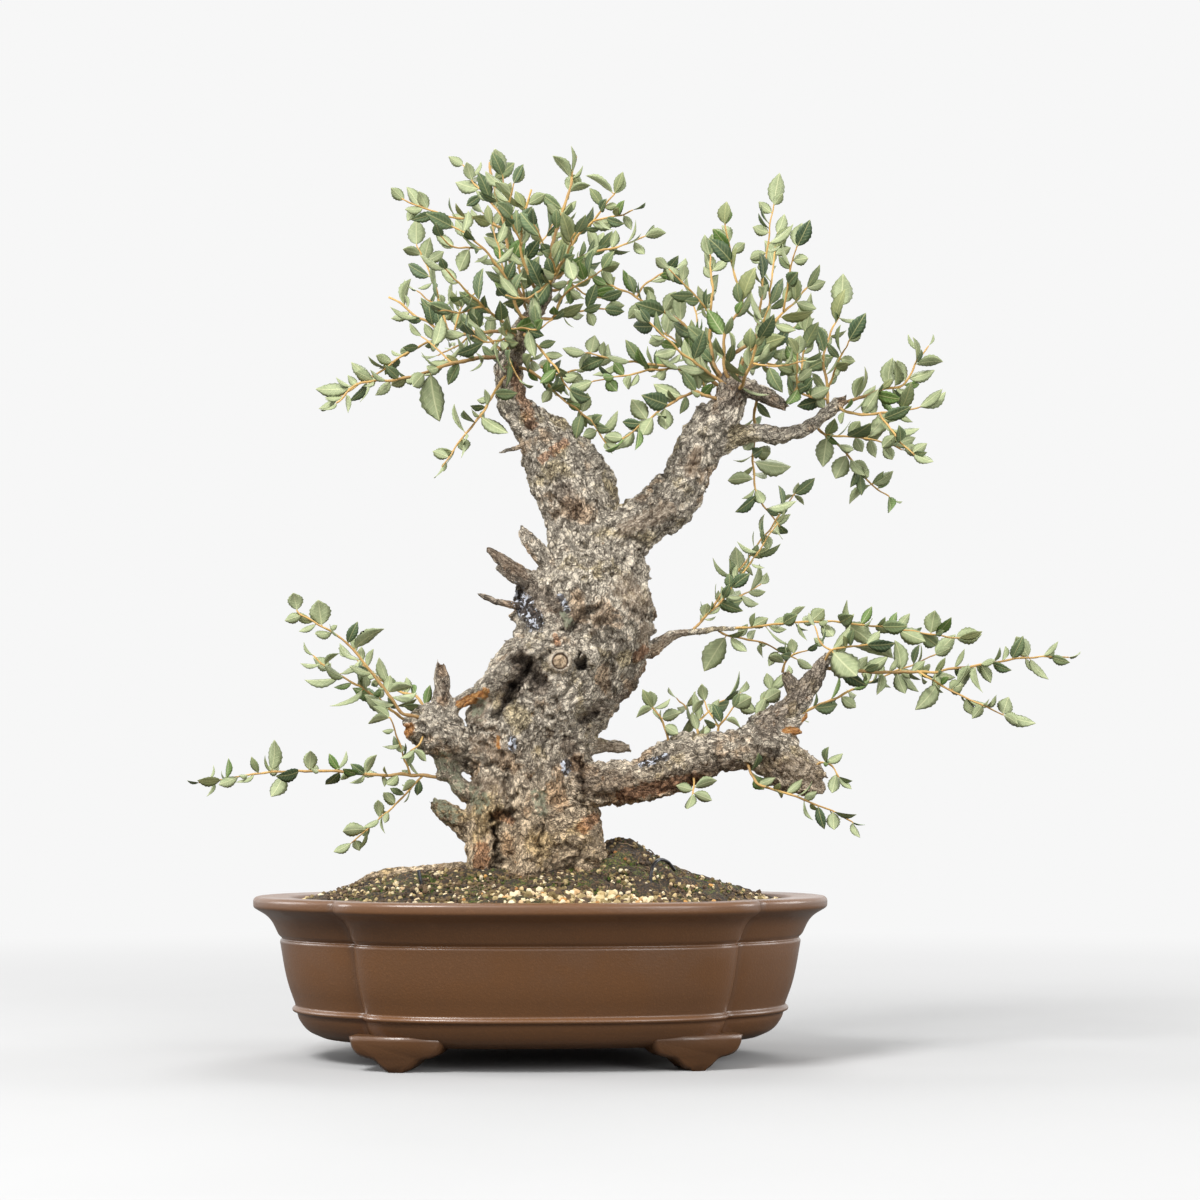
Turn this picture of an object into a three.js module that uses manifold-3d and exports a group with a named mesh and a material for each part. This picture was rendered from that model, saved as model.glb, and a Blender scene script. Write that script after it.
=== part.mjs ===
// Cork oak bonsai in a four-lobed stoneware tray. Millimetres, +Z up, the front is towards -Y.
import * as THREE from "three";
import { mergeVertices } from "three/addons/utils/BufferGeometryUtils.js";
import Module from "manifold-3d";

const wasm = await Module();
wasm.setup();

// Pot
const POT_WIDTH = 420;
const POT_DEPTH = 330;
const POT_HEIGHT = 117;
const NOTCH_X = 148; // where the front and side lobes of the rim meet
const NOTCH_Y = 110;
const FRONT_LOBE_SQUARENESS = 2.6;
const POT_TURN = THREE.MathUtils.degToRad(3.5); // the pot stands a little askew to the tree's front
const FLOOR_UNDERSIDE = 16;
const FLOOR_TOP = 26;
const DRAIN_X = 70;
const DRAIN_RADIUS = 11;
const FOOT_X = 101;
const FOOT_Y = 98;
const FOOT_DEPTH = 30;
const FOOT_GROOVE = 1.6; // radius of the groove down the middle of its face
const FOOT_SPLAY = THREE.MathUtils.degToRad(14); // each foot follows the curve of its corner

// Drain screens and the wire that ties the root ball down
const SCREEN_SIDE = 36;
const SCREEN_THICKNESS = 1.4;
const SCREEN_HOLE = 5;
const SCREEN_PITCH = 10;
const SCREEN_HOLES = [[0, 0], [1, 1], [1, -1], [-1, 1], [-1, -1]];
const WIRE_RADIUS = 1.25;

// Soil
const SOIL_EDGE_HEIGHT = 112;
const MOUND_RISE = 27;
const GRIT_RELIEF = 1.7;

// Gap between pieces that touch
const GAP = 0.35;

// The tree's points are given as seen from the front, in the upright plane through the pot's
// centre, with how deep behind that plane they lie. This is the spot that they are seen from.
const EYE = new THREE.Vector3(43, -1920, 181);

// Leaves
const BLADE_THICKNESS = 0.62;
const LEAF_PROPORTION = 0.56; // width of a grown leaf over its length
const SHORT_LEAF = 20; // up to this length a plain edge will do
const LONG_LEAF = 26; // from this length on the edge shows its teeth
const LEAF_PITCH = 60; // between the leaves that fill a shoot
const LEAF_DIVERGENCE = THREE.MathUtils.degToRad(137.5);
const TIP_SPARE = 0.8; // of a shoot's tip, past its last leaf
const LEAF_SPREAD = THREE.MathUtils.degToRad(52); // angle between shoot and leaf

const BARK = { color: 0x9a8468, roughness: 0.95, metalness: 0 };
const LEAF = { color: 0x7d9270, roughness: 0.7, metalness: 0, side: THREE.DoubleSide };
const STONEWARE = { color: 0x6b4630, roughness: 0.45, metalness: 0 };
const SOIL = { color: 0x5d5038, roughness: 1, metalness: 0 };
const MESH_PLASTIC = { color: 0x2b2f30, roughness: 0.6, metalness: 0 };
const WIRE = { color: 0x6a6460, roughness: 0.45, metalness: 0.8 };

const UP = new THREE.Vector3(0, 0, 1);

const group = new THREE.Group();
const potFrame = new THREE.Group(); // origin on the ground below the pot's centre
group.add(potFrame);

// Helpers for closed solids

function solidOf(geometry) {
  const bare = geometry.index ? geometry.toNonIndexed() : geometry.clone();
  for (const name of Object.keys(bare.attributes)) {
    if (name !== "position") bare.deleteAttribute(name);
  }
  const merged = mergeVertices(bare, 1e-4);
  return new wasm.Manifold(
    new wasm.Mesh({
      numProp: 3,
      vertProperties: new Float32Array(merged.attributes.position.array),
      triVerts: new Uint32Array(merged.index.array),
    }),
  );
}

function joined(solids) {
  let row = solids;
  while (row.length > 1) {
    const next = [];
    for (let i = 0; i < row.length; i += 2) {
      next.push(i + 1 < row.length ? row[i].add(row[i + 1]) : row[i]);
    }
    row = next;
  }
  return row[0];
}

function addPiece(name, solid, finish, parent = potFrame) {
  const mesh = solid.getMesh();
  const geometry = new THREE.BufferGeometry();
  geometry.setAttribute("position", new THREE.BufferAttribute(mesh.vertProperties, 3));
  geometry.setIndex(new THREE.BufferAttribute(mesh.triVerts, 1));
  geometry.computeVertexNormals();
  const piece = new THREE.Mesh(geometry, new THREE.MeshStandardMaterial(finish));
  piece.name = name;
  parent.add(piece);
  return piece;
}

// A solid skinned over closed rings of equal count, with flat or pointed ends.
function skinned(rings) {
  const count = rings[0].length;
  const position = rings.flat().flatMap((p) => [p.x, p.y, p.z]);
  const index = [];
  for (let r = 0; r + 1 < rings.length; r++) {
    for (let i = 0; i < count; i++) {
      const a = r * count + i;
      const b = r * count + ((i + 1) % count);
      index.push(a, b, b + count, a, b + count, a + count);
    }
  }
  for (const [ring, turned] of [[0, true], [rings.length - 1, false]]) {
    const middle = new THREE.Vector3();
    rings[ring].forEach((p) => middle.addScaledVector(p, 1 / count));
    const centre = position.length / 3;
    position.push(middle.x, middle.y, middle.z);
    for (let i = 0; i < count; i++) {
      const a = ring * count + i;
      const b = ring * count + ((i + 1) % count);
      index.push(...(turned ? [centre, b, a] : [centre, a, b]));
    }
  }
  const geometry = new THREE.BufferGeometry();
  geometry.setAttribute("position", new THREE.Float32BufferAttribute(position, 3));
  geometry.setIndex(index);
  return solidOf(geometry);
}

// A steady number from 0 to 1 for each set of whole numbers.
function chance(a, b = 0, c = 0, d = 0) {
  const s = Math.sin(a * 12.9898 + b * 78.233 + c * 37.719 + d * 9.131 + 4.1) * 43758.5453;
  return s - Math.floor(s);
}

function seen(x, z, deep) {
  const s = (deep - EYE.y) / -EYE.y;
  return new THREE.Vector3(EYE.x + (x - EYE.x) * s, deep, EYE.z + (z - EYE.z) * s);
}

// Pot

// The rim's outline in plan, once round anticlockwise from the right-hand back notch.
function potPlan(acrossLobe, alongLobe) {
  const points = [];
  const bulge = POT_DEPTH / 2 - NOTCH_Y;
  const sideRise = POT_WIDTH / 2 - NOTCH_X;
  const sideRadius = (NOTCH_Y ** 2 + sideRise ** 2) / (2 * sideRise);
  const sideCentre = POT_WIDTH / 2 - sideRadius;
  const sideAngle = Math.atan2(NOTCH_Y, NOTCH_X - sideCentre);
  for (const end of [1, -1]) {
    for (let i = 0; i < acrossLobe; i++) {
      const u = Math.cos((Math.PI * i) / acrossLobe);
      const fall = Math.max(0, 1 - Math.abs(u) ** FRONT_LOBE_SQUARENESS);
      points.push(new THREE.Vector2(end * NOTCH_X * u, end * (NOTCH_Y + bulge * Math.sqrt(fall))));
    }
    for (let i = 0; i < alongLobe; i++) {
      const a = sideAngle * (1 - (2 * i) / alongLobe);
      const x = -end * (sideCentre + sideRadius * Math.cos(a));
      points.push(new THREE.Vector2(x, end * sideRadius * Math.sin(a)));
    }
  }
  return points;
}

// The plan drawn in by the same distance at the sides and at the front, at height z.
function potRing(plan, inset, z) {
  const sx = 1 - inset / (POT_WIDTH / 2);
  const sy = 1 - inset / (POT_DEPTH / 2);
  return plan.map((p) => turnedSpot(p.x * sx, p.y * sy, z));
}

// A spot given along the pot's own axes.
function turnedSpot(x, y, z) {
  return new THREE.Vector3(x, y, z).applyAxisAngle(UP, POT_TURN);
}

// [drawn in from the rim, height], up the outside and down the inside
const POT_OUTSIDE = [
  [50, FLOOR_UNDERSIDE],
  [39.5, 20.5],
  [33.5, 29],
  [32.5, 33.5],
  [29, 34.8],
  [29, 37],
  [31.5, 38.5],
  [24.5, 57],
  [19.5, 85.5],
  [21.5, 87],
  [18.5, 89.5],
  [12.5, 102],
  [1.2, 108.6],
  [0, 110],
  [0, POT_HEIGHT - 1.2],
  [1.2, POT_HEIGHT],
];
const POT_INSIDE = [
  [26, POT_HEIGHT - 0.4],
  [28, POT_HEIGHT - 2.6],
  [36, 60],
  [50, FLOOR_TOP],
];

function drainPlug(x, radius, from, to) {
  const plug = new THREE.CylinderGeometry(radius, radius, to - from, 12);
  plug.rotateX(Math.PI / 2);
  plug.translate(x, 0, (from + to) / 2).rotateZ(POT_TURN);
  return solidOf(plug);
}

// [out from the middle, height] down one side of a foot's face. From the third point on, each
// pair is the spot that pulls a curve and the spot where the curve ends.
const FOOT_FACE = [
  [34, FLOOR_UNDERSIDE + 8],
  [32.5, 17],
  [31, 10.4],
  [24, 9.8],
  [14.5, 9],
  [13, 5.2],
  [10, 0],
  [5, 0],
];

// Cloud foot: wide shoulders, a middle lobe that stands on the ground, a groove in its face.
function potFoot(x, y) {
  const face = new THREE.Shape();
  const [top, shoulder, ...curves] = FOOT_FACE;
  face.moveTo(-top[0], top[1]);
  face.lineTo(-shoulder[0], shoulder[1]);
  for (let i = 0; i < curves.length; i += 2) {
    const [pull, end] = [curves[i], curves[i + 1]];
    face.quadraticCurveTo(-pull[0], pull[1], -end[0], end[1]);
  }
  face.lineTo(...curves[curves.length - 1]);
  for (let i = curves.length - 2; i >= 0; i -= 2) {
    const [pull, end] = [curves[i], FOOT_FACE[i + 1]];
    face.quadraticCurveTo(...pull, ...end);
  }
  face.lineTo(...top);
  const block = new THREE.ExtrudeGeometry(face, {
    depth: FOOT_DEPTH,
    bevelEnabled: false,
    curveSegments: 2,
  });
  block.rotateX(Math.PI / 2);
  block.translate(0, FOOT_DEPTH / 2, 0);
  const place = (geometry) => {
    const splay = -Math.sign(x * y) * FOOT_SPLAY;
    return solidOf(geometry.rotateZ(splay).translate(x, y, 0).rotateZ(POT_TURN));
  };
  let foot = place(block);
  for (const side of [-1, 1]) {
    const groove = new THREE.CylinderGeometry(FOOT_GROOVE, FOOT_GROOVE, 20, 6);
    groove.rotateX(Math.PI / 2).translate(0, (side * FOOT_DEPTH) / 2, 10);
    foot = foot.subtract(place(groove));
  }
  return foot;
}

function potSolid() {
  const plan = potPlan(9, 6);
  const rings = [...POT_OUTSIDE, ...POT_INSIDE].map(([inset, z]) => potRing(plan, inset, z));
  let pot = skinned(rings);
  for (const x of [-FOOT_X, FOOT_X]) {
    for (const y of [-FOOT_Y, FOOT_Y]) pot = pot.add(potFoot(x, y));
  }
  for (const x of [-DRAIN_X, DRAIN_X]) {
    pot = pot.subtract(drainPlug(x, DRAIN_RADIUS, 0, FLOOR_TOP + 5));
  }
  return pot;
}

// How far the inner wall is drawn in from the rim at height z.
function innerInset(z) {
  const wall = POT_INSIDE.slice(1);
  for (let i = 0; i + 1 < wall.length; i++) {
    const [upperInset, upper] = wall[i];
    const [lowerInset, lower] = wall[i + 1];
    if (z >= lower) return upperInset + ((lowerInset - upperInset) * (upper - z)) / (upper - lower);
  }
  return wall[wall.length - 1][0];
}

// Soil

function hill(x, y, cx, cy, sx, sy, height) {
  return height * Math.exp(-(((x - cx) / sx) ** 2) - ((y - cy) / sy) ** 2);
}

// Height of the soil at a spot of the pot's plan, without its grit.
function soilHeight(x, y) {
  const fall = 1 - Math.abs(x / 172) ** 2.6 - Math.abs((y - 12) / 152) ** 1.5;
  return SOIL_EDGE_HEIGHT + MOUND_RISE * Math.max(0, fall) + hill(x, y, 60, 14, 30, 42, 20);
}

function soilSolid(cutters) {
  const plan = potPlan(9, 6);
  const rings = [];
  for (const z of [FLOOR_TOP + GAP, 60, 100]) {
    rings.push(potRing(plan, innerInset(z) + 2 * GAP, z));
  }
  const steps = 7;
  for (let ring = 0; ring < steps; ring++) {
    const share = 1 - ring / steps;
    const edge = potRing(plan, innerInset(SOIL_EDGE_HEIGHT) + 2 * GAP, 0);
    rings.push(
      edge.map((p, i) => {
        const x = p.x * share;
        const y = p.y * share;
        const grit = ring === 0 ? 0 : GRIT_RELIEF * (2 * chance(ring, i, 7) - 1);
        return new THREE.Vector3(x, y, soilHeight(x, y) + grit);
      }),
    );
  }
  let soil = skinned(rings);
  for (const cutter of cutters) soil = soil.subtract(cutter);
  return soil;
}

// Drain screens: squares of stiff mesh that lie over the drain holes, with a grid of openings.
function screenSolid(x, spare = 0) {
  const side = SCREEN_SIDE + 2 * spare;
  const thick = SCREEN_THICKNESS + 2 * spare;
  const middle = FLOOR_TOP + GAP + SCREEN_THICKNESS / 2;
  const sheet = new THREE.BoxGeometry(side, side, thick).translate(x, 0, middle);
  let screen = solidOf(sheet.rotateZ(POT_TURN));
  if (spare > 0) return screen;
  for (const [i, j] of SCREEN_HOLES) {
    const hole = new THREE.BoxGeometry(SCREEN_HOLE, SCREEN_HOLE, 4 * SCREEN_THICKNESS);
    hole.translate(x + i * SCREEN_PITCH, j * SCREEN_PITCH, middle);
    screen = screen.subtract(solidOf(hole.rotateZ(POT_TURN)));
  }
  return screen;
}

// Tie wire: both ends stand out of the soil, beside the trunk, and its middle runs under the floor.
const WIRE_ROUTE = [
  new THREE.Vector3(-86, -62, 137),
  new THREE.Vector3(-84, -61, 126),
  new THREE.Vector3(-81, -55, 104),
  new THREE.Vector3(-75, -26, 62),
  turnedSpot(-DRAIN_X, 0, 30),
  turnedSpot(1 - DRAIN_X, 0, 20),
  turnedSpot(7 - DRAIN_X, 0, 13.9),
  turnedSpot(20 - DRAIN_X, 0, 13.6),
  turnedSpot(DRAIN_X - 20, 0, 13.6),
  turnedSpot(DRAIN_X - 7, 0, 13.9),
  turnedSpot(DRAIN_X - 1, 0, 20),
  turnedSpot(DRAIN_X, 0, 30),
  new THREE.Vector3(75, -26, 66),
  new THREE.Vector3(79, -59, 112),
  new THREE.Vector3(79, -60, 130),
  new THREE.Vector3(81, -55, 140),
  new THREE.Vector3(86, -46, 144),
  new THREE.Vector3(92, -36, 142),
  new THREE.Vector3(97, -27, 136),
];
const WIRE_SIDES = 5;

function wireSolid(radius) {
  const section = new THREE.Shape();
  for (let i = 0; i < WIRE_SIDES; i++) {
    const a = (2 * Math.PI * i) / WIRE_SIDES;
    const [x, y] = [radius * Math.cos(a), radius * Math.sin(a)];
    if (i === 0) section.moveTo(x, y);
    else section.lineTo(x, y);
  }
  const extrudePath = new THREE.CatmullRomCurve3(WIRE_ROUTE);
  return solidOf(new THREE.ExtrudeGeometry(section, { steps: 32, extrudePath }));
}

// Tree: each limb is a row of [x, z, deep, radius] as seen from the front, thickest end first.
const LIMBS = {
  trunk: [
    [-2, 92, 0, 38],
    [-2, 112, 0, 47],
    [-2, 135, 0, 49],
    [-2, 150, 0, 49],
    [-5, 165, 0, 48],
    [-10, 180, 0, 45],
    [-9, 200, 0, 43],
    [-9, 220, 1, 43],
    [-8, 240, 2, 46],
    [3, 262, 2, 46.5],
    [13, 274, 2, 46.5],
    [21, 287, 3, 47],
    [28, 302, 3, 48.5],
    [32, 320, 3, 51],
    [35, 336, 3, 50],
    [38, 352, 4, 42],
    [39, 366, 4, 36],
    [38, 380, 5, 28],
  ],
  left_column: [
    [-43, 96, -8, 9],
    [-44.5, 140, -10, 10.5],
    [-44, 160, -9, 11],
    [-42, 180, -6, 12],
    [-36, 196, -2, 9],
  ],
  base_burl: [
    [6, 147, -20, 12],
    [19, 151, -23, 20],
    [32, 152, -20, 20.5],
    [43, 151, -14, 11],
  ],
  front_root: [
    [-2, 150, -34, 12],
    [-10, 136, -42, 9],
    [-16, 122, -50, 5],
  ],
  limb_a: [
    [37, 352, 4, 30],
    [33, 380, 6, 28],
    [29, 400, 8, 28],
    [23, 416, 9, 29],
    [18, 430, 10, 29],
    [13, 443, 10, 24],
    [9, 452, 10, 13],
  ],
  shoulder_a: [
    [18, 424, 10, 20],
    [31, 432, 9, 14],
    [40, 437, 8, 9.5],
  ],
  crook_a: [
    [14, 436, 10, 26],
    [1, 454, 9, 20],
    [-12, 468, 8, 14.5],
    [-22, 480, 7, 11],
    [-24.5, 492, 7, 10],
    [-25, 505, 7, 10],
    [-21.5, 520, 8, 9.5],
    [-17, 533, 9, 8],
    [-9, 544, 10, 6.8],
    [-3, 554, 11, 6],
    [1, 565, 11, 5.5],
    [3.5, 575, 10, 5.2],
    [5, 585, 9, 5],
  ],
  limb_b: [
    [46, 372, 4, 26],
    [62, 384, 2, 22],
    [77, 394, 0, 18.5],
    [91, 404.5, -2, 18.7],
    [103.5, 418, -4, 17.5],
    [110, 434, -5, 15.5],
    [115, 447, -6, 15],
    [121, 459, -6, 14.5],
    [128, 467, -7, 13.2],
    [136, 475, -8, 11.3],
    [140, 485, -9, 10],
    [141, 495, -9, 9.5],
    [140, 503, -9, 6],
  ],
  broken_b: [
    [141, 492, -9, 9],
    [150, 494.5, -10, 7],
    [158, 491, -11, 6.4],
    [167, 487.5, -12, 5.8],
    [175, 482.5, -13, 5],
    [181.5, 477.5, -14, 3.8],
  ],
  arm_b: [
    [117, 445, -6, 12.5],
    [128, 449, -4, 10],
    [138, 453.5, -3, 8.5],
    [150, 458.5, -2, 7.3],
    [163, 459.5, -1, 6.3],
    [173, 457, 0, 6.6],
    [183, 458.5, 0, 5.4],
    [193, 461.5, 1, 4.8],
    [203, 467, 2, 4.6],
    [211, 473.5, 3, 4.6],
    [218, 479, 4, 5],
    [225, 484, 5, 4.6],
  ],
  limb_c: [
    [8, 198, -6, 20],
    [35, 197.5, -12, 17],
    [50, 199, -14, 16.3],
    [65, 201, -16, 15.5],
    [79, 201.5, -18, 15],
    [92, 209, -19, 19],
    [104, 216, -20, 18.3],
    [117, 219, -21, 17],
    [130, 223, -22, 15.2],
    [145, 224.5, -23, 15],
    [158, 226.5, -24, 19],
    [168, 225, -25, 20],
    [178, 215, -27, 16.8],
    [189, 207.5, -28, 15.6],
    [199, 201, -30, 13.3],
    [206.5, 197, -31, 9],
  ],
  rise_c: [
    [158, 234, -24, 12],
    [173, 246, -24, 10],
    [183, 253.5, -23, 8.8],
    [190, 262, -22, 8.6],
    [196.5, 271, -21, 7.6],
    [203, 279.5, -20, 6.2],
    [208, 287.5, -19, 4.8],
    [212, 295, -18, 3.2],
  ],
  spur_c: [
    [190, 262, -22, 6],
    [184, 272, -24, 5.2],
    [178, 283.5, -26, 4.6],
  ],
  broken_c: [
    [172, 242, -27, 5],
    [186, 243.5, -31, 4],
    [192, 246, -33, 3],
    [196, 251, -34, 1.6],
  ],
  torn_c: [
    [174, 238, -28, 5],
    [182, 237.5, -31, 3.4],
    [192, 237, -34, 2],
  ],
  limb_d: [
    [68, 297, 5, 10],
    [81, 298, 8, 6.5],
    [89, 303, 10, 5],
    [95, 308, 12, 4.2],
    [104, 310, 14, 3],
    [116, 311.5, 17, 2.4],
    [132, 313.3, 20, 2],
    [150, 314, 24, 1.7],
  ],
  stub_right: [
    [28, 226, 2, 8],
    [45, 226.5, 4, 5.2],
    [66, 225, 7, 4.2],
  ],
  knob: [
    [-42, 219, -4, 15],
    [-60, 226, -8, 15],
    [-74, 234.5, -14, 17.5],
    [-84, 239, -19, 19],
    [-92, 239.5, -24, 14],
    [-99, 238.5, -29, 8.5],
  ],
  knob_horn: [
    [-76, 246, -14, 9],
    [-73.5, 264, -13, 6.4],
    [-74, 277, -12, 5.6],
    [-74, 288, -12, 4.4],
  ],
  knob_splinter: [
    [-72, 250, -14, 7],
    [-62, 257.5, -9, 5.5],
    [-50, 265, -4, 5.2],
    [-32, 270, 2, 7],
  ],
  strap: [
    [4, 302, -30, 5],
    [-8, 296, -34, 7.5],
    [-20, 288, -30, 9],
    [-32, 277, -25, 9.5],
    [-43, 266, -18, 9],
    [-52, 258, -11, 8],
  ],
  knob_arm: [
    [-74, 224, -14, 8],
    [-71, 212, -13, 6.5],
    [-66, 204, -11, 6],
    [-58, 195, -8, 7],
    [-44, 186, -4, 8],
  ],
  knob_spur: [
    [-66, 206, -11, 5],
    [-72, 204, -12, 4.2],
    [-78, 204, -14, 3],
  ],
  stub_low_left: [
    [-46, 164, -4, 12],
    [-62, 173, -8, 8.8],
    [-72, 179.5, -11, 7.3],
    [-80.5, 185, -13, 6],
  ],
  finger: [
    [16, 350, -6, 9],
    [7, 359, -9, 8],
    [0, 367, -11, 7],
    [-6.5, 375, -13, 6.3],
    [-12, 382, -14, 6],
    [-17, 389, -15, 5.2],
  ],
  jin: [
    [4, 342, -8, 7],
    [-10, 351, -12, 5.5],
    [-20, 357.5, -14, 5],
    [-30, 364.5, -16, 4.4],
    [-40, 372.5, -18, 3],
  ],
  jin_splinter: [
    [-6, 343, -11, 4],
    [-22, 350.5, -14, 3],
    [-34, 358, -16, 1.4],
  ],
  thin_stub: [
    [-4, 326, -4, 5],
    [-20, 330.5, -10, 3.2],
    [-30, 332.5, -13, 2.7],
    [-39, 335.5, -15, 2.4],
    [-47.5, 339, -17, 1.9],
  ],
  twig_stub: [
    [-10, 451, 2, 3],
    [-24, 447, -6, 1.7],
    [-33, 444, -9, 1.2],
  ],
  front_knob: [
    [34, 292, -30, 9],
    [38, 291, -44, 6.5],
  ],
  root_left: [
    [-40, 134, 2, 9],
    [-66, 136, 4, 5.5],
    [-88, 134.5, 6, 4.6],
    [-108, 133, 9, 4],
    [-126, 130, 12, 3.4],
    [-142, 119, 15, 2.4],
  ],
  root_pale: [
    [-16, 135, -36, 3],
    [-27, 129.5, -47, 2],
    [-38, 124.5, -58, 1.8],
    [-50, 119, -69, 1.3],
  ],
  root_right: [
    [34, 136, -26, 8],
    [30, 130, -40, 5],
    [24, 121, -50, 3],
  ],
};

// [depth over width, ruggedness] of the limbs that aren't round and plain
const LIMB_BUILD = {
  trunk: [0.8, 0.045],
  limb_a: [0.88, 0.05],
  limb_b: [0.92, 0.06],
  base_burl: [0.8, 0.08],
};
const USUAL_BUILD = [0.95, 0.08];

// A closed ring of points about a spot, square to the way along it.
function tubeRing(middle, along, sides, depthShare, radiusAt) {
  const back = new THREE.Vector3(0, 1, 0).addScaledVector(along, -along.y).normalize();
  const side = new THREE.Vector3().crossVectors(back, along);
  const ring = [];
  for (let i = 0; i < sides; i++) {
    const a = (2 * Math.PI * i) / sides;
    const point = middle.clone().addScaledVector(side, radiusAt(a, i) * Math.cos(a));
    ring.push(point.addScaledVector(back, radiusAt(a, i) * depthShare * Math.sin(a)));
  }
  return ring;
}

// A tube through the stations, with a rugged skin; grow widens it all round.
function limbSolid(name, number, grow = 0) {
  const [depthShare, rugged] = LIMB_BUILD[name] ?? USUAL_BUILD;
  const stations = LIMBS[name];
  const widest = Math.max(...stations.map(([, , , radius]) => radius));
  const sides = Math.round(2.9 + 1.45 * Math.sqrt(widest));
  const route = new THREE.CatmullRomCurve3(stations.map(([x, z, deep]) => seen(x, z, deep)));
  const last = stations.length - 1;
  const rings = stations.map(([, , , radius], k) => {
    const middle = route.getPoint(k / last);
    const along = route.getTangent(k / last);
    if (k === 0) middle.addScaledVector(along, -grow);
    if (k === last) middle.addScaledVector(along, grow);
    return tubeRing(middle, along, sides, depthShare, (a, i) => {
      const wave = Math.sin(3 * a + 1.3 * k + number) + 0.8 * Math.sin(5 * a - 1.9 * k);
      const jag = 2 * chance(number, k, i) - 1;
      return radius * (1 + rugged * (0.6 * wave + 0.7 * jag)) + grow;
    });
  });
  return skinned(rings);
}

function treeSolid(grow = 0) {
  return joined(Object.keys(LIMBS).map((name, number) => limbSolid(name, number, grow)));
}

// Balls that fill the limbs, to keep leaves clear of the wood.
function limbBalls() {
  const balls = [];
  for (const stations of Object.values(LIMBS)) {
    for (let i = 0; i + 1 < stations.length; i++) {
      const [x0, z0, deep0, r0] = stations[i];
      const [x1, z1, deep1, r1] = stations[i + 1];
      const steps = Math.ceil(Math.hypot(x1 - x0, z1 - z0) / 6);
      for (let k = 0; k <= steps; k++) {
        const t = k / steps;
        const mix = (u, v) => u + (v - u) * t;
        balls.push({ centre: seen(mix(x0, x1), mix(z0, z1), mix(deep0, deep1)), r: mix(r0, r1) });
      }
    }
  }
  return balls;
}

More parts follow.
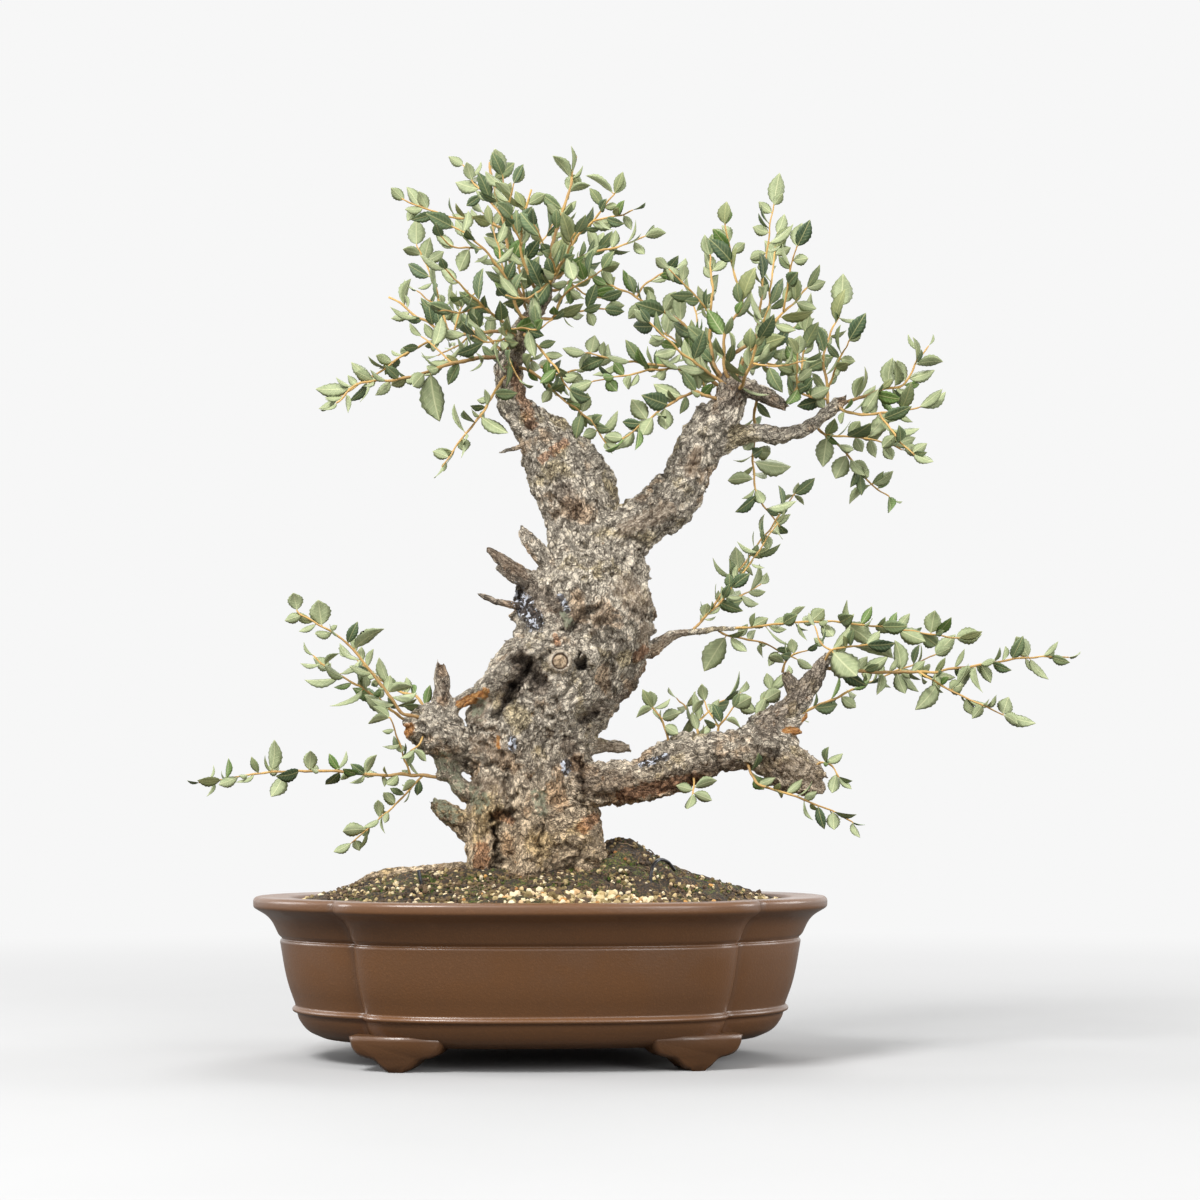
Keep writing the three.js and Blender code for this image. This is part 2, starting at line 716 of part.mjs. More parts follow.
// Shoots of each spray. A shoot's at lists [x, z] as seen from the front, with a third number
// where its depth is given; every later shoot forks from an earlier one of its spray. Its r is
// the thick and the thin end's radius, fill the usual length of the leaves that fill it, and cut
// marks a pruned tip. Its leaves are read as [x0, z0, x1, z1, width] from base to tip.
const SPRAYS = {
  spray_left_low: [
    {r: [2.2, 0.9], fill: 12, at: [
      [-73, 204, -12], [-100, 205.4], [-120, 205.4], [-153, 208], [-188, 208], [-211, 206], [-234, 202],
      [-252, 199.7, -30]],
     leaves: [
      [-199, 211, -194.8, 232.2, 11.5], [-188.5, 206.8, -199.7, 187, 12],
      [-170.5, 209, -170.2, 225, 10.5]]},
    {r: [1.3, 0.8], fill: 11, at: [
      [-88, 204.7], [-100, 191], [-120, 172], [-139.3, 156, -2]],
     leaves: [
      [-128, 165, -148.5, 164.4, 10.5], [-138, 157.3, -134.4, 148.9, 7.5]]},
    {r: [1.3, 0.8], fill: 11, at: [
      [-97, 206], [-105.6, 229.4], [-112.6, 247.7, -40]],
     leaves: [
      [-111, 251, -124.6, 255.5, 7.5]]},
  ],
  spray_knob_sprig: [
    {r: [1.2, 0.8], fill: 0, at: [
      [-88, 233, -30], [-91, 227, -40], [-96, 223, -45]]},
  ],
  spray_left_mid: [
    {r: [1.9, 0.9], fill: 13, at: [
      [-92, 243, -22], [-105.6, 248.5, -18], [-119.7, 260.5], [-139.3, 274], [-157.6, 283.7],
      [-168.8, 293, -4]],
     leaves: [
      [-129.5, 269, -131.6, 278.8, 10]]},
  ],
  spray_left_high: [
    {r: [2.1, 0.9], fill: 13, at: [
      [-88, 247, -24], [-103.5, 251.3, -32], [-116.9, 270], [-135, 292.2], [-149, 306], [-164, 316],
      [-177, 322.6], [-180.8, 327.5, -46]],
     leaves: [
      [-162.5, 314.8, -166, 335.3, 16], [-180, 327.5, -183.6, 341.6, 11.5]]},
  ],
  spray_left_back: [
    {r: [1.9, 0.9], fill: 14, at: [
      [-80, 249, -15], [-92, 262, 6], [-108, 268], [-124, 280], [-140, 292, 44]]},
  ],
  spray_a_west: [
    {r: [2.7, 1], fill: 15, at: [
      [-22, 518, 7], [-46, 515.5], [-70, 511], [-101, 501], [-125, 498], [-139, 495], [-153, 482, -38]],
     leaves: [
      [-82.5, 503, -76.5, 467, 18]]},
    {r: [1.3, 0.8], fill: 14, at: [
      [-67, 512], [-76, 520], [-90, 532, 10]]},
  ],
  spray_a_reach: [
    {r: [2.4, 1.2], fill: 15, cut: 1, at: [
      [-15, 536, 8], [-40, 536], [-70, 533], [-87, 543], [-114.5, 561.8, 40]]},
    {r: [1.6, 0.9], fill: 14, at: [
      [-70, 533], [-98, 521.6], [-120.6, 506], [-137, 496], [-153.4, 485, 26]]},
    {r: [1.5, 0.9], fill: 15, at: [
      [-70, 534], [-78, 563], [-85.5, 582], [-94, 601, 50]],
     leaves: [
      [-94, 602, -95, 621, 14]]},
    {r: [1.3, 0.8], fill: 14, at: [
      [-66, 534], [-59.5, 555.6], [-49.6, 565.7, 18]]},
  ],
  spray_a_fan: [
    {r: [2.2, 0.9], fill: 15, at: [
      [-10, 545, 6], [-18, 550], [-26, 572.6], [-36.6, 589.6], [-53.4, 606.6], [-67, 615, -34]],
     leaves: [
      [-67, 615, -81, 622, 8]]},
    {r: [1.4, 0.8], fill: 14, at: [
      [-26, 572.6], [-32, 594], [-37.4, 616, -4]]},
    {r: [1.3, 0.8], fill: 14, at: [
      [-45, 598], [-67, 600.5], [-76, 608, -54]]},
  ],
  spray_a_crest: [
    {r: [2.5, 1.7], fill: 15, cut: 1, at: [
      [-3, 555, 13], [-16, 563, 17], [-24, 585], [-29, 616], [-36.6, 647], [-39.7, 664, 44]]},
    {r: [1.5, 0.9], fill: 14, at: [
      [-27, 612.8], [-45.8, 621], [-65.6, 622], [-85.5, 628], [-106, 636, 22]],
     leaves: [
      [-104, 635, -115, 645, 9]]},
    {r: [1.4, 0.8], fill: 14, at: [
      [-31, 624], [-45.8, 641.4], [-60.3, 662, 60]],
     leaves: [
      [-60, 662, -71, 668, 8]]},
    {r: [1.4, 0.8], fill: 14, at: [
      [-30, 618], [-27, 636], [-30.5, 654, 14]],
     leaves: [
      [-31, 654, -37, 675, 13]]},
  ],
  spray_a_mast: [
    {r: [2.1, 1.1], fill: 14, cut: 1, at: [
      [1, 564, 10], [-7, 571], [-16, 595], [-14.5, 620.6], [-8.4, 643.7, -8]]},
    {r: [1.3, 0.8], fill: 14, at: [
      [-17, 600], [-25, 626.7], [-21.4, 647.6, -36]],
     leaves: [
      [-21.4, 647.6, -14, 661, 9]]},
  ],
  spray_a_tip: [
    {r: [2.3, 1.3], fill: 14, cut: 1, at: [
      [4.5, 580, 10], [6, 596], [12, 616], [18.3, 639], [25, 669, 26]]},
  ],
  spray_a_east_high: [
    {r: [2, 0.9], fill: 14, at: [
      [4, 577, 6], [13.7, 588], [27.5, 609.7], [39.7, 621], [53.4, 640.6, -30]],
     leaves: [
      [53, 640, 62, 652, 7]]},
    {r: [1.3, 0.8], fill: 13, at: [
      [38, 619], [52, 622], [66.4, 627.5, -50]]},
  ],
  spray_a_east_mid: [
    {r: [2, 0.9], fill: 14, at: [
      [3, 572, 12], [13, 579, 17], [29, 592], [52, 599], [76, 608, 50]],
     leaves: [
      [76, 608, 92, 611, 7]]},
  ],
  spray_a_south_east: [
    {r: [2.1, 0.9], fill: 15, at: [
      [-7, 546, 11], [8.6, 546], [24.6, 551], [45, 553, 36]],
     leaves: [
      [45, 553, 60, 556, 8]]},
    {r: [1.5, 0.8], fill: 14, at: [
      [8, 546.5], [16, 563, 6], [29, 573], [45, 582, -20]],
     leaves: [
      [45, 582, 59, 588, 8]]},
  ],
  spray_a_hang_east: [
    {r: [1.9, 0.8], fill: 14, at: [
      [-14, 534, 5], [-4, 524.5], [9.7, 508.3], [20, 492, -34]],
     leaves: [
      [20, 492, 31, 481, 8]]},
  ],
  spray_a_hang_long: [
    {r: [1.9, 0.8], fill: 15, at: [
      [-21, 510, 5], [-8.6, 506], [6.3, 494.5], [17.7, 483], [36, 469], [47, 452, -22]],
     leaves: [
      [46, 456, 55, 456, 9], [50, 450, 66, 446, 9]]},
  ],
  spray_a_hang_west: [
    {r: [1.9, 0.8], fill: 14, at: [
      [-27, 503, 2], [-36, 490], [-46.3, 472.6], [-64, 450], [-74, 434, -32]],
     leaves: [
      [-46, 471, -25, 458, 11], [-61, 457, -57, 445, 10]]},
  ],
  spray_a_low_east: [
    {r: [1.8, 0.8], fill: 14, at: [
      [-19, 522, 12], [-5, 512, 19], [13.7, 504], [40, 511, 44]],
     leaves: [
      [40, 511, 54, 518, 8]]},
  ],
  spray_a_back_west: [
    {r: [2, 0.9], fill: 16, at: [
      [-23, 513, 11], [-38, 528, 28], [-58, 546], [-78, 556], [-94, 566, 74]]},
    {r: [1.3, 0.8], fill: 15, at: [
      [-48, 538], [-62, 526], [-78, 518, 70]]},
  ],
  spray_a_back_high: [
    {r: [2, 0.9], fill: 16, at: [
      [-10, 542, 14], [-13, 558, 30], [-22, 598], [-44, 626, 76]]},
    {r: [1.3, 0.8], fill: 15, at: [
      [-16, 584], [-2, 602], [10, 620, 64]]},
  ],
  spray_a_back_east: [
    {r: [2, 0.9], fill: 16, at: [
      [2, 567, 14], [12, 568, 26], [26, 580], [44, 602, 76]]},
    {r: [1.3, 0.8], fill: 15, at: [
      [20, 574], [32, 564], [46, 560, 66]]},
  ],
  spray_a_front_west: [
    {r: [2, 0.9], fill: 15, at: [
      [-18, 530, 3], [-32, 545, -14], [-50, 560], [-72, 582, -68]]},
    {r: [1.3, 0.8], fill: 14, at: [
      [-44, 555], [-62, 550], [-78, 552, -60]]},
  ],
  spray_a_front_east: [
    {r: [2, 0.9], fill: 15, at: [
      [2, 569, 7], [8, 575, -6], [16, 590], [24, 610, -66]]},
    {r: [1.3, 0.8], fill: 14, at: [
      [11, 580], [2, 600], [-6, 616, -62]]},
  ],
  spray_b_mast: [
    {r: [2.3, 1], fill: 15, at: [
      [138, 497, -3], [129, 508, -1], [124.9, 532], [126.8, 568], [124.7, 593.4, 14]],
     leaves: [
      [125, 593, 120, 609, 9]]},
    {r: [1.4, 0.8], fill: 14, at: [
      [125, 547], [112, 564.8], [95, 583, -18]],
     leaves: [
      [95, 583, 84, 592, 8]]},
  ],
  spray_b_top: [
    {r: [2.1, 0.9], fill: 15, at: [
      [141, 498, -12], [136, 509, -16], [136, 535], [149, 558], [142.4, 583.9], [137, 616.8, -32]]},
  ],
  spray_b_ridge: [
    {r: [3, 1.5], fill: 14, at: [
      [140, 497, -6], [139, 515, -2], [150, 523], [170, 539, 20]]},
    {r: [1.5, 0.8], fill: 15, at: [
      [168, 537], [171.7, 577], [175, 610, 48]],
     leaves: [
      [175, 610, 182, 624, 9]]},
    {r: [1.6, 0.8], fill: 14, at: [
      [160, 530], [164.8, 577], [173, 631.5, 8]],
     leaves: [
      [173, 631, 180, 641, 7]]},
  ],
  spray_b_bough: [
    {r: [2.2, 1.1], fill: 15, at: [
      [144, 493, -13], [150, 514], [172.5, 540.5], [198, 569, -24]],
     leaves: [
      [198, 569, 212, 574, 9]]},
    {r: [1.4, 0.8], fill: 14, at: [
      [182, 549], [184.6, 580], [189.8, 599.5, -46]],
     leaves: [
      [190, 600, 195, 617, 14]]},
  ],
  spray_b_east_high: [
    {r: [2, 0.9], fill: 15, at: [
      [213, 475, 5], [213, 495], [210.4, 519.8], [225, 557, 24]],
     leaves: [
      [225, 554, 226, 580, 17]]},
    {r: [1.4, 0.8], fill: 14, at: [
      [213, 492], [218, 506], [228.5, 528.4, -32]],
     leaves: [
      [228, 528, 238, 536, 8]]},
    {r: [1.5, 0.9], fill: 16, at: [
      [213, 484], [199, 487], [191, 493, -16], [190, 507], [190, 519, -32]],
     leaves: [
      [199, 487, 214, 494, 11], [191, 492, 184, 478, 9], [190, 519, 193, 534, 11],
      [190, 504, 178, 511, 8]]},
  ],
  spray_b_east: [
    {r: [2.1, 0.9], fill: 14, at: [
      [221, 481, 6], [236, 486], [255, 492], [270, 496], [279, 512.8], [288, 525, 12]],
     leaves: [
      [269, 500, 264, 516, 11], [225, 484, 226, 508, 13], [257, 493, 258, 516, 12],
      [228, 484, 236, 471, 10], [245, 489, 249, 473, 9]]},
  ],
  spray_b_east_low: [
    {r: [1.9, 0.9], fill: 14, at: [
      [219, 479, 2], [231, 474.7, -4], [253.4, 474.7], [281, 478, -28]],
     leaves: [
      [281, 478, 302, 488, 9], [281, 476, 297, 467, 8]]},
    {r: [1.3, 0.8], fill: 13, at: [
      [251, 474.7], [263.8, 455.6], [275.8, 443.5, -44]],
     leaves: [
      [276, 443, 286, 452, 8]]},
  ],
  spray_b_under_east: [
    {r: [1.8, 0.8], fill: 14, at: [
      [203, 467, 3], [207, 461, 8], [226, 445], [241.4, 424.4], [256.9, 411.4, 32]],
     leaves: [
      [226, 444, 217, 425, 14], [205, 463, 193, 446, 11], [213, 456, 209, 432, 14],
      [215, 454, 229, 451, 11]]},
    {r: [1.3, 0.8], fill: 16, at: [
      [211, 458], [226, 456], [241, 455], [256, 452], [268, 447, -14]],
     leaves: [
      [236, 455, 256, 461, 11], [254, 452, 261, 439, 9], [262, 450, 278, 456, 10]]},
  ],
  spray_b_hang: [
    {r: [1.9, 0.8], fill: 13, at: [
      [158, 490, -9], [159, 483, 3], [158.5, 470, 14], [157, 435, 15], [160.5, 412, 17], [176, 390, 24]],
     leaves: [
      [156, 437, 186, 431, 14], [157, 446, 172, 442, 12]]},
  ],
  spray_b_west_low: [
    {r: [2.1, 0.9], fill: 15, at: [
      [136, 484, -12], [122, 487, -18], [112.3, 489.4], [90, 478], [60.7, 455.6, -42]],
     leaves: [
      [104, 489, 83, 495, 12], [100, 484, 74, 485, 11], [76, 470, 65, 486, 13], [92, 478, 93, 461, 12],
      [61, 456, 47, 458, 9]]},
  ],
  spray_b_west: [
    {r: [2.3, 0.9], fill: 15, at: [
      [136, 492, -7], [115, 505], [88.7, 509.5], [63.5, 513.6], [32.6, 518.7, 16]],
     leaves: [
      [36, 518, 40, 532, 12], [33, 519, 19, 524, 8]]},
    {r: [1.4, 0.8], fill: 14, at: [
      [100, 507], [79.5, 507, -8], [63.5, 503], [38, 498.5, -20]],
     leaves: [
      [48, 500, 56, 490, 10], [38, 498, 24, 494, 8]]},
  ],
  spray_b_west_high: [
    {r: [2.2, 0.9], fill: 15, at: [
      [138, 492, -4], [131, 501, 12], [111.6, 537], [88.7, 551.5], [65.8, 564], [30, 580, 36]],
     leaves: [
      [92, 552, 100, 566, 10], [30, 580, 17, 586, 8]]},
    {r: [1.3, 0.8], fill: 14, at: [
      [70, 562], [80, 574], [100, 584, 50]]},
  ],
  spray_b_west_cut: [
    {r: [1.9, 0.9], fill: 15, at: [
      [136, 495, -15], [126, 503, -19], [102, 521.5], [80.5, 542.6, -46]],
     leaves: [
      [80, 543, 68, 552, 8]]},
  ],
  spray_b_core: [
    {r: [1.8, 0.9], fill: 14, at: [
      [179, 480, -14], [186, 487], [193, 503], [195.8, 535, 8]],
     leaves: [
      [196, 535, 199, 549, 8]]},
  ],
  spray_b_back_west: [
    {r: [2, 0.9], fill: 16, at: [
      [137, 482, -3], [124, 490, 16], [108, 520], [84, 540, 72]]},
    {r: [1.3, 0.8], fill: 15, at: [
      [112, 514], [116, 536], [112, 562, 66]]},
  ],
  spray_b_back_east: [
    {r: [2, 0.9], fill: 16, at: [
      [143, 492, -3], [152, 504, 16], [170, 522], [196, 546, 72]]},
    {r: [1.3, 0.8], fill: 15, at: [
      [162, 514], [184, 508], [206, 506, 62]]},
  ],
  spray_b_front_mid: [
    {r: [2, 0.9], fill: 15, at: [
      [147, 492, -16], [152, 502, -30], [160, 526], [170, 556, -66]]},
    {r: [1.3, 0.8], fill: 14, at: [
      [155, 512], [176, 510], [196, 514, -60]]},
  ],
  spray_d_rise: [
    {r: [1.6, 0.9], fill: 13, at: [
      [110, 310.8, 15.5], [120.6, 321], [140, 349], [165, 382], [187, 413, 40]],
     leaves: [
      [144, 357, 144, 374, 12], [112, 313, 97.8, 300.4, 10]]},
    {r: [1.3, 0.8], fill: 12, at: [
      [118, 318], [134, 336, 14], [158, 367], [175, 392, 4]]},
    {r: [1.3, 0.8], fill: 14, at: [
      [125, 328], [140, 334], [162, 346, 68]]},
  ],
  spray_d_dip: [
    {r: [1.4, 0.8], fill: 13, at: [
      [130, 313.2, 20], [135, 309, 24], [162, 303], [188, 291, 46]],
     leaves: [
      [136, 309, 118.5, 282, 17], [188, 291, 200, 284, 7]]},
  ],
  spray_d_reach: [
    {r: [1.4, 0.9], fill: 14, at: [
      [143, 313.7, 22.7], [170.6, 316], [214, 318.5], [255, 314], [308, 306, 2]],
     leaves: [
      [199, 320, 210, 327, 12], [212, 319, 224, 327, 13], [223, 317, 246.7, 302.6, 14],
      [264, 313, 284.8, 302.6, 13], [288, 310, 291.3, 327.6, 13], [305.4, 305, 326, 310, 13],
      [308, 306, 328, 290.6, 8]]},
  ],
  spray_c_crest: [
    {r: [1.6, 0.9], fill: 13, at: [
      [207, 286, -20], [214, 297, -26], [225, 300], [240, 301, -44]],
     leaves: [
      [214, 297, 233.7, 275.4, 21], [240, 301, 250, 311, 7]]},
    {r: [1.2, 0.8], fill: 11, at: [
      [214, 297], [207, 303], [201.8, 315, -14]]},
  ],
  spray_c_reach: [
    {r: [2.2, 0.9], fill: 14, at: [
      [203, 281, -18], [218, 284, -10], [249, 281], [293, 282], [349, 290.7], [390, 292.4, 8]],
     leaves: [
      [265, 284, 264, 306, 10], [263, 282, 269.6, 263.5, 10], [320.6, 284, 303, 268, 11],
      [359.8, 291.7, 350, 308, 13]]},
    {r: [1.4, 0.8], fill: 13, at: [
      [277.5, 281], [301.5, 268], [340.6, 249.5, -34]],
     leaves: [
      [291.3, 272, 276, 252, 12], [299, 266, 312, 272, 12], [342.4, 250, 344.6, 263, 12],
      [340, 249, 352, 242.8, 8]]},
  ],
  spray_c_cross: [
    {r: [1.8, 0.8], fill: 13, at: [
      [176, 247, -20], [188, 250, -4], [201, 255, 12], [227, 267], [257, 279.6], [290, 293, 30]],
     leaves: [
      [290, 293, 302, 298, 8]]},
  ],
  spray_c_stub: [
    {r: [1.5, 0.8], fill: 11, at: [
      [178, 280, -26], [182, 291, -32], [196, 297, -44]]},
  ],
  spray_c_inner: [
    {r: [1.6, 0.8], fill: 12, at: [
      [161, 240, -20], [159, 251, -12], [168, 266], [179, 276, 8]],
     leaves: [
      [166, 260, 179, 269, 12], [158, 252, 145, 258, 10]]},
  ],
  spray_c_top_west: [
    {r: [1.6, 0.8], fill: 11, at: [
      [94, 220, -20], [92, 234], [88, 247], [81.5, 255.9, -34]],
     leaves: [
      [82, 256, 80, 269, 9]]},
  ],
  spray_c_top_mid: [
    {r: [1.6, 0.8], fill: 12, at: [
      [130, 229, -22], [131, 240], [141, 255, -36]],
     leaves: [
      [141, 254, 155, 263, 12]]},
    {r: [1.2, 0.8], fill: 11, at: [
      [131, 240], [124, 252], [120, 261, -6]],
     leaves: [
      [121, 259, 118, 273, 8]]},
  ],
  spray_c_back: [
    {r: [1.7, 0.8], fill: 14, at: [
      [114, 226, -14], [114, 240, 4], [108, 252], [100, 262, 44]]},
    {r: [1.3, 0.8], fill: 14, at: [
      [113, 242], [128, 256], [146, 266, 44]]},
  ],
  spray_c_under: [
    {r: [1.7, 0.8], fill: 12, at: [
      [152, 214, -32], [160, 199, -45], [184, 190, -52], [207.6, 182, -52], [229, 170, -50]],
     leaves: [
      [156, 203, 165, 195, 10]]},
  ],
  spray_c_end: [
    {r: [1.5, 0.8], fill: 11, at: [
      [199, 205, -31], [204, 214, -36], [212, 213], [219, 204, -48]],
     leaves: [
      [217, 206, 214, 190, 9]]},
  ],
  spray_c_belly: [
    {r: [1.3, 0.8], fill: 0, at: [
      [112, 205, -30], [112, 197, -40], [111, 191, -44]],
     leaves: [
      [112, 195, 99, 199, 8], [112, 192, 126, 186, 8], [111, 191, 107, 179, 7]]},
  ],
};

// Sprays

// A shoot's points from its foot to its tip, each {at, deep, seen: [x, z], r}.
function shootPath(shoot, parents) {
  const points = shoot.at.map((p) => [...p]);
  let startRadius = shoot.r[0];
  if (parents.length > 0) {
    const fork = nearest(parents, points[0][0], points[0][1]);
    points[0] = [fork.seen[0], fork.seen[1], fork.deep];
    startRadius = Math.min(startRadius, fork.r);
  }
  const legs = points.slice(1).map((p, i) => Math.hypot(p[0] - points[i][0], p[1] - points[i][1]));
  const known = points.map((p, i) => i).filter((i) => points[i].length > 2);
  const walked = legs.reduce((row, leg) => [...row, row[row.length - 1] + leg], [0]);
  for (let k = 0; k + 1 < known.length; k++) {
    const [from, to] = [known[k], known[k + 1]];
    for (let i = from + 1; i < to; i++) {
      const share = (walked[i] - walked[from]) / (walked[to] - walked[from]);
      points[i].push(points[from][2] + share * (points[to][2] - points[from][2]));
    }
  }
  const total = walked[walked.length - 1];
  return points.map(([x, z, deep], i) => ({
    at: seen(x, z, deep),
    deep,
    seen: [x, z],
    r: startRadius + ((shoot.r[1] - startRadius) * walked[i]) / total,
  }));
}

function between(a, b, t) {
  const mix = (u, v) => u + (v - u) * t;
  return {
    at: a.at.clone().lerp(b.at, t),
    deep: mix(a.deep, b.deep),
    seen: [mix(a.seen[0], b.seen[0]), mix(a.seen[1], b.seen[1])],
    r: mix(a.r, b.r),
  };
}

// The spot of some paths that looks nearest to x, z from the front.
function nearest(paths, x, z) {
  let best = null;
  for (const path of paths) {
    for (let i = 0; i + 1 < path.length; i++) {
      const [ax, az] = path[i].seen;
      const [dx, dz] = [path[i + 1].seen[0] - ax, path[i + 1].seen[1] - az];
      const raw = ((x - ax) * dx + (z - az) * dz) / (dx * dx + dz * dz);
      const end = i + 2 === path.length ? 1 - TIP_SPARE / Math.hypot(dx, dz) : 1;
      const t = Math.min(end, Math.max(0, raw));
      const off = Math.hypot(ax + t * dx - x, az + t * dz - z);
      if (best === null || off < best.off) best = { off, spot: between(path[i], path[i + 1], t) };
    }
  }
  return best.spot;
}

// Boxes are {centre, axes: three unit vectors, half: three numbers}.
function apart(a, b) {
  const away = b.centre.clone().sub(a.centre);
  const size = (box) => Math.hypot(...box.half);
  if (away.length() > size(a) + size(b)) return true;
  const tests = [...a.axes, ...b.axes];
  for (const u of a.axes) {
    for (const v of b.axes) tests.push(u.clone().cross(v));
  }
  const reach = (box, axis) =>
    box.axes.reduce((sum, u, i) => sum + box.half[i] * Math.abs(u.dot(axis)), 0);
  return tests.some(
    (axis) =>
      axis.lengthSq() > 1e-4 && Math.abs(away.dot(axis)) > reach(a, axis) + reach(b, axis),
  );
}

function clearOfBall(box, ball) {
  const away = ball.centre.clone().sub(box.centre);
  const left = box.axes.map((u, i) => Math.max(0, Math.abs(away.dot(u)) - box.half[i]));
  return Math.hypot(...left) > ball.r;
}

// Leaf: base on its shoot, unit vectors along and across, and the blade's normal.
function leafFrame(base, along, across, length, width) {
  const ahead = along.clone().normalize();
  const normal = ahead.clone().cross(across).normalize();
  return { base, along: ahead, across: normal.clone().cross(ahead), normal, length, width };
}

function leafBox(leaf) {
  const centre = leaf.base.clone().addScaledVector(leaf.along, 0.56 * leaf.length);
  centre.addScaledVector(leaf.normal, 0.07 * leaf.width);
  return {
    centre,
    axes: [leaf.along, leaf.across, leaf.normal],
    half: [0.45 * leaf.length, leaf.width / 2, BLADE_THICKNESS / 2 + 0.1 * leaf.width + 0.25],
  };
}

// A leaf read from the front: from x0, z0 to x1, z1 and w wide as it is seen.
function listedLeaf([x0, z0, x1, z1, w], paths, tilt, number) {
  const foot = nearest(paths, x0, z0);
  const flat = Math.hypot(x1 - foot.seen[0], z1 - foot.seen[1]);
  const tip = seen(x1, z1, foot.deep + tilt * flat);
  const along = tip.clone().sub(foot.at);
  const length = along.length();
  const width = Math.max(w, LEAF_PROPORTION * length * 0.94);
  const roll = Math.acos(Math.min(1, w / width)) * (chance(number, 11) < 0.5 ? -1 : 1);
  const level = new THREE.Vector3(0, 1, 0).cross(along).normalize();
  const lean = along.clone().normalize().cross(level);
  const across = level.multiplyScalar(Math.cos(roll)).addScaledVector(lean, Math.sin(roll));
  return leafFrame(foot.at, along, across, length, width);
}

// The nth leaf back from a shoot's tip; each stands further round the shoot than the last.
function fillLeaf(path, shoot, n, turn, number) {
  const legs = path.slice(1).map((p, i) => p.at.distanceTo(path[i].at));
  let back = n * LEAF_PITCH + TIP_SPARE;
  let leg = legs.length - 1;
  while (leg >= 0 && back > legs[leg]) back -= legs[leg--];
  if (leg < 0) return null;
  const foot = between(path[leg + 1], path[leg], back / legs[leg]);
  const stem = path[leg + 1].at.clone().sub(path[leg].at).normalize();
  const side = new THREE.Vector3(0, 0, 1).cross(stem).normalize();
  const round = n * LEAF_DIVERGENCE + turn;
  const out = side.clone().multiplyScalar(Math.cos(round));
  out.addScaledVector(stem.clone().cross(side), Math.sin(round));
  const spread = n === 0 ? 0.25 : LEAF_SPREAD;
  const along = stem.multiplyScalar(Math.cos(spread)).addScaledVector(out, Math.sin(spread));
  along.z += 0.22;
  const across = along.clone().cross(new THREE.Vector3(0, 0, 1)).normalize();
  const lean = across.clone().cross(along).normalize();
  across.addScaledVector(lean, 1.3 * (chance(number, n, 3) - 0.5));
  const length = shoot.fill * (0.74 + 0.52 * chance(number, n, 5));
  const width = LEAF_PROPORTION * length * (0.86 + 0.28 * chance(number, n, 6));
  return leafFrame(foot.at, along, across, length, width);
}

// Half the outline, [share of the length, share of the half width, lift over the half width]
const SHORT_EDGE = [
  [0.34, 0.86, 0],
  [0.7, 0.84, 0.34],
];
const MIDDLE_EDGE = [
  [0.26, 0.78, 0],
  [0.52, 1, 0.3],
  [0.8, 0.66, 0.16],
];
const LONG_EDGE = [
  [0.2, 0.7, 0],
  [0.38, 1, 0.22],
  [0.6, 0.9, 0.4],
  [0.82, 0.6, 0.2],
];
const TIP_DROOP = -0.25;

// A boat-shaped blade: flat by its foot, then drooping to the tip between raised edges.
function leafSolid(leaf) {
  const edge =
    leaf.length > LONG_LEAF ? LONG_EDGE : leaf.length > SHORT_LEAF ? MIDDLE_EDGE : SHORT_EDGE;
  const half = leaf.width / 2;
  const outline = [
    [0, 0, 0],
    ...edge.map(([x, y, lift]) => [x * leaf.length, -y * half, lift * half]),
    [leaf.length, 0, TIP_DROOP * half],
    ...[...edge].reverse().map(([x, y, lift]) => [x * leaf.length, y * half, 0.7 * lift * half]),
  ];
  const count = outline.length;
  const tip = edge.length + 1;
  const position = [];
  for (const face of [-0.5, 0.5]) {
    for (const [x, y, lift] of outline) {
      const p = leaf.base.clone().addScaledVector(leaf.along, x).addScaledVector(leaf.across, y);
      p.addScaledVector(leaf.normal, lift + face * BLADE_THICKNESS);
      position.push(p.x, p.y, p.z);
    }
  }
  const facets = [
    [0, 1, count - 1],
    [1, tip, count - 1],
  ];
  for (let i = 1; i + 1 < tip; i++) facets.push([i, i + 1, tip]);
  for (let i = tip + 1; i + 1 < count; i++) facets.push([tip, i, i + 1]);
  const index = facets.flatMap(([a, b, c]) => [a, c, b, count + a, count + b, count + c]);
  for (let i = 0; i < count; i++) {
    const j = (i + 1) % count;
    index.push(i, j, count + j, i, count + j, count + i);
  }
  const geometry = new THREE.BufferGeometry();
  geometry.setAttribute("position", new THREE.Float32BufferAttribute(position, 3));
  geometry.setIndex(index);
  return solidOf(geometry);
}

// The twigs of a spray as boxes, to keep other sprays' leaves clear of them.
function twigBoxes(path) {
  return path.slice(1).map((p, i) => {
    const along = p.at.clone().sub(path[i].at);
    const half = [along.length() / 2, path[i].r + 0.5, path[i].r + 0.5];
    const centre = p.at.clone().lerp(path[i].at, 0.5);
    along.normalize();
    const side = new THREE.Vector3(0, 1, 0).addScaledVector(along, -along.y).normalize();
    return { centre, axes: [along, side, along.clone().cross(side)], half };
  });
}

function shootSolid(path) {
  const rings = path.map((p, i) => {
    const before = path[Math.max(0, i - 1)].at;
    const after = path[Math.min(path.length - 1, i + 1)].at;
    const sides = path[0].r > 2.4 ? 4 : 3;
    return tubeRing(p.at, after.clone().sub(before).normalize(), sides, 1, () => 1.2 * p.r);
  });
  return skinned(rings);
}

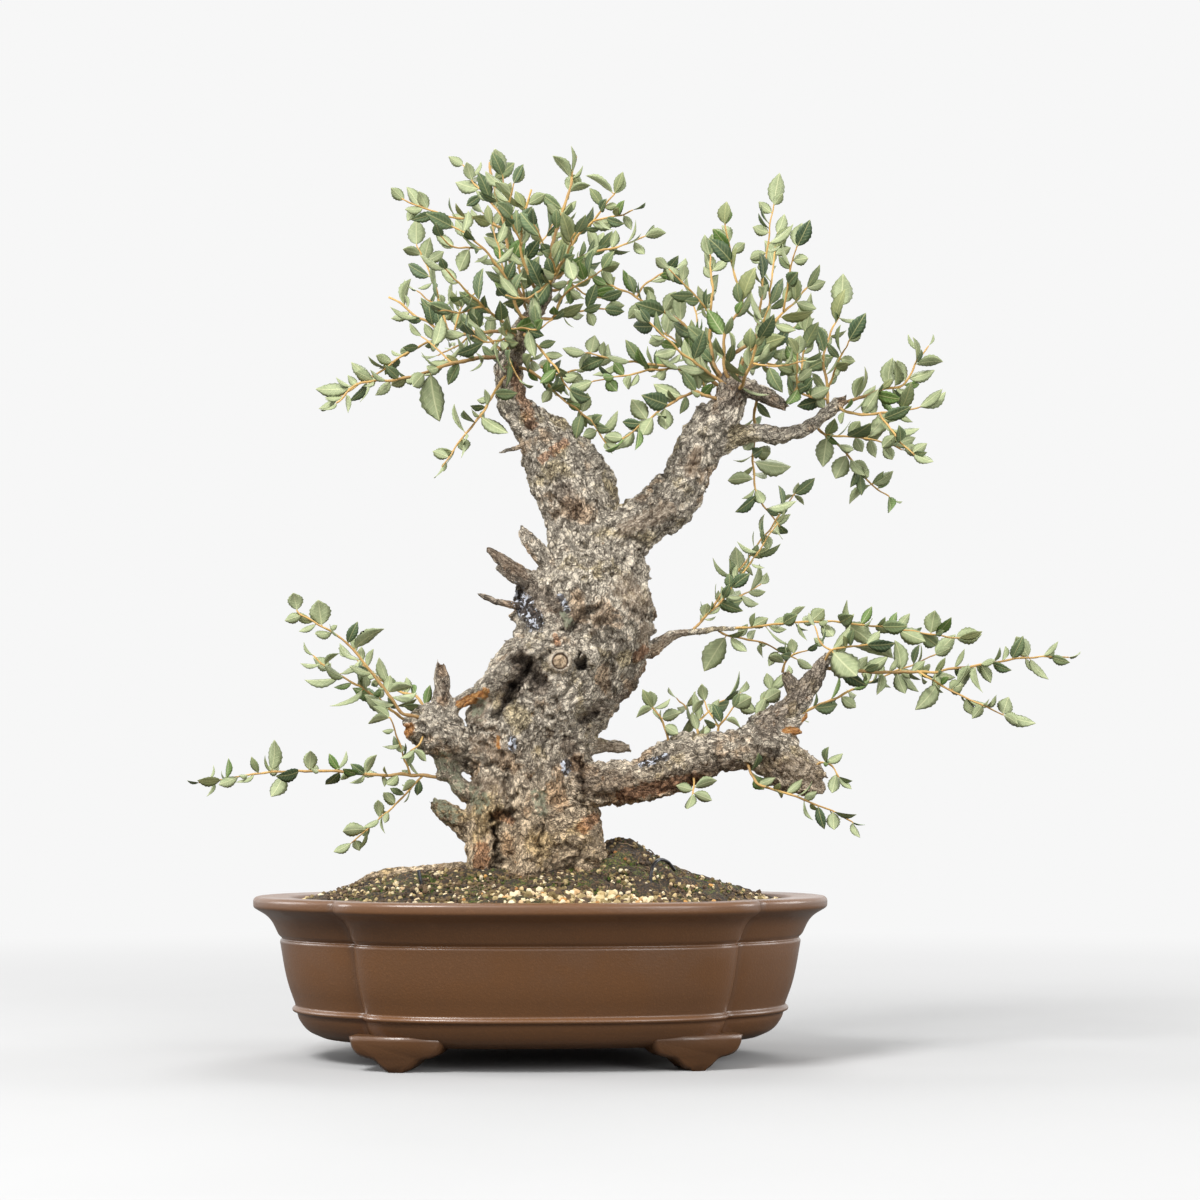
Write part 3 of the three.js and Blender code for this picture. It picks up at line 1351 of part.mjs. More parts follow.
// Every spray with its shoots' paths and its leaves, none of which meets another piece.
function laidOutSprays() {
  const balls = limbBalls();
  const sprays = Object.entries(SPRAYS).map(([name, shoots]) => {
    const paths = [];
    for (const shoot of shoots) paths.push(shootPath(shoot, paths));
    return { name, shoots, paths, leaves: [] };
  });
  const twigs = sprays.flatMap((spray) =>
    spray.paths.flatMap((path) => twigBoxes(path).map((box) => ({ box, spray }))),
  );
  const taken = [];
  const fits = (leaf, box, spray) =>
    balls.every((ball) => leaf.base.distanceTo(ball.centre) > ball.r + 1.5) &&
    balls.every((ball) => clearOfBall(box, ball)) &&
    taken.every((other) => apart(box, other)) &&
    twigs.every((twig) => twig.spray === spray || apart(box, twig.box));
  const place = (choices, spray) => {
    for (const leaf of choices) {
      const box = leafBox(leaf);
      if (!fits(leaf, box, spray)) continue;
      taken.push(box);
      spray.leaves.push(leaf);
      return;
    }
  };
  sprays.forEach((spray, s) => {
    spray.shoots.forEach((shoot, k) => {
      (shoot.leaves ?? []).forEach((read, i) => {
        const number = 100 * s + 20 * k + i;
        const first = chance(number, 12) < 0.5 ? -1 : 1;
        const tilts = [0.25, -0.25, 0.6, -0.6, 0.95, -0.95].map((tilt) => first * tilt);
        const choices = tilts.map((tilt) => listedLeaf(read, [spray.paths[k]], tilt, number));
        place(choices, spray);
      });
    });
  });
  sprays.forEach((spray, s) => {
    spray.shoots.forEach((shoot, k) => {
      if (shoot.fill === 0) return;
      for (let n = shoot.cut ? 1 : 0; n < 20; n++) {
        const number = 100 * s + 20 * k;
        const turns = [0, 1, 2, 3, 4, 5, 6, 7, 8].map((turn) => (turn * 2 * Math.PI) / 9);
        const choices = turns.map((turn) => fillLeaf(spray.paths[k], shoot, n, turn, number));
        if (choices[0] === null) break;
        place(choices, spray);
      }
    });
  });
  return sprays;
}

function spraySolid(spray, wood) {
  const parts = [...spray.paths.map(shootSolid), ...spray.leaves.map(leafSolid)];
  return joined(parts).subtract(wood);
}

// The pieces

const grownTree = treeSolid(GAP);
const wireChannel = wireSolid(WIRE_RADIUS + GAP);
const screenPockets = [screenSolid(-DRAIN_X, GAP), screenSolid(DRAIN_X, GAP)];

addPiece("pot", potSolid(), STONEWARE);
addPiece("drain_screen_left", screenSolid(-DRAIN_X), MESH_PLASTIC);
addPiece("drain_screen_right", screenSolid(DRAIN_X), MESH_PLASTIC);
addPiece("tie_wire", wireSolid(WIRE_RADIUS), WIRE);
addPiece("soil", soilSolid([grownTree, wireChannel, ...screenPockets]), SOIL);
addPiece("tree", treeSolid(), BARK);
for (const spray of laidOutSprays()) addPiece(spray.name, spraySolid(spray, grownTree), LEAF);

// The part's origin is the middle of its base.
const bounds = new THREE.Box3().setFromObject(potFrame);
const middle = bounds.getCenter(new THREE.Vector3());
potFrame.position.set(-middle.x, -middle.y, -bounds.min.z);

export default group;
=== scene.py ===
"""Cork oak bonsai in a four-lobed stoneware tray, dressed over its solid model.

Metres, +Z up, the front is towards -Y. The tree is given in millimetres, as seen from the front
in the upright plane through the pot's centre, with how deep behind that plane each point lies.
"""
import math

import bmesh
import bpy
import numpy as np
from bpy.props import FloatProperty, FloatVectorProperty, IntProperty, PointerProperty
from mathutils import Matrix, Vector, kdtree, noise


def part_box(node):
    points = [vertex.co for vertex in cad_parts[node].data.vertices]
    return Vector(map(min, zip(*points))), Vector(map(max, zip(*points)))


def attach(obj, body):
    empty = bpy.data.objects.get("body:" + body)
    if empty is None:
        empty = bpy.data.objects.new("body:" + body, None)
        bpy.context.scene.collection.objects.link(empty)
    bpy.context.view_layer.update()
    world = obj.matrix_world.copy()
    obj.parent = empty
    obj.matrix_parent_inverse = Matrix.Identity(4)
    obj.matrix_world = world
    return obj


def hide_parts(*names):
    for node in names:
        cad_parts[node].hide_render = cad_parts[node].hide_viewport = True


bl_info = {
    "name": "Cork Oak Bonsai",
    "version": (1, 0, 0),
    "blender": (4, 5, 0),
    "location": "View3D > Sidebar > Bonsai",
    "description": "Dresses a cork oak bonsai in its tray with bark, leaves, grit and glaze",
    "category": "Add Mesh",
}

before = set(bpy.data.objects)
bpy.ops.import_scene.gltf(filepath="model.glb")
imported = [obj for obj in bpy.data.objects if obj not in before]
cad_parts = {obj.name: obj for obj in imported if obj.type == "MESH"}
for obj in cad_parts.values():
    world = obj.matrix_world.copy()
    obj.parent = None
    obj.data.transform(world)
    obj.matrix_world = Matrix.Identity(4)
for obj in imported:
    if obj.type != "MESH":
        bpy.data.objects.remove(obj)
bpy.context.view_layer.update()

MM = 0.001
POT_LOW, POT_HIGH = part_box("pot")
POT_CENTRE = Vector(((POT_LOW[0] + POT_HIGH[0]) / 2, (POT_LOW[1] + POT_HIGH[1]) / 2, 0))

# Unseeded, the drift of the noise starts from the clock.
NOISE_SEED = 5
noise.seed_set(NOISE_SEED)

# Pot, in millimetres
POT_WIDTH = 420
POT_DEPTH = 330
NOTCH_X = 148
NOTCH_Y = 110
FRONT_LOBE_SQUARENESS = 2.6
POT_TURN = math.radians(3.5)
FOOT_X = 101
FOOT_Y = 98
FOOT_DEPTH = 30
FOOT_SPLAY = math.radians(14)

# Soil, in millimetres
SOIL_SIDE = [(49.6, 27), (31, 100)]  # (drawn in from the rim, height), up the side
SOIL_EDGE_INSET = 28.7
LOOSE_INSET = 30.5  # how far in from the rim what lies loose on the soil stays
SOIL_EDGE_HEIGHT = 112
MOUND_RISE = 27
CREST = (60, 14, 30, 42, 20)  # middle, half widths and height of the mound's crest
SOIL_ROWS = 64
SOIL_SEED = 11
MOSS_SPOTS = 9000
ROOT_SPOTS = 300

# Tree and leaves, in millimetres
EYE = (43, -1920, 181)
LEAF_PROPORTION = 0.56
SOLID_LEAF_PITCH = 60  # between the leaves along a shoot of the solid model
BLADE_THICKNESS = 0.62
TIP_SPARE = 0.8
LEAF_DIVERGENCE = math.radians(137.5)
LEAF_SPREAD = math.radians(52)
TILTS = (0.25, 0.6, 0.95)  # how steeply a leaf leans back or forward, tried in turn
FILL_TURNS = 9  # turns round its shoot that a leaf tries
MOST_LEAVES = 60

# Stage, in metres
FLOOR_HALF = 30.0
AIM = Vector((0, 0, 0.32))
LIGHTS = {  # place, width, power
    "key_light": ((-1.2, -1.7, 2.4), 1.1, 100.0),
    "fill_light": ((1.5, -2.3, 1.1), 1.6, 40.0),
    "left_light": ((-2.4, 0.5, 1.0), 1.2, 28.0),
    "right_light": ((2.4, 0.5, 1.0), 1.2, 28.0),
    "back_light": ((0.3, 1.6, 2.3), 1.4, 32.0),
}
LENS = 78
SENSOR = 36
CAMERA_TILT = math.radians(4.574)  # how far above the level the camera looks
CLIP = (0.05, 60)


# Space

def place(p):
    """A point in the pot's own millimetres, in the frame's metres."""
    return (POT_CENTRE.x + p[0] * MM, POT_CENTRE.y + p[1] * MM, p[2] * MM)


def seen(x, z, deep):
    """The point that lies so deep and looks to be at x, z from the front."""
    s = (deep - EYE[1]) / -EYE[1]
    return np.array((EYE[0] + (x - EYE[0]) * s, deep, EYE[2] + (z - EYE[2]) * s))


def chance(a, b=0, c=0, d=0):
    """A steady number from 0 to 1 for each set of whole numbers."""
    s = math.sin(a * 12.9898 + b * 78.233 + c * 37.719 + d * 9.131 + 4.1) * 43758.5453
    return s - math.floor(s)


def unit(v):
    return v / math.sqrt(v @ v)


def smooth_step(low, high, x):
    t = min(1.0, max(0.0, (x - low) / (high - low)))
    return t * t * (3 - 2 * t)


def curve_point(points, t):
    """A point of the smooth curve through all the points, at a share t of its legs."""
    legs = len(points) - 1
    x = min(max(t, 0.0), 1.0) * legs
    i = min(int(x), legs - 1)
    u = x - i
    b, c = points[i], points[i + 1]
    a = points[i - 1] if i > 0 else 2 * b - c
    d = points[i + 2] if i + 2 <= legs else 2 * c - b
    return 0.5 * (2 * b + (c - a) * u + (2 * a - 5 * b + 4 * c - d) * u * u
                  + (3 * b - a - 3 * c + d) * u ** 3)


def turned(x, y, z):
    c, s = math.cos(POT_TURN), math.sin(POT_TURN)
    return (c * x - s * y, s * x + c * y, z)


# Mesh pieces

def new_piece(name, vertices, faces, material, nodes=(), smooth=True):
    """A mesh piece that rides on the part and stands for some of its solid nodes."""
    mesh = bpy.data.meshes.new(name)
    mesh.from_pydata(vertices, [], faces)
    mesh.polygons.foreach_set("use_smooth", [smooth] * len(mesh.polygons))
    mesh.materials.append(material)
    piece = bpy.data.objects.new(name, mesh)
    bpy.context.scene.collection.objects.link(piece)
    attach(piece, "root")
    if nodes:
        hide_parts(*nodes)
    return piece


def tube_faces(rows, count, start=0):
    """Faces of a tube of rows rings with count points each, with one face over each end."""
    faces = []
    for r in range(rows - 1):
        for i in range(count):
            a = start + r * count + i
            b = start + r * count + (i + 1) % count
            faces.append((a, b, b + count, a + count))
    faces.append(tuple(start + i for i in reversed(range(count))))
    faces.append(tuple(start + (rows - 1) * count + i for i in range(count)))
    return faces


def add_body(vertices, faces, body, body_faces):
    """Adds a closed body to the vertices and faces of a piece."""
    start = len(vertices)
    vertices += body
    faces += [[start + i for i in face] for face in body_faces]


def ring_axes(along):
    """Two directions square to the way along a limb or twig."""
    back = unit(np.array((0.0, 1.0, 0.0)) - along * along[1])
    return np.cross(back, along), back


# Pot profile: (drawn in from the rim, height), up the outside and down the inside
POT_OUTSIDE = [
    (50, 16), (39.5, 20.5), (33.5, 29), (32.5, 33.5), (29, 34.8), (29, 37), (31.5, 38.5), (24.5, 57),
    (19.5, 85.5), (21.5, 87), (18.5, 89.5), (12.5, 102), (1.2, 108.6), (0, 110), (0, 115), (2, 117)]
POT_INSIDE = [(26, 116.6), (28, 114.4), (36, 60), (50, 26)]

# Tie wire, from end to end
WIRE_ROUTE = [
    (-86, -62, 137), (-84, -61, 126), (-81, -55, 104), (-75, -26, 62), turned(-70, 0, 30),
    turned(-69, 0, 20), turned(-63, 0, 13.9), turned(-50, 0, 13.6), turned(50, 0, 13.6),
    turned(63, 0, 13.9), turned(69, 0, 20), turned(70, 0, 30), (75, -26, 66), (79, -59, 112),
    (79, -60, 130), (81, -55, 140), (86, -46, 144), (92, -36, 142), (97, -27, 136)]
WIRE_RADIUS = 1.25

# Limbs of the tree, thickest end first: (x, z, how deep, radius) as seen from the front
LIMBS = {
    "trunk": [
        (-2, 92, 0, 38), (-2, 112, 0, 47), (-2, 135, 0, 49), (-2, 150, 0, 49), (-5, 165, 0, 48),
        (-10, 180, 0, 45), (-9, 200, 0, 43), (-9, 220, 1, 43), (-8, 240, 2, 46), (3, 262, 2, 46.5),
        (13, 274, 2, 46.5), (21, 287, 3, 47), (28, 302, 3, 48.5), (32, 320, 3, 51), (35, 336, 3, 50),
        (38, 352, 4, 42), (39, 366, 4, 36), (38, 380, 5, 28)],
    "left_column": [
        (-43, 96, -8, 9), (-44.5, 140, -10, 10.5), (-44, 160, -9, 11), (-42, 180, -6, 12),
        (-36, 196, -2, 9)],
    "base_burl": [
        (6, 147, -20, 12), (19, 151, -23, 20), (32, 152, -20, 20.5), (43, 151, -14, 11)],
    "front_root": [
        (-2, 150, -34, 12), (-10, 136, -42, 9), (-16, 122, -50, 5)],
    "limb_a": [
        (37, 352, 4, 30), (33, 380, 6, 28), (29, 400, 8, 28), (23, 416, 9, 29), (18, 430, 10, 29),
        (13, 443, 10, 24), (9, 452, 10, 13)],
    "shoulder_a": [
        (18, 424, 10, 20), (31, 432, 9, 14), (40, 437, 8, 9.5)],
    "crook_a": [
        (14, 436, 10, 26), (1, 454, 9, 20), (-12, 468, 8, 14.5), (-22, 480, 7, 11),
        (-24.5, 492, 7, 10), (-25, 505, 7, 10), (-21.5, 520, 8, 9.5), (-17, 533, 9, 8),
        (-9, 544, 10, 6.8), (-3, 554, 11, 6), (1, 565, 11, 5.5), (3.5, 575, 10, 5.2), (5, 585, 9, 5)],
    "limb_b": [
        (46, 372, 4, 26), (62, 384, 2, 22), (77, 394, 0, 18.5), (91, 404.5, -2, 18.7),
        (103.5, 418, -4, 17.5), (110, 434, -5, 15.5), (115, 447, -6, 15), (121, 459, -6, 14.5),
        (128, 467, -7, 13.2), (136, 475, -8, 11.3), (140, 485, -9, 10), (141, 495, -9, 9.5),
        (140, 503, -9, 6)],
    "broken_b": [
        (141, 492, -9, 9), (150, 494.5, -10, 7), (158, 491, -11, 6.4), (167, 487.5, -12, 5.8),
        (175, 482.5, -13, 5), (181.5, 477.5, -14, 3.8)],
    "arm_b": [
        (117, 445, -6, 12.5), (128, 449, -4, 10), (138, 453.5, -3, 8.5), (150, 458.5, -2, 7.3),
        (163, 459.5, -1, 6.3), (173, 457, 0, 6.6), (183, 458.5, 0, 5.4), (193, 461.5, 1, 4.8),
        (203, 467, 2, 4.6), (211, 473.5, 3, 4.6), (218, 479, 4, 5), (225, 484, 5, 4.6)],
    "limb_c": [
        (8, 198, -6, 20), (35, 197.5, -12, 17), (50, 199, -14, 16.3), (65, 201, -16, 15.5),
        (79, 201.5, -18, 15), (92, 209, -19, 19), (104, 216, -20, 18.3), (117, 219, -21, 17),
        (130, 223, -22, 15.2), (145, 224.5, -23, 15), (158, 226.5, -24, 19), (168, 225, -25, 20),
        (178, 215, -27, 16.8), (189, 207.5, -28, 15.6), (199, 201, -30, 13.3), (206.5, 197, -31, 9)],
    "rise_c": [
        (158, 234, -24, 12), (173, 246, -24, 10), (183, 253.5, -23, 8.8), (190, 262, -22, 8.6),
        (196.5, 271, -21, 7.6), (203, 279.5, -20, 6.2), (208, 287.5, -19, 4.8), (212, 295, -18, 3.2)],
    "spur_c": [
        (190, 262, -22, 6), (184, 272, -24, 5.2), (178, 283.5, -26, 4.6)],
    "broken_c": [
        (172, 242, -27, 5), (186, 243.5, -31, 4), (192, 246, -33, 3), (196, 251, -34, 1.6)],
    "torn_c": [
        (174, 238, -28, 5), (182, 237.5, -31, 3.4), (192, 237, -34, 2)],
    "limb_d": [
        (68, 297, 5, 10), (81, 298, 8, 6.5), (89, 303, 10, 5), (95, 308, 12, 4.2), (104, 310, 14, 3),
        (116, 311.5, 17, 2.4), (132, 313.3, 20, 2), (150, 314, 24, 1.7)],
    "stub_right": [
        (28, 226, 2, 8), (45, 226.5, 4, 5.2), (66, 225, 7, 4.2)],
    "knob": [
        (-42, 219, -4, 15), (-60, 226, -8, 15), (-74, 234.5, -14, 17.5), (-84, 239, -19, 19),
        (-92, 239.5, -24, 14), (-99, 238.5, -29, 8.5)],
    "knob_horn": [
        (-76, 246, -14, 9), (-73.5, 264, -13, 6.4), (-74, 277, -12, 5.6), (-74, 288, -12, 4.4)],
    "knob_splinter": [
        (-72, 250, -14, 7), (-62, 257.5, -9, 5.5), (-50, 265, -4, 5.2), (-32, 270, 2, 7)],
    "strap": [
        (4, 302, -30, 5), (-8, 296, -34, 7.5), (-20, 288, -30, 9), (-32, 277, -25, 9.5),
        (-43, 266, -18, 9), (-52, 258, -11, 8)],
    "knob_arm": [
        (-74, 224, -14, 8), (-71, 212, -13, 6.5), (-66, 204, -11, 6), (-58, 195, -8, 7),
        (-44, 186, -4, 8)],
    "knob_spur": [
        (-66, 206, -11, 5), (-72, 204, -12, 4.2), (-78, 204, -14, 3)],
    "stub_low_left": [
        (-46, 164, -4, 12), (-62, 173, -8, 8.8), (-72, 179.5, -11, 7.3), (-80.5, 185, -13, 6)],
    "finger": [
        (16, 350, -6, 9), (7, 359, -9, 8), (0, 367, -11, 7), (-6.5, 375, -13, 6.3), (-12, 382, -14, 6),
        (-17, 389, -15, 5.2)],
    "jin": [
        (4, 342, -8, 7), (-10, 351, -12, 5.5), (-20, 357.5, -14, 5), (-30, 364.5, -16, 4.4),
        (-40, 372.5, -18, 3)],
    "jin_splinter": [
        (-6, 343, -11, 4), (-22, 350.5, -14, 3), (-34, 358, -16, 1.4)],
    "thin_stub": [
        (-4, 326, -4, 5), (-20, 330.5, -10, 3.2), (-30, 332.5, -13, 2.7), (-39, 335.5, -15, 2.4),
        (-47.5, 339, -17, 1.9)],
    "twig_stub": [
        (-10, 451, 2, 3), (-24, 447, -6, 1.7), (-33, 444, -9, 1.2)],
    "front_knob": [
        (34, 292, -30, 9), (38, 291, -44, 6.5)],
    "root_left": [
        (-40, 134, 2, 9), (-66, 136, 4, 5.5), (-88, 134.5, 6, 4.6), (-108, 133, 9, 4),
        (-126, 130, 12, 3.4), (-142, 119, 15, 2.4)],
    "root_pale": [
        (-16, 135, -36, 3), (-27, 129.5, -47, 2), (-38, 124.5, -58, 1.8), (-50, 119, -69, 1.3)],
    "root_right": [
        (34, 136, -26, 8), (30, 130, -40, 5), (24, 121, -50, 3)],
}

# (depth over width, ruggedness) of the limbs that aren't round and plain
LIMB_BUILD = {"trunk": (0.8, 0.045), "limb_a": (0.88, 0.05), "limb_b": (0.92, 0.06),
              "base_burl": (0.8, 0.08)}
USUAL_BUILD = (0.95, 0.08)


def shoot(start_radius, end_radius, fill, at, leaves=(), more=(), cut=False):
    """A shoot, with the usual length of the leaves that fill it and whether its tip is pruned.

    It runs through [x, z] as seen from the front, with a third number where its depth is given. Leaves
    are [x0, z0, x1, z1, width] from base to tip; the solid model has them too, but not those of "more".
    """
    return {"r": (start_radius, end_radius), "fill": fill, "at": at, "leaves": leaves, "more": more,
            "cut": cut}


# Every later shoot of a spray forks from an earlier one.
SPRAYS = {
  "spray_left_low": [
    shoot(2.2, 0.9, 12, [[-73, 204, -12], [-100, 205.5], [-120, 205.5], [-153, 208], [-188, 208],
      [-211, 206], [-234, 202], [-252, 199.5, -30]], leaves=[[-199, 211, -195, 232, 11.5],
      [-188.5, 207, -199.5, 187, 12], [-170.5, 209, -170, 225, 10.5]], more=[[-152, 211, -142, 222, 4],
      [-136, 208, -148, 202, 5], [-129, 211, -122, 222, 6], [-117, 204, -114, 197, 4],
      [-212, 207, -226, 198, 4], [-234, 204, -230, 218, 6], [-247, 202, -240, 212, 2],
      [-241, 200, -245, 188, 4]]),
    shoot(1.3, 0.8, 11, [[-88, 204.5], [-100, 191], [-120, 172], [-139.5, 156, -2]],
      leaves=[[-128, 165, -148.5, 164.5, 10.5], [-138, 157.5, -134.5, 149, 7.5]],
      more=[[-92, 200, -104, 193, 6], [-110, 186, -117, 193, 8], [-120, 174, -120, 188, 8],
      [-110, 178, -115, 171, 5], [-120, 173, -132, 165, 5]]),
    shoot(1.3, 0.8, 11, [[-97, 206], [-105.5, 229.5], [-112.5, 247.5, -40]],
      leaves=[[-111, 251, -124.5, 255.5, 7.5]], more=[[-104, 229, -104, 222, 7], [-107, 227, -118, 225, 4],
      [-108, 238, -118, 236, 4], [-113, 248, -130, 244, 6]]),
  ],
  "spray_knob_sprig": [
    shoot(1.2, 0.8, 0, [[-88, 233, -30], [-91, 227, -40], [-96, 223, -45]], more=[[-99, 226, -84, 215, 6],
      [-93, 226, -104, 216, 5]]),
  ],
  "spray_left_mid": [
    shoot(1.9, 0.9, 13, [[-92, 243, -22], [-105.5, 248.5, -18], [-120, 260.5], [-139.5, 274],
      [-157.5, 283.5], [-169, 293, -4]], leaves=[[-129.5, 269, -131.5, 279, 10]],
      more=[[-134, 267, -157, 252, 6], [-125, 266, -118, 269, 6], [-149, 277, -176, 273, 7],
      [-150, 279, -127, 292, 6], [-159, 289, -151, 298, 4], [-162, 287, -178, 286, 4],
      [-168, 293, -172, 303, 6]]),
  ],
  "spray_left_high": [
    shoot(2.1, 0.9, 13, [[-88, 247, -24], [-103.5, 251.5, -32], [-117, 270], [-135, 292], [-149, 306],
      [-164, 316], [-177, 322.5], [-181, 327.5, -46]], leaves=[[-162.5, 315, -166, 335.5, 16],
      [-180, 327.5, -183.5, 341.5, 11.5]], more=[[-177, 323, -190, 319, 8], [-158, 306, -167, 306, 4],
      [-158, 310, -151, 315, 4], [-136, 300, -117, 315, 8], [-134, 300, -139, 318, 8],
      [-113, 265, -94, 272, 7], [-112, 263, -91, 263, 6], [-113, 266, -112, 279, 8]]),
  ],
  "spray_left_back": [
    shoot(1.9, 0.9, 14, [[-80, 249, -15], [-92, 262, 6], [-108, 268], [-124, 280], [-140, 292, 44]]),
  ],
  "spray_a_west": [
    shoot(2.7, 1, 15, [[-22, 518, 7], [-46, 515.5], [-70, 511], [-101, 501], [-125, 498], [-139, 495],
      [-153, 482, -38]], leaves=[[-82.5, 503, -76.5, 467, 18]], more=[[-153, 482, -164, 476, 5],
      [-150, 487, -163, 484, 5], [-147, 490, -143, 474, 5], [-125, 498, -140, 506, 9],
      [-113, 499, -124, 487, 8]]),
    shoot(1.3, 0.8, 14, [[-67, 512], [-76, 520], [-90, 532, 10]]),
  ],
  "spray_a_reach": [
    shoot(2.4, 1.2, 15, [[-15, 536, 8], [-40, 536], [-70, 533], [-87, 543], [-114.5, 562, 40]],
      more=[[-98, 550, -112, 544, 8], [-104, 554, -103, 540, 8]], cut=True),
    shoot(1.6, 0.9, 14, [[-70, 533], [-98, 521.5], [-120.5, 506], [-137, 496], [-153.5, 485, 26]],
      more=[[-112, 512, -126, 517, 8], [-128, 501, -143, 512, 9]]),
    shoot(1.5, 0.9, 15, [[-70, 534], [-78, 563], [-85.5, 582], [-94, 601, 50]],
      leaves=[[-94, 602, -95, 621, 14]], more=[[-88, 588, -74, 597, 9], [-91, 594, -106, 600, 7]]),
    shoot(1.3, 0.8, 14, [[-66, 534], [-59.5, 555.5], [-49.5, 566, 18]]),
  ],
  "spray_a_fan": [
    shoot(2.2, 0.9, 15, [[-10, 545, 6], [-18, 550], [-26, 572.5], [-36.5, 589.5], [-53.5, 606.5],
      [-67, 615, -34]], leaves=[[-67, 615, -81, 622, 8]], more=[[-60, 611, -56, 627, 8]]),
    shoot(1.4, 0.8, 14, [[-26, 572.5], [-32, 594], [-37.5, 616, -4]]),
    shoot(1.3, 0.8, 14, [[-45, 598], [-67, 600.5], [-76, 608, -54]]),
  ],
  "spray_a_crest": [
    shoot(2.5, 1.7, 15, [[-3, 555, 13], [-16, 563, 17], [-24, 585], [-29, 616], [-36.5, 647],
      [-40, 664, 44]], cut=True),
    shoot(1.5, 0.9, 14, [[-27, 613], [-46, 621], [-65.5, 622], [-85.5, 628], [-106, 636, 22]],
      leaves=[[-104, 635, -115, 645, 9]], more=[[-85, 628, -92, 643, 9], [-94, 631, -100, 618, 8]]),
    shoot(1.4, 0.8, 14, [[-31, 624], [-46, 641.5], [-60, 662, 60]], leaves=[[-60, 662, -71, 668, 8]],
      more=[[-52, 650, -57, 665, 9]]),
    shoot(1.4, 0.8, 14, [[-30, 618], [-27, 636], [-30.5, 654, 14]], leaves=[[-31, 654, -37, 675, 13]],
      more=[[-28, 645, -44, 656, 9]]),
  ],
  "spray_a_mast": [
    shoot(2.1, 1.1, 14, [[1, 564, 10], [-7, 571], [-16, 595], [-14.5, 620.5], [-8.5, 644, -8]],
      more=[[-12, 631, 3, 640, 9], [-13, 624, -4, 612, 8]], cut=True),
    shoot(1.3, 0.8, 14, [[-17, 600], [-25, 627], [-21.5, 647.5, -36]], leaves=[[-21.5, 647.5, -14, 661, 9]],
      more=[[-23, 640, -33, 650, 6]]),
  ],
  "spray_a_tip": [
    shoot(2.3, 1.3, 14, [[4.5, 580, 10], [6, 596], [12, 616], [18.5, 639], [25, 669, 26]],
      more=[[20, 652, 7, 671, 7], [21, 643, 36, 650, 5], [14, 625, 27, 634, 7], [13, 622, 2, 632, 8],
      [22, 656, 30, 646, 6]], cut=True),
  ],
  "spray_a_east_high": [
    shoot(2, 0.9, 14, [[4, 577, 6], [13.5, 588], [27.5, 610], [40, 621], [53.5, 640.5, -30]],
      leaves=[[53, 640, 62, 652, 7]], more=[[52, 640, 32, 655, 3], [46, 631, 58, 632, 6]]),
    shoot(1.3, 0.8, 13, [[38, 619], [52, 622], [66.5, 627.5, -50]], more=[[66, 627, 80, 630, 6],
      [60, 624, 66, 613, 6]]),
  ],
  "spray_a_east_mid": [
    shoot(2, 0.9, 14, [[3, 572, 12], [13, 579, 17], [29, 592], [52, 599], [76, 608, 50]],
      leaves=[[76, 608, 92, 611, 7]], more=[[68, 605, 76, 593, 8], [52, 599, 56, 613, 8]]),
  ],
  "spray_a_south_east": [
    shoot(2.1, 0.9, 15, [[-7, 546, 11], [8.5, 546], [24.5, 551], [45, 553, 36]],
      leaves=[[45, 553, 60, 556, 8]], more=[[34, 552, 40, 539, 8]]),
    shoot(1.5, 0.8, 14, [[8, 546.5], [16, 563, 6], [29, 573], [45, 582, -20]],
      leaves=[[45, 582, 59, 588, 8]], more=[[36, 578, 48, 571, 7], [29, 573, 27, 587, 9]]),
  ],
  "spray_a_hang_east": [
    shoot(1.9, 0.8, 14, [[-14, 534, 5], [-4, 524.5], [9.5, 508.5], [20, 492, -34]],
      leaves=[[20, 492, 31, 481, 8]], more=[[15, 499, 27, 502, 8], [10, 507, -2, 495, 9]]),
  ],
  "spray_a_hang_long": [
    shoot(1.9, 0.8, 15, [[-21, 510, 5], [-8.5, 506], [6, 494.5], [17.5, 483], [36, 469], [47, 452, -22]],
      leaves=[[46, 456, 55, 456, 9], [50, 450, 66, 446, 9]], more=[[30, 474, 36, 490, 9],
      [36, 478, 43, 466, 8], [43, 460, 58, 476, 9], [42, 461, 30, 456, 9], [18, 483, 32, 478, 8],
      [7, 494, 0, 482, 8]]),
  ],
  "spray_a_hang_west": [
    shoot(1.9, 0.8, 14, [[-27, 503, 2], [-36, 490], [-46, 472.5], [-64, 450], [-74, 434, -32]],
      leaves=[[-46, 471, -25, 458, 11], [-61, 457, -57, 445, 10]], more=[[-57, 461, -67, 482, 4],
      [-42, 480, -42, 494, 5], [-75, 440, -74, 430, 4], [-70, 441, -82, 446, 8], [-74, 434, -80, 424, 5]]),
  ],
  "spray_a_low_east": [
    shoot(1.8, 0.8, 14, [[-19, 522, 12], [-5, 512, 19], [13.5, 504], [40, 511, 44]],
      leaves=[[40, 511, 54, 518, 8]], more=[[18, 504, 32, 494, 9], [28, 508, 36, 522, 9]]),
  ],
  "spray_a_back_west": [
    shoot(2, 0.9, 16, [[-23, 513, 11], [-38, 528, 28], [-58, 546], [-78, 556], [-94, 566, 74]]),
    shoot(1.3, 0.8, 15, [[-48, 538], [-62, 526], [-78, 518, 70]]),
  ],
  "spray_a_back_high": [
    shoot(2, 0.9, 16, [[-10, 542, 14], [-13, 558, 30], [-22, 598], [-44, 626, 76]]),
    shoot(1.3, 0.8, 15, [[-16, 584], [-2, 602], [10, 620, 64]]),
  ],
  "spray_a_back_east": [
    shoot(2, 0.9, 16, [[2, 567, 14], [12, 568, 26], [26, 580], [44, 602, 76]]),
    shoot(1.3, 0.8, 15, [[20, 574], [32, 564], [46, 560, 66]]),
  ],
  "spray_a_front_west": [
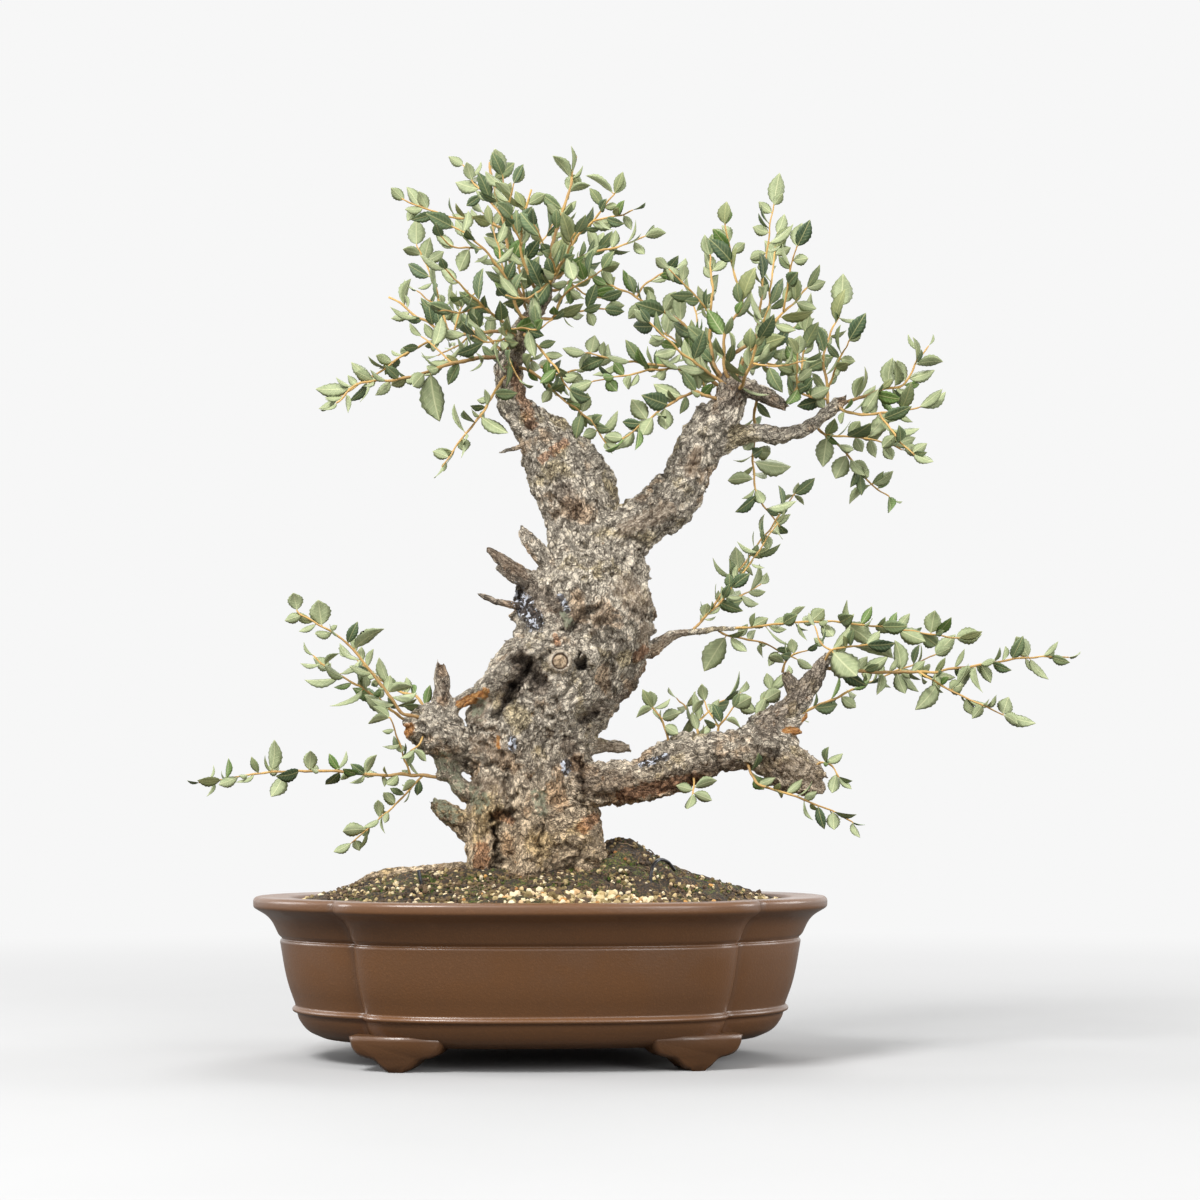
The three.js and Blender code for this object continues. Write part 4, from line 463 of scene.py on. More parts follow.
    shoot(2, 0.9, 15, [[-18, 530, 3], [-32, 545, -14], [-50, 560], [-72, 582, -68]]),
    shoot(1.3, 0.8, 14, [[-44, 555], [-62, 550], [-78, 552, -60]]),
    shoot(1.3, 0.8, 15, [[-22, 535], [-30, 530], [-40, 528], [-52, 533, -46]]),
    shoot(1.3, 0.8, 15, [[-24, 537], [-14, 538], [-4, 537], [7, 544, -42]]),
    shoot(1.3, 0.8, 14, [[-26, 539], [-27, 528], [-24, 514], [-17, 500, -40]]),
  ],
  "spray_a_front_east": [
    shoot(2, 0.9, 15, [[2, 569, 7], [8, 575, -6], [16, 590], [24, 610, -66]]),
    shoot(1.3, 0.8, 14, [[11, 580], [2, 600], [-6, 616, -62]]),
    shoot(1.3, 0.8, 15, [[7, 574], [-3, 566], [-14, 561], [-28, 563, -46]]),
  ],
  "spray_b_mast": [
    shoot(2.3, 1, 15, [[138, 497, -3], [129, 508, -1], [125, 532], [127, 568], [125, 593.5, 14]],
      leaves=[[125, 593, 120, 609, 9]], more=[[127, 580, 139, 590, 8]]),
    shoot(1.4, 0.8, 14, [[125, 547], [112, 565], [95, 583, -18]], leaves=[[95, 583, 84, 592, 8]],
      more=[[104, 573, 106, 588, 8]]),
  ],
  "spray_b_top": [
    shoot(2.1, 0.9, 15, [[141, 498, -12], [136, 509, -16], [136, 535], [149, 558], [142.5, 584],
      [137, 617, -32]], more=[[137, 617, 140, 629, 5], [138, 605, 127, 612, 8], [140, 595, 152, 604, 8]]),
  ],
  "spray_b_ridge": [
    shoot(3, 1.5, 14, [[140, 497, -6], [139, 515, -2], [150, 523], [170, 539, 20]]),
    shoot(1.5, 0.8, 15, [[168, 537], [171.5, 577], [175, 610, 48]], leaves=[[175, 610, 182, 624, 9]],
      more=[[173, 594, 186, 600, 8]]),
    shoot(1.6, 0.8, 14, [[160, 530], [165, 577], [173, 631.5, 8]], leaves=[[173, 631, 180, 641, 7]],
      more=[[172, 626, 161, 634, 8], [169, 612, 157, 616, 9], [167, 596, 154, 590, 8]]),
  ],
  "spray_b_bough": [
    shoot(2.2, 1.1, 15, [[144, 493, -13], [150, 514], [172.5, 540.5], [198, 569, -24]],
      leaves=[[198, 569, 212, 574, 9]], more=[[190, 557, 204, 552, 9]]),
    shoot(1.4, 0.8, 14, [[182, 549], [184.5, 580], [190, 599.5, -46]], leaves=[[190, 600, 195, 617, 14]],
      more=[[187, 590, 200, 592, 9]]),
  ],
  "spray_b_east_high": [
    shoot(2, 0.9, 15, [[213, 475, 5], [213, 495], [210.5, 520], [225, 557, 24]],
      leaves=[[225, 554, 226, 580, 17]], more=[[222, 546, 240, 545, 5], [214, 530, 203, 541, 9]]),
    shoot(1.4, 0.8, 14, [[213, 492], [218, 506], [228.5, 528.5, -32]], leaves=[[228, 528, 238, 536, 8]],
      more=[[222, 514, 234, 512, 8]]),
    shoot(1.5, 0.9, 16, [[213, 484], [199, 487], [191, 493, -16], [190, 507], [190, 519, -32]],
      leaves=[[199, 487, 214, 494, 11], [191, 492, 184, 478, 9], [190, 519, 193, 534, 11],
      [190, 504, 178, 511, 8]], more=[[194, 491, 203, 502, 10], [190, 498, 202, 508, 9],
      [190, 512, 181, 524, 9], [204, 486, 210, 478, 8]]),
  ],
  "spray_b_east": [
    shoot(2.1, 0.9, 14, [[221, 481, 6], [236, 486], [255, 492], [270, 496], [279, 513], [288, 525, 12]],
      leaves=[[269, 500, 264, 516, 11], [225, 484, 226, 508, 13], [257, 493, 258, 516, 12],
      [228, 484, 236, 471, 10], [245, 489, 249, 473, 9]], more=[[262, 494, 265, 516, 7],
      [254, 491, 262, 472, 7], [232, 486, 238, 503, 9], [240, 488, 251, 482, 8], [279, 510, 299, 514, 7],
      [284, 521, 272, 534, 5], [286, 523, 292, 532, 6], [250, 490, 246, 506, 9], [262, 494, 276, 488, 7],
      [288, 525, 298, 528, 6]]),
  ],
  "spray_b_east_low": [
    shoot(1.9, 0.9, 14, [[219, 479, 2], [231, 474.5, -4], [253.5, 474.5], [281, 478, -28]],
      leaves=[[281, 478, 302, 488, 9], [281, 476, 297, 467, 8]]),
    shoot(1.3, 0.8, 13, [[251, 474.5], [264, 455.5], [276, 443.5, -44]], leaves=[[276, 443, 286, 452, 8]],
      more=[[270, 450, 284, 442, 9], [262, 457, 252, 448, 9]]),
  ],
  "spray_b_under_east": [
    shoot(1.8, 0.8, 14, [[203, 467, 3], [207, 461, 8], [226, 445], [241.5, 424.5], [257, 411.5, 32]],
      leaves=[[226, 444, 217, 425, 14], [205, 463, 193, 446, 11], [213, 456, 209, 432, 14],
      [215, 454, 229, 451, 11]], more=[[232, 438, 243, 432, 8], [236, 432, 245, 425, 7],
      [244, 420, 226, 408, 6], [250, 418, 260, 428, 5], [256, 412, 258, 398, 6], [256, 412, 268, 404, 5],
      [214, 454, 202, 444, 9]]),
    shoot(1.3, 0.8, 16, [[211, 458], [226, 456], [241, 455], [256, 452], [268, 447, -14]],
      leaves=[[236, 455, 256, 461, 11], [254, 452, 261, 439, 9], [262, 450, 278, 456, 10]],
      more=[[228, 456, 238, 468, 9], [244, 454, 249, 440, 8], [268, 447, 277, 439, 7],
      [222, 456, 214, 468, 9], [232, 455, 238, 444, 9]]),
  ],
  "spray_b_hang": [
    shoot(1.9, 0.8, 13, [[158, 490, -9], [159, 483, 3], [158.5, 470, 14], [157, 435, 15], [160.5, 412, 17],
      [176, 390, 24]], leaves=[[156, 437, 186, 431, 14], [157, 446, 172, 442, 12]],
      more=[[156, 424, 137, 424, 9], [158, 418, 166, 405, 9], [172, 393, 190, 381, 7],
      [157, 440, 143, 446, 9], [176, 390, 178, 377, 5]]),
  ],
  "spray_b_west_low": [
    shoot(2.1, 0.9, 15, [[136, 484, -12], [122, 487, -18], [112, 489.5], [90, 478], [61, 455.5, -42]],
      leaves=[[104, 489, 83, 495, 12], [100, 484, 74, 485, 11], [76, 470, 65, 486, 13],
      [92, 478, 93, 461, 12], [61, 456, 47, 458, 9]], more=[[76, 470, 64, 461, 8], [68, 463, 56, 447, 9]]),
  ],
  "spray_b_west": [
    shoot(2.3, 0.9, 15, [[136, 492, -7], [115, 505], [89, 509.5], [63.5, 513.5], [32.5, 519, 16]],
      leaves=[[36, 518, 40, 532, 12], [33, 519, 19, 524, 8]], more=[[44, 517, 45, 529, 6],
      [115, 505, 116, 492, 8]]),
    shoot(1.4, 0.8, 14, [[100, 507], [79.5, 507, -8], [63.5, 503], [38, 498.5, -20]],
      leaves=[[48, 500, 56, 490, 10], [38, 498, 24, 494, 8]], more=[[60, 503, 52, 513, 8]]),
  ],
  "spray_b_west_high": [
    shoot(2.2, 0.9, 15, [[138, 492, -4], [131, 501, 12], [111.5, 537], [89, 551.5], [66, 564],
      [30, 580, 36]], leaves=[[92, 552, 100, 566, 10], [30, 580, 17, 586, 8]], more=[[77, 558, 64, 545, 9],
      [51, 571, 44, 584, 8]]),
    shoot(1.3, 0.8, 14, [[70, 562], [80, 574], [100, 584, 50]]),
  ],
  "spray_b_west_cut": [
    shoot(1.9, 0.9, 15, [[136, 495, -15], [126, 503, -19], [102, 521.5], [80.5, 542.5, -46]],
      leaves=[[80, 543, 68, 552, 8]], more=[[93, 530, 80, 526, 9]]),
  ],
  "spray_b_core": [
    shoot(1.8, 0.9, 14, [[179, 480, -14], [186, 487], [193, 503], [196, 535, 8]],
      leaves=[[196, 535, 199, 549, 8]], more=[[194, 515, 182, 526, 7]]),
  ],
  "spray_b_back_west": [
    shoot(2, 0.9, 16, [[137, 482, -3], [124, 490, 16], [108, 520], [84, 540, 72]]),
    shoot(1.3, 0.8, 15, [[112, 514], [116, 536], [112, 562, 66]]),
  ],
  "spray_b_back_east": [
    shoot(2, 0.9, 16, [[143, 492, -3], [152, 504, 16], [170, 522], [196, 546, 72]]),
    shoot(1.3, 0.8, 15, [[162, 514], [184, 508], [206, 506, 62]]),
  ],
  "spray_b_front_mid": [
    shoot(2, 0.9, 15, [[147, 492, -16], [152, 502, -30], [160, 526], [170, 556, -66]]),
    shoot(1.3, 0.8, 14, [[155, 512], [176, 510], [196, 514, -60]]),
  ],
  "spray_d_rise": [
    shoot(1.6, 0.9, 13, [[110, 311, 15.5], [120.5, 321], [140, 349], [165, 382], [187, 413, 40]],
      leaves=[[144, 357, 144, 374, 12], [112, 313, 98, 300.5, 10]], more=[[148, 358, 158, 354, 5],
      [140, 352, 124, 364, 5], [165, 383, 168, 371, 9], [187, 413, 176, 406, 3], [187, 413, 195, 405, 3],
      [121, 321, 123, 333, 9]]),
    shoot(1.3, 0.8, 12, [[118, 318], [134, 336, 14], [158, 367], [175, 392, 4]],
      more=[[158, 372, 144, 378, 5], [136, 338, 148, 336, 5], [175, 392, 183, 402, 6]]),
    shoot(1.3, 0.8, 14, [[125, 328], [140, 334], [162, 346, 68]]),
  ],
  "spray_d_dip": [
    shoot(1.4, 0.8, 13, [[130, 313, 20], [135, 309, 24], [162, 303], [188, 291, 46]],
      leaves=[[136, 309, 118.5, 282, 17], [188, 291, 200, 284, 7]], more=[[175, 298, 166, 286, 7]]),
  ],
  "spray_d_reach": [
    shoot(1.4, 0.9, 14, [[143, 313.5, 22.5], [170.5, 316], [214, 318.5], [255, 314], [308, 306, 2]],
      leaves=[[199, 320, 210, 327, 12], [212, 319, 224, 327, 13], [223, 317, 246.5, 302.5, 14],
      [264, 313, 285, 302.5, 13], [288, 310, 291.5, 327.5, 13], [305.5, 305, 326, 310, 13],
      [308, 306, 328, 290.5, 8]], more=[[155, 315, 168, 322, 9], [168, 315, 182, 311, 6],
      [229, 320, 245, 315, 7], [247, 316, 262, 312, 9], [304, 305, 318, 296, 5], [229, 320, 224, 336, 7],
      [182, 319, 195, 330, 5], [208, 320, 197, 338, 3]]),
  ],
  "spray_c_crest": [
    shoot(1.6, 0.9, 13, [[207, 286, -20], [214, 297, -26], [225, 300], [240, 301, -44]],
      leaves=[[214, 297, 233.5, 275.5, 21], [240, 301, 250, 311, 7]], more=[[232, 300, 260, 295, 8]]),
    shoot(1.2, 0.8, 11, [[214, 297], [207, 303], [202, 315, -14]]),
  ],
  "spray_c_reach": [
    shoot(2.2, 0.9, 14, [[203, 281, -18], [218, 284, -10], [249, 281], [293, 282], [349, 290.5],
      [390, 292.5, 8]], leaves=[[265, 284, 264, 306, 10], [263, 282, 269.5, 263.5, 10],
      [320.5, 284, 303, 268, 11], [360, 291.5, 350, 308, 13]], more=[[250, 280, 247, 263, 6],
      [320, 284, 323, 264, 8], [324, 284, 332, 273, 8], [370, 293, 382, 303, 4], [377, 292, 390, 287, 5],
      [388, 292, 394, 299, 3], [290, 282, 292, 266, 7], [232, 283, 240, 294, 8]]),
    shoot(1.4, 0.8, 13, [[277.5, 281], [301.5, 268], [340.5, 249.5, -34]],
      leaves=[[291.5, 272, 276, 252, 12], [299, 266, 312, 272, 12], [342.5, 250, 344.5, 263, 12],
      [340, 249, 352, 243, 8]], more=[[312, 262, 316, 250, 8], [326, 256, 318, 246, 8]]),
  ],
  "spray_c_cross": [
    shoot(1.8, 0.8, 13, [[176, 247, -20], [188, 250, -4], [201, 255, 12], [227, 267], [257, 279.5],
      [290, 293, 30]], leaves=[[290, 293, 302, 298, 8]], more=[[220, 264, 232, 254, 9],
      [242, 274, 240, 288, 8], [266, 284, 276, 276, 7]]),
  ],
  "spray_c_stub": [
    shoot(1.5, 0.8, 11, [[178, 280, -26], [182, 291, -32], [196, 297, -44]], more=[[180, 288, 168, 294, 7],
      [186, 293, 184, 305, 8], [196, 297, 207, 303, 6]]),
  ],
  "spray_c_inner": [
    shoot(1.6, 0.8, 12, [[161, 240, -20], [159, 251, -12], [168, 266], [179, 276, 8]],
      leaves=[[166, 260, 179, 269, 12], [158, 252, 145, 258, 10]], more=[[169, 268, 167, 281, 8]]),
  ],
  "spray_c_top_west": [
    shoot(1.6, 0.8, 11, [[94, 220, -20], [92, 234], [88, 247], [81.5, 256, -34]],
      leaves=[[82, 256, 80, 269, 9]], more=[[81, 256, 96, 261, 4], [81, 256, 67, 266, 5],
      [82, 254, 68, 249, 6], [90, 243, 101, 236, 9], [90, 246, 103, 250, 9]]),
  ],
  "spray_c_top_mid": [
    shoot(1.6, 0.8, 12, [[130, 229, -22], [131, 240], [141, 255, -36]], leaves=[[141, 254, 155, 263, 12]],
      more=[[136, 246, 149, 242, 5]]),
    shoot(1.2, 0.8, 11, [[131, 240], [124, 252], [120, 261, -6]], leaves=[[121, 259, 118, 273, 8]],
      more=[[120, 261, 111, 251, 6]]),
  ],
  "spray_c_back": [
    shoot(1.7, 0.8, 14, [[114, 226, -14], [114, 240, 4], [108, 252], [100, 262, 44]]),
    shoot(1.3, 0.8, 14, [[113, 242], [128, 256], [146, 266, 44]]),
  ],
  "spray_c_under": [
    shoot(1.7, 0.8, 12, [[152, 214, -32], [160, 199, -45], [184, 190, -52], [207.5, 182, -52],
      [229, 170, -50]], leaves=[[156, 203, 165, 195, 10]], more=[[194, 187, 198, 170, 3],
      [192, 188, 202, 193, 6], [214, 179, 214, 163, 10], [229, 171, 233, 158, 6], [228, 172, 240, 170, 4]]),
  ],
  "spray_c_end": [
    shoot(1.5, 0.8, 11, [[199, 205, -31], [204, 214, -36], [212, 213], [219, 204, -48]],
      leaves=[[217, 206, 214, 190, 9]], more=[[203, 214, 216, 226, 7], [210, 213, 223, 220, 6],
      [219, 205, 230, 198, 6]]),
  ],
  "spray_c_belly": [
    shoot(1.3, 0.8, 0, [[112, 205, -30], [112, 197, -40], [111, 191, -44]], leaves=[[112, 195, 99, 199, 8],
      [112, 192, 126, 186, 8], [111, 191, 107, 179, 7]], more=[[113, 196, 129, 203, 8]]),
  ],
}


# Shared surface effects

class Net:
    """Adds nodes to the tree of a material or of a node group."""

    def __init__(self, tree):
        self.tree = tree

    def node(self, kind, inputs=None, **settings):
        made = self.tree.nodes.new(kind)
        for key, value in settings.items():
            setattr(made, key, value)
        for key, value in (inputs or {}).items():
            if isinstance(value, bpy.types.NodeSocket):
                self.tree.links.new(value, made.inputs[key])
            else:
                made.inputs[key].default_value = value
        return made

    def math(self, operation, a, b=0.0, c=0.0):
        inputs = {0: a, 1: b, 2: c}
        return self.node("ShaderNodeMath", inputs, operation=operation).outputs[0]

    def times(self, a, b):
        return self.math("MULTIPLY", a, b)

    def plus(self, base, value, share):
        """The base with a share of a value added to it."""
        return self.math("MULTIPLY_ADD", value, share, base)

    def span(self, value, low, high, start=0.0, end=1.0):
        inputs = {0: value, 1: low, 2: high, 3: start, 4: end}
        return self.node("ShaderNodeMapRange", inputs, interpolation_type="SMOOTHSTEP").outputs[0]

    def mix(self, share, a, b, blend="MIX"):
        made = self.node("ShaderNodeMix", {0: share, 6: a, 7: b}, data_type="RGBA", blend_type=blend)
        return made.outputs[2]

    def ramp(self, value, stops):
        made = self.node("ShaderNodeValToRGB", {0: value})
        scale = made.color_ramp.elements
        while len(scale) < len(stops):
            scale.new(0.5)
        for element, (position, colour) in zip(scale, stops):
            element.position = position
            element.color = colour
        return made.outputs[0]

    def noise(self, where, size, detail=2.0, roughness=0.5, distortion=0.0):
        inputs = {"Vector": where, "Scale": 1 / size, "Detail": detail, "Roughness": roughness,
                  "Distortion": distortion}
        return self.node("ShaderNodeTexNoise", inputs).outputs[0]

    def cells(self, where, size, feature="F1", output="Distance"):
        inputs = {"Vector": where, "Scale": 1 / size}
        return self.node("ShaderNodeTexVoronoi", inputs, feature=feature).outputs[output]

    def warped(self, where, size, reach):
        """A place moved about by soft noise."""
        inputs = {"Vector": where, "Scale": 1 / size, "Detail": 2.0}
        drift = self.node("ShaderNodeTexNoise", inputs).outputs[1]
        inputs = {0: drift, 1: (reach, reach, reach), 2: where}
        return self.node("ShaderNodeVectorMath", inputs, operation="MULTIPLY_ADD").outputs[0]

    def fissures(self, where, size, width):
        """0 along thin winding cracks, 1 on what lies between them."""
        off = self.math("SUBTRACT", self.noise(where, size, 5.0, 0.62, 0.6), 0.5)
        return self.span(self.math("ABSOLUTE", off), 0.0, width)

    def marked(self, name, where):
        """A painted share with ragged edges."""
        ragged = self.math("MULTIPLY_ADD", self.noise(where, 0.007, 7.0, 0.8), 3.0, -1.5)
        return self.span(self.math("ADD", self.attribute(name), ragged), 0.4, 0.72)

    def attribute(self, name, output="Fac"):
        return self.node("ShaderNodeAttribute", attribute_name=name).outputs[output]

    def position(self):
        return self.node("ShaderNodeTexCoord").outputs["Object"]

    def shared(self, name, **inputs):
        tree = bpy.data.node_groups[name]
        values = {key.replace("_", " "): value for key, value in inputs.items()}
        return self.node("ShaderNodeGroup", values, node_tree=tree).outputs


def new_group(name, inputs, outputs):
    """An empty node group with number sockets, and its group input and output."""
    tree = bpy.data.node_groups.new(name, "ShaderNodeTree")
    for title, value in inputs.items():
        socket = tree.interface.new_socket(title, in_out="INPUT", socket_type="NodeSocketFloat")
        socket.default_value = value
    for title in outputs:
        tree.interface.new_socket(title, in_out="OUTPUT", socket_type="NodeSocketFloat")
    net = Net(tree)
    return net, net.node("NodeGroupInput").outputs, net.node("NodeGroupOutput").inputs


def build_shared_effects():
    """Node groups that several materials use."""
    net, given, out = new_group("Mottle", {"Patch Size": 0.02, "Fleck Size": 0.002}, ["Patches", "Flecks"])
    where = net.position()
    for title, source, detail, low, high in (
            ("Patches", given["Patch Size"], 4.0, 0.38, 0.62),
            ("Flecks", given["Fleck Size"], 2.0, 0.52, 0.7)):
        scale = net.math("DIVIDE", 1.0, source)
        inputs = {"Vector": where, "Scale": scale, "Detail": detail, "Roughness": 0.6}
        value = net.node("ShaderNodeTexNoise", inputs).outputs[0]
        net.tree.links.new(net.span(value, low, high), out[title])

    net, given, out = new_group("Grain", {"Grain Size": 0.001}, ["Height"])
    scale = net.math("DIVIDE", 1.0, given["Grain Size"])
    inputs = {"Vector": net.position(), "Scale": scale, "Detail": 3.0, "Roughness": 0.65}
    net.tree.links.new(net.node("ShaderNodeTexNoise", inputs).outputs[0], out["Height"])


def new_material(name, roughness):
    """A material with its net of nodes and its surface shader."""
    material = bpy.data.materials.new(name)
    material.use_nodes = True
    net = Net(material.node_tree)
    surface = material.node_tree.nodes["Principled BSDF"]
    surface.inputs["Roughness"].default_value = roughness
    return material, net, surface


def finish_surface(net, surface, colour, roughness=None, height=None, depth=0.001, strength=1.0):
    """Feeds a surface's colour, roughness and relief."""
    net.tree.links.new(colour, surface.inputs["Base Color"])
    if roughness is not None:
        net.tree.links.new(roughness, surface.inputs["Roughness"])
    if height is not None:
        inputs = {"Height": height, "Distance": depth, "Strength": strength}
        bump = net.node("ShaderNodeBump", inputs)
        net.tree.links.new(bump.outputs[0], surface.inputs["Normal"])


def rgb(red, green, blue):
    """A colour as it shows on screen, from 0 to 255, in the shader's own scale."""
    def linear(part):
        part /= 255
        return part / 12.92 if part <= 0.04045 else ((part + 0.055) / 1.055) ** 2.4
    return (linear(red), linear(green), linear(blue), 1.0)


# Pot

def pot_plan(across_lobe, along_lobe):
    """The rim's outline in plan, once round anticlockwise from the right-hand back notch."""
    points = []
    bulge = POT_DEPTH / 2 - NOTCH_Y
    side_rise = POT_WIDTH / 2 - NOTCH_X
    side_radius = (NOTCH_Y ** 2 + side_rise ** 2) / (2 * side_rise)
    side_centre = POT_WIDTH / 2 - side_radius
    side_angle = math.atan2(NOTCH_Y, NOTCH_X - side_centre)
    for end in (1, -1):
        for i in range(across_lobe):
            u = math.cos(math.pi * i / across_lobe)
            fall = max(0.0, 1 - abs(u) ** FRONT_LOBE_SQUARENESS)
            points.append((end * NOTCH_X * u, end * (NOTCH_Y + bulge * math.sqrt(fall))))
        for i in range(along_lobe):
            a = side_angle * (1 - 2 * i / along_lobe)
            x = -end * (side_centre + side_radius * math.cos(a))
            points.append((x, end * side_radius * math.sin(a)))
    return points


def pot_ring(plan, inset, z):
    """The plan drawn in by the same distance at the sides and at the front, at height z."""
    sx = 1 - inset / (POT_WIDTH / 2)
    sy = 1 - inset / (POT_DEPTH / 2)
    return [turned(x * sx, y * sy, z) for x, y in plan]


def eased(profile, cut=0.9):
    """A profile with sharp corners rounded off a little and gentle ones drawn out into curves."""
    out = [profile[0]]
    for before, corner, after in zip(profile, profile[1:], profile[2:]):
        p, c, q = (np.array(v, float) for v in (before, corner, after))
        legs = np.linalg.norm(c - p), np.linalg.norm(q - c)
        gentle = min(legs) > 4.5 and unit(c - p) @ unit(q - c) > 0.6
        reach_in, reach_out = (0.48 * leg if gentle else min(cut, 0.45 * leg) for leg in legs)
        a, b = c + unit(p - c) * reach_in, c + unit(q - c) * reach_out
        steps = 7 if gentle else 3
        for i in range(steps + 1):
            t = i / steps
            out.append(tuple((1 - t) ** 2 * a + 2 * t * (1 - t) * c + t * t * b))
    return [*out, profile[-1]]


FOOT_EDGE = [(-34, 24), (-32.5, 17), (-29, 12), (-24, 9.8), (-16.5, 8.4), (-13, 5.2), (-9, 1.4), (-5, 0)]


def foot_vertices(x, y):
    """A cloud foot: wide shoulders, a middle lobe that stands on the ground, a groove in each face."""
    half = eased(FOOT_EDGE, 2.5)
    edge = half + [(-px, pz) for px, pz in reversed(half)]
    layers = 14
    splay = -math.copysign(FOOT_SPLAY, x * y)
    c, s = math.cos(splay), math.sin(splay)
    vertices = []
    for layer in range(layers + 1):
        v = 2 * layer / layers - 1
        deep = FOOT_DEPTH / 2 * v
        inward = 3.2 * smooth_step(0.6, 1.0, abs(v)) ** 2
        for px, pz in edge:
            groove = 1.6 * smooth_step(0.8, 1.0, abs(v)) * math.exp(-(px / 2.2) ** 2)
            fx = px * (1 - inward / 33)
            fz = pz + (inward * (1 - pz / 24) if pz > 0.5 else 0)
            fy = deep * (1 - groove / 15)
            vertices.append(turned(x + c * fx - s * fy, y + s * fx + c * fy, fz))
    return vertices, len(edge), layers + 1


def glaze(look):
    """Brown satin stoneware: fine speckle, painted highlight on edges, painted shade in creases, a faint
    orange-peel skin.
    """
    material, net, surface = new_material("stoneware", 0.36)
    mottle = net.shared("Mottle", Patch_Size=0.05, Fleck_Size=0.0016)
    grain = net.shared("Grain", Grain_Size=0.0016)
    body = tuple(look.glaze)
    dark = tuple(0.72 * part for part in body[:3]) + (1.0,)
    light = tuple(min(1.0, 1.32 * part) for part in body[:3]) + (1.0,)
    colour = net.mix(net.times(mottle["Patches"], 0.35), body, dark)
    colour = net.mix(net.times(mottle["Flecks"], 0.4), colour, light)
    # Painted highlight: edges that stand out are lightened.
    colour = net.mix(net.times(net.attribute("crest"), 0.3), colour, light)
    # Painted shade: creases and hollows, such as the neck under the rim, are darkened.
    colour = net.mix(net.times(net.attribute("crease_shade"), 0.8), colour, dark)
    rough = net.span(mottle["Patches"], 0.0, 1.0, look.roughness - 0.05, look.roughness + 0.09)
    surface.inputs["Coat Weight"].default_value = 0.3
    surface.inputs["Coat Roughness"].default_value = 0.16
    finish_surface(net, surface, colour, rough, grain["Height"], 0.0006, 0.35)
    return material


def build_pot(look):
    """The tray with its four lobes, thick rim, raised line and cloud feet."""
    plan = pot_plan(56, 40)
    profile = eased(POT_OUTSIDE + POT_INSIDE, 1.4)
    vertices = [p for inset, z in profile for p in pot_ring(plan, inset, z)]
    faces = tube_faces(len(profile), len(plan))
    for x in (-FOOT_X, FOOT_X):
        for y in (-FOOT_Y, FOOT_Y):
            foot, count, rows = foot_vertices(x, y)
            faces += tube_faces(rows, count, len(vertices))
            vertices += foot
    pot = new_piece("pot_glazed", [place(p) for p in vertices], faces, glaze(look), ["pot"])
    # How far edges stand out and creases lie in, for the glaze's painted highlight and painted shade.
    mark_relief(pot, {"crest": 1, "crease_shade": -1}, 3, 0.0006)


def mark_relief(piece, signs, rounds, full):
    """Marks how far each vertex stands out of the surface about it (or lies below it)."""
    mesh = piece.data
    points = vertex_rows(mesh, "co")
    edges = np.empty(2 * len(mesh.edges), dtype=np.int64)
    mesh.edges.foreach_get("vertices", edges)
    edges = edges.reshape(-1, 2)
    ends = np.concatenate((edges, edges[:, ::-1]))
    degree = np.maximum(np.bincount(ends[:, 0], minlength=len(points)), 1)
    soft = points
    for _ in range(rounds):
        total = [np.bincount(ends[:, 0], soft[ends[:, 1], i], len(points)) for i in range(3)]
        soft = 0.4 * soft + 0.6 * np.array(total).T / degree[:, None]
    rise = ((points - soft) * vertex_rows(mesh, "normal")).sum(axis=1) / full
    for title, sign in signs.items():
        set_values(mesh, title, np.clip(sign * rise, 0, 1))
    return rise


# Soil

def soil_height(x, y):
    """Height of the soil at a spot of the pot's plan, without its grit."""
    fall = 1 - abs(x / 172) ** 2.6 - abs((y - 12) / 152) ** 1.5
    cx, cy, wide, deep, rise = CREST
    crest = rise * math.exp(-((x - cx) / wide) ** 2 - ((y - cy) / deep) ** 2)
    return SOIL_EDGE_HEIGHT + MOUND_RISE * max(0.0, fall) + crest


def mossiness(x, y):
    """Share of moss at a spot: in patches, and none along the front and the sides."""
    patch = 0.5 + 0.5 * noise.fractal(Vector((x / 15, y / 15, 3.3)), 0.9, 2.0, 4)
    away = smooth_step(10, 34, min(y + 150, 175 - abs(x)))
    return away * smooth_step(0.46, 0.68, patch)


def peat(look):
    """Dark crumbly peat with moss on its high spots."""
    material, net, surface = new_material("peat", 0.95)
    mottle = net.shared("Mottle", Patch_Size=0.006, Fleck_Size=0.002)
    grain = net.shared("Grain", Grain_Size=0.0014)
    peat_colour = tuple(look.peat)
    colour = net.mix(net.times(mottle["Patches"], 0.6), peat_colour, rgb(28, 24, 18))
    colour = net.mix(mottle["Flecks"], colour, rgb(120, 92, 58))
    moss = net.times(net.attribute("moss"), net.span(grain["Height"], 0.45, 0.65, 0.0, 0.6))
    colour = net.mix(moss, colour, tuple(look.moss))
    finish_surface(net, surface, colour, None, grain["Height"], 0.0016, 1.0)
    return material


def grit_finish():
    """Loose stones, each with its own tone."""
    material, net, surface = new_material("grit", 0.85)
    grain = net.shared("Grain", Grain_Size=0.0007)
    tone = net.attribute("tone")
    stops = [(0.0, rgb(30, 26, 20)), (0.2, rgb(84, 62, 40)), (0.36, rgb(112, 96, 50)),
             (0.52, rgb(212, 188, 136)), (0.72, rgb(246, 232, 198)), (0.86, rgb(200, 146, 74)),
             (1.0, rgb(150, 90, 46))]
    colour = net.mix(net.times(grain["Height"], 0.35), net.ramp(tone, stops), rgb(120, 100, 78))
    finish_surface(net, surface, colour, None, grain["Height"], 0.0005, 0.8)
    return material


def stone_shape():
    """Points and faces of a regular solid with twenty faces."""
    bm = bmesh.new()
    bmesh.ops.create_icosphere(bm, subdivisions=1, radius=1.0)
    points = np.array([v.co[:] for v in bm.verts])
    faces = [[v.index for v in face.verts] for face in bm.faces]
    bm.free()
    return points, faces


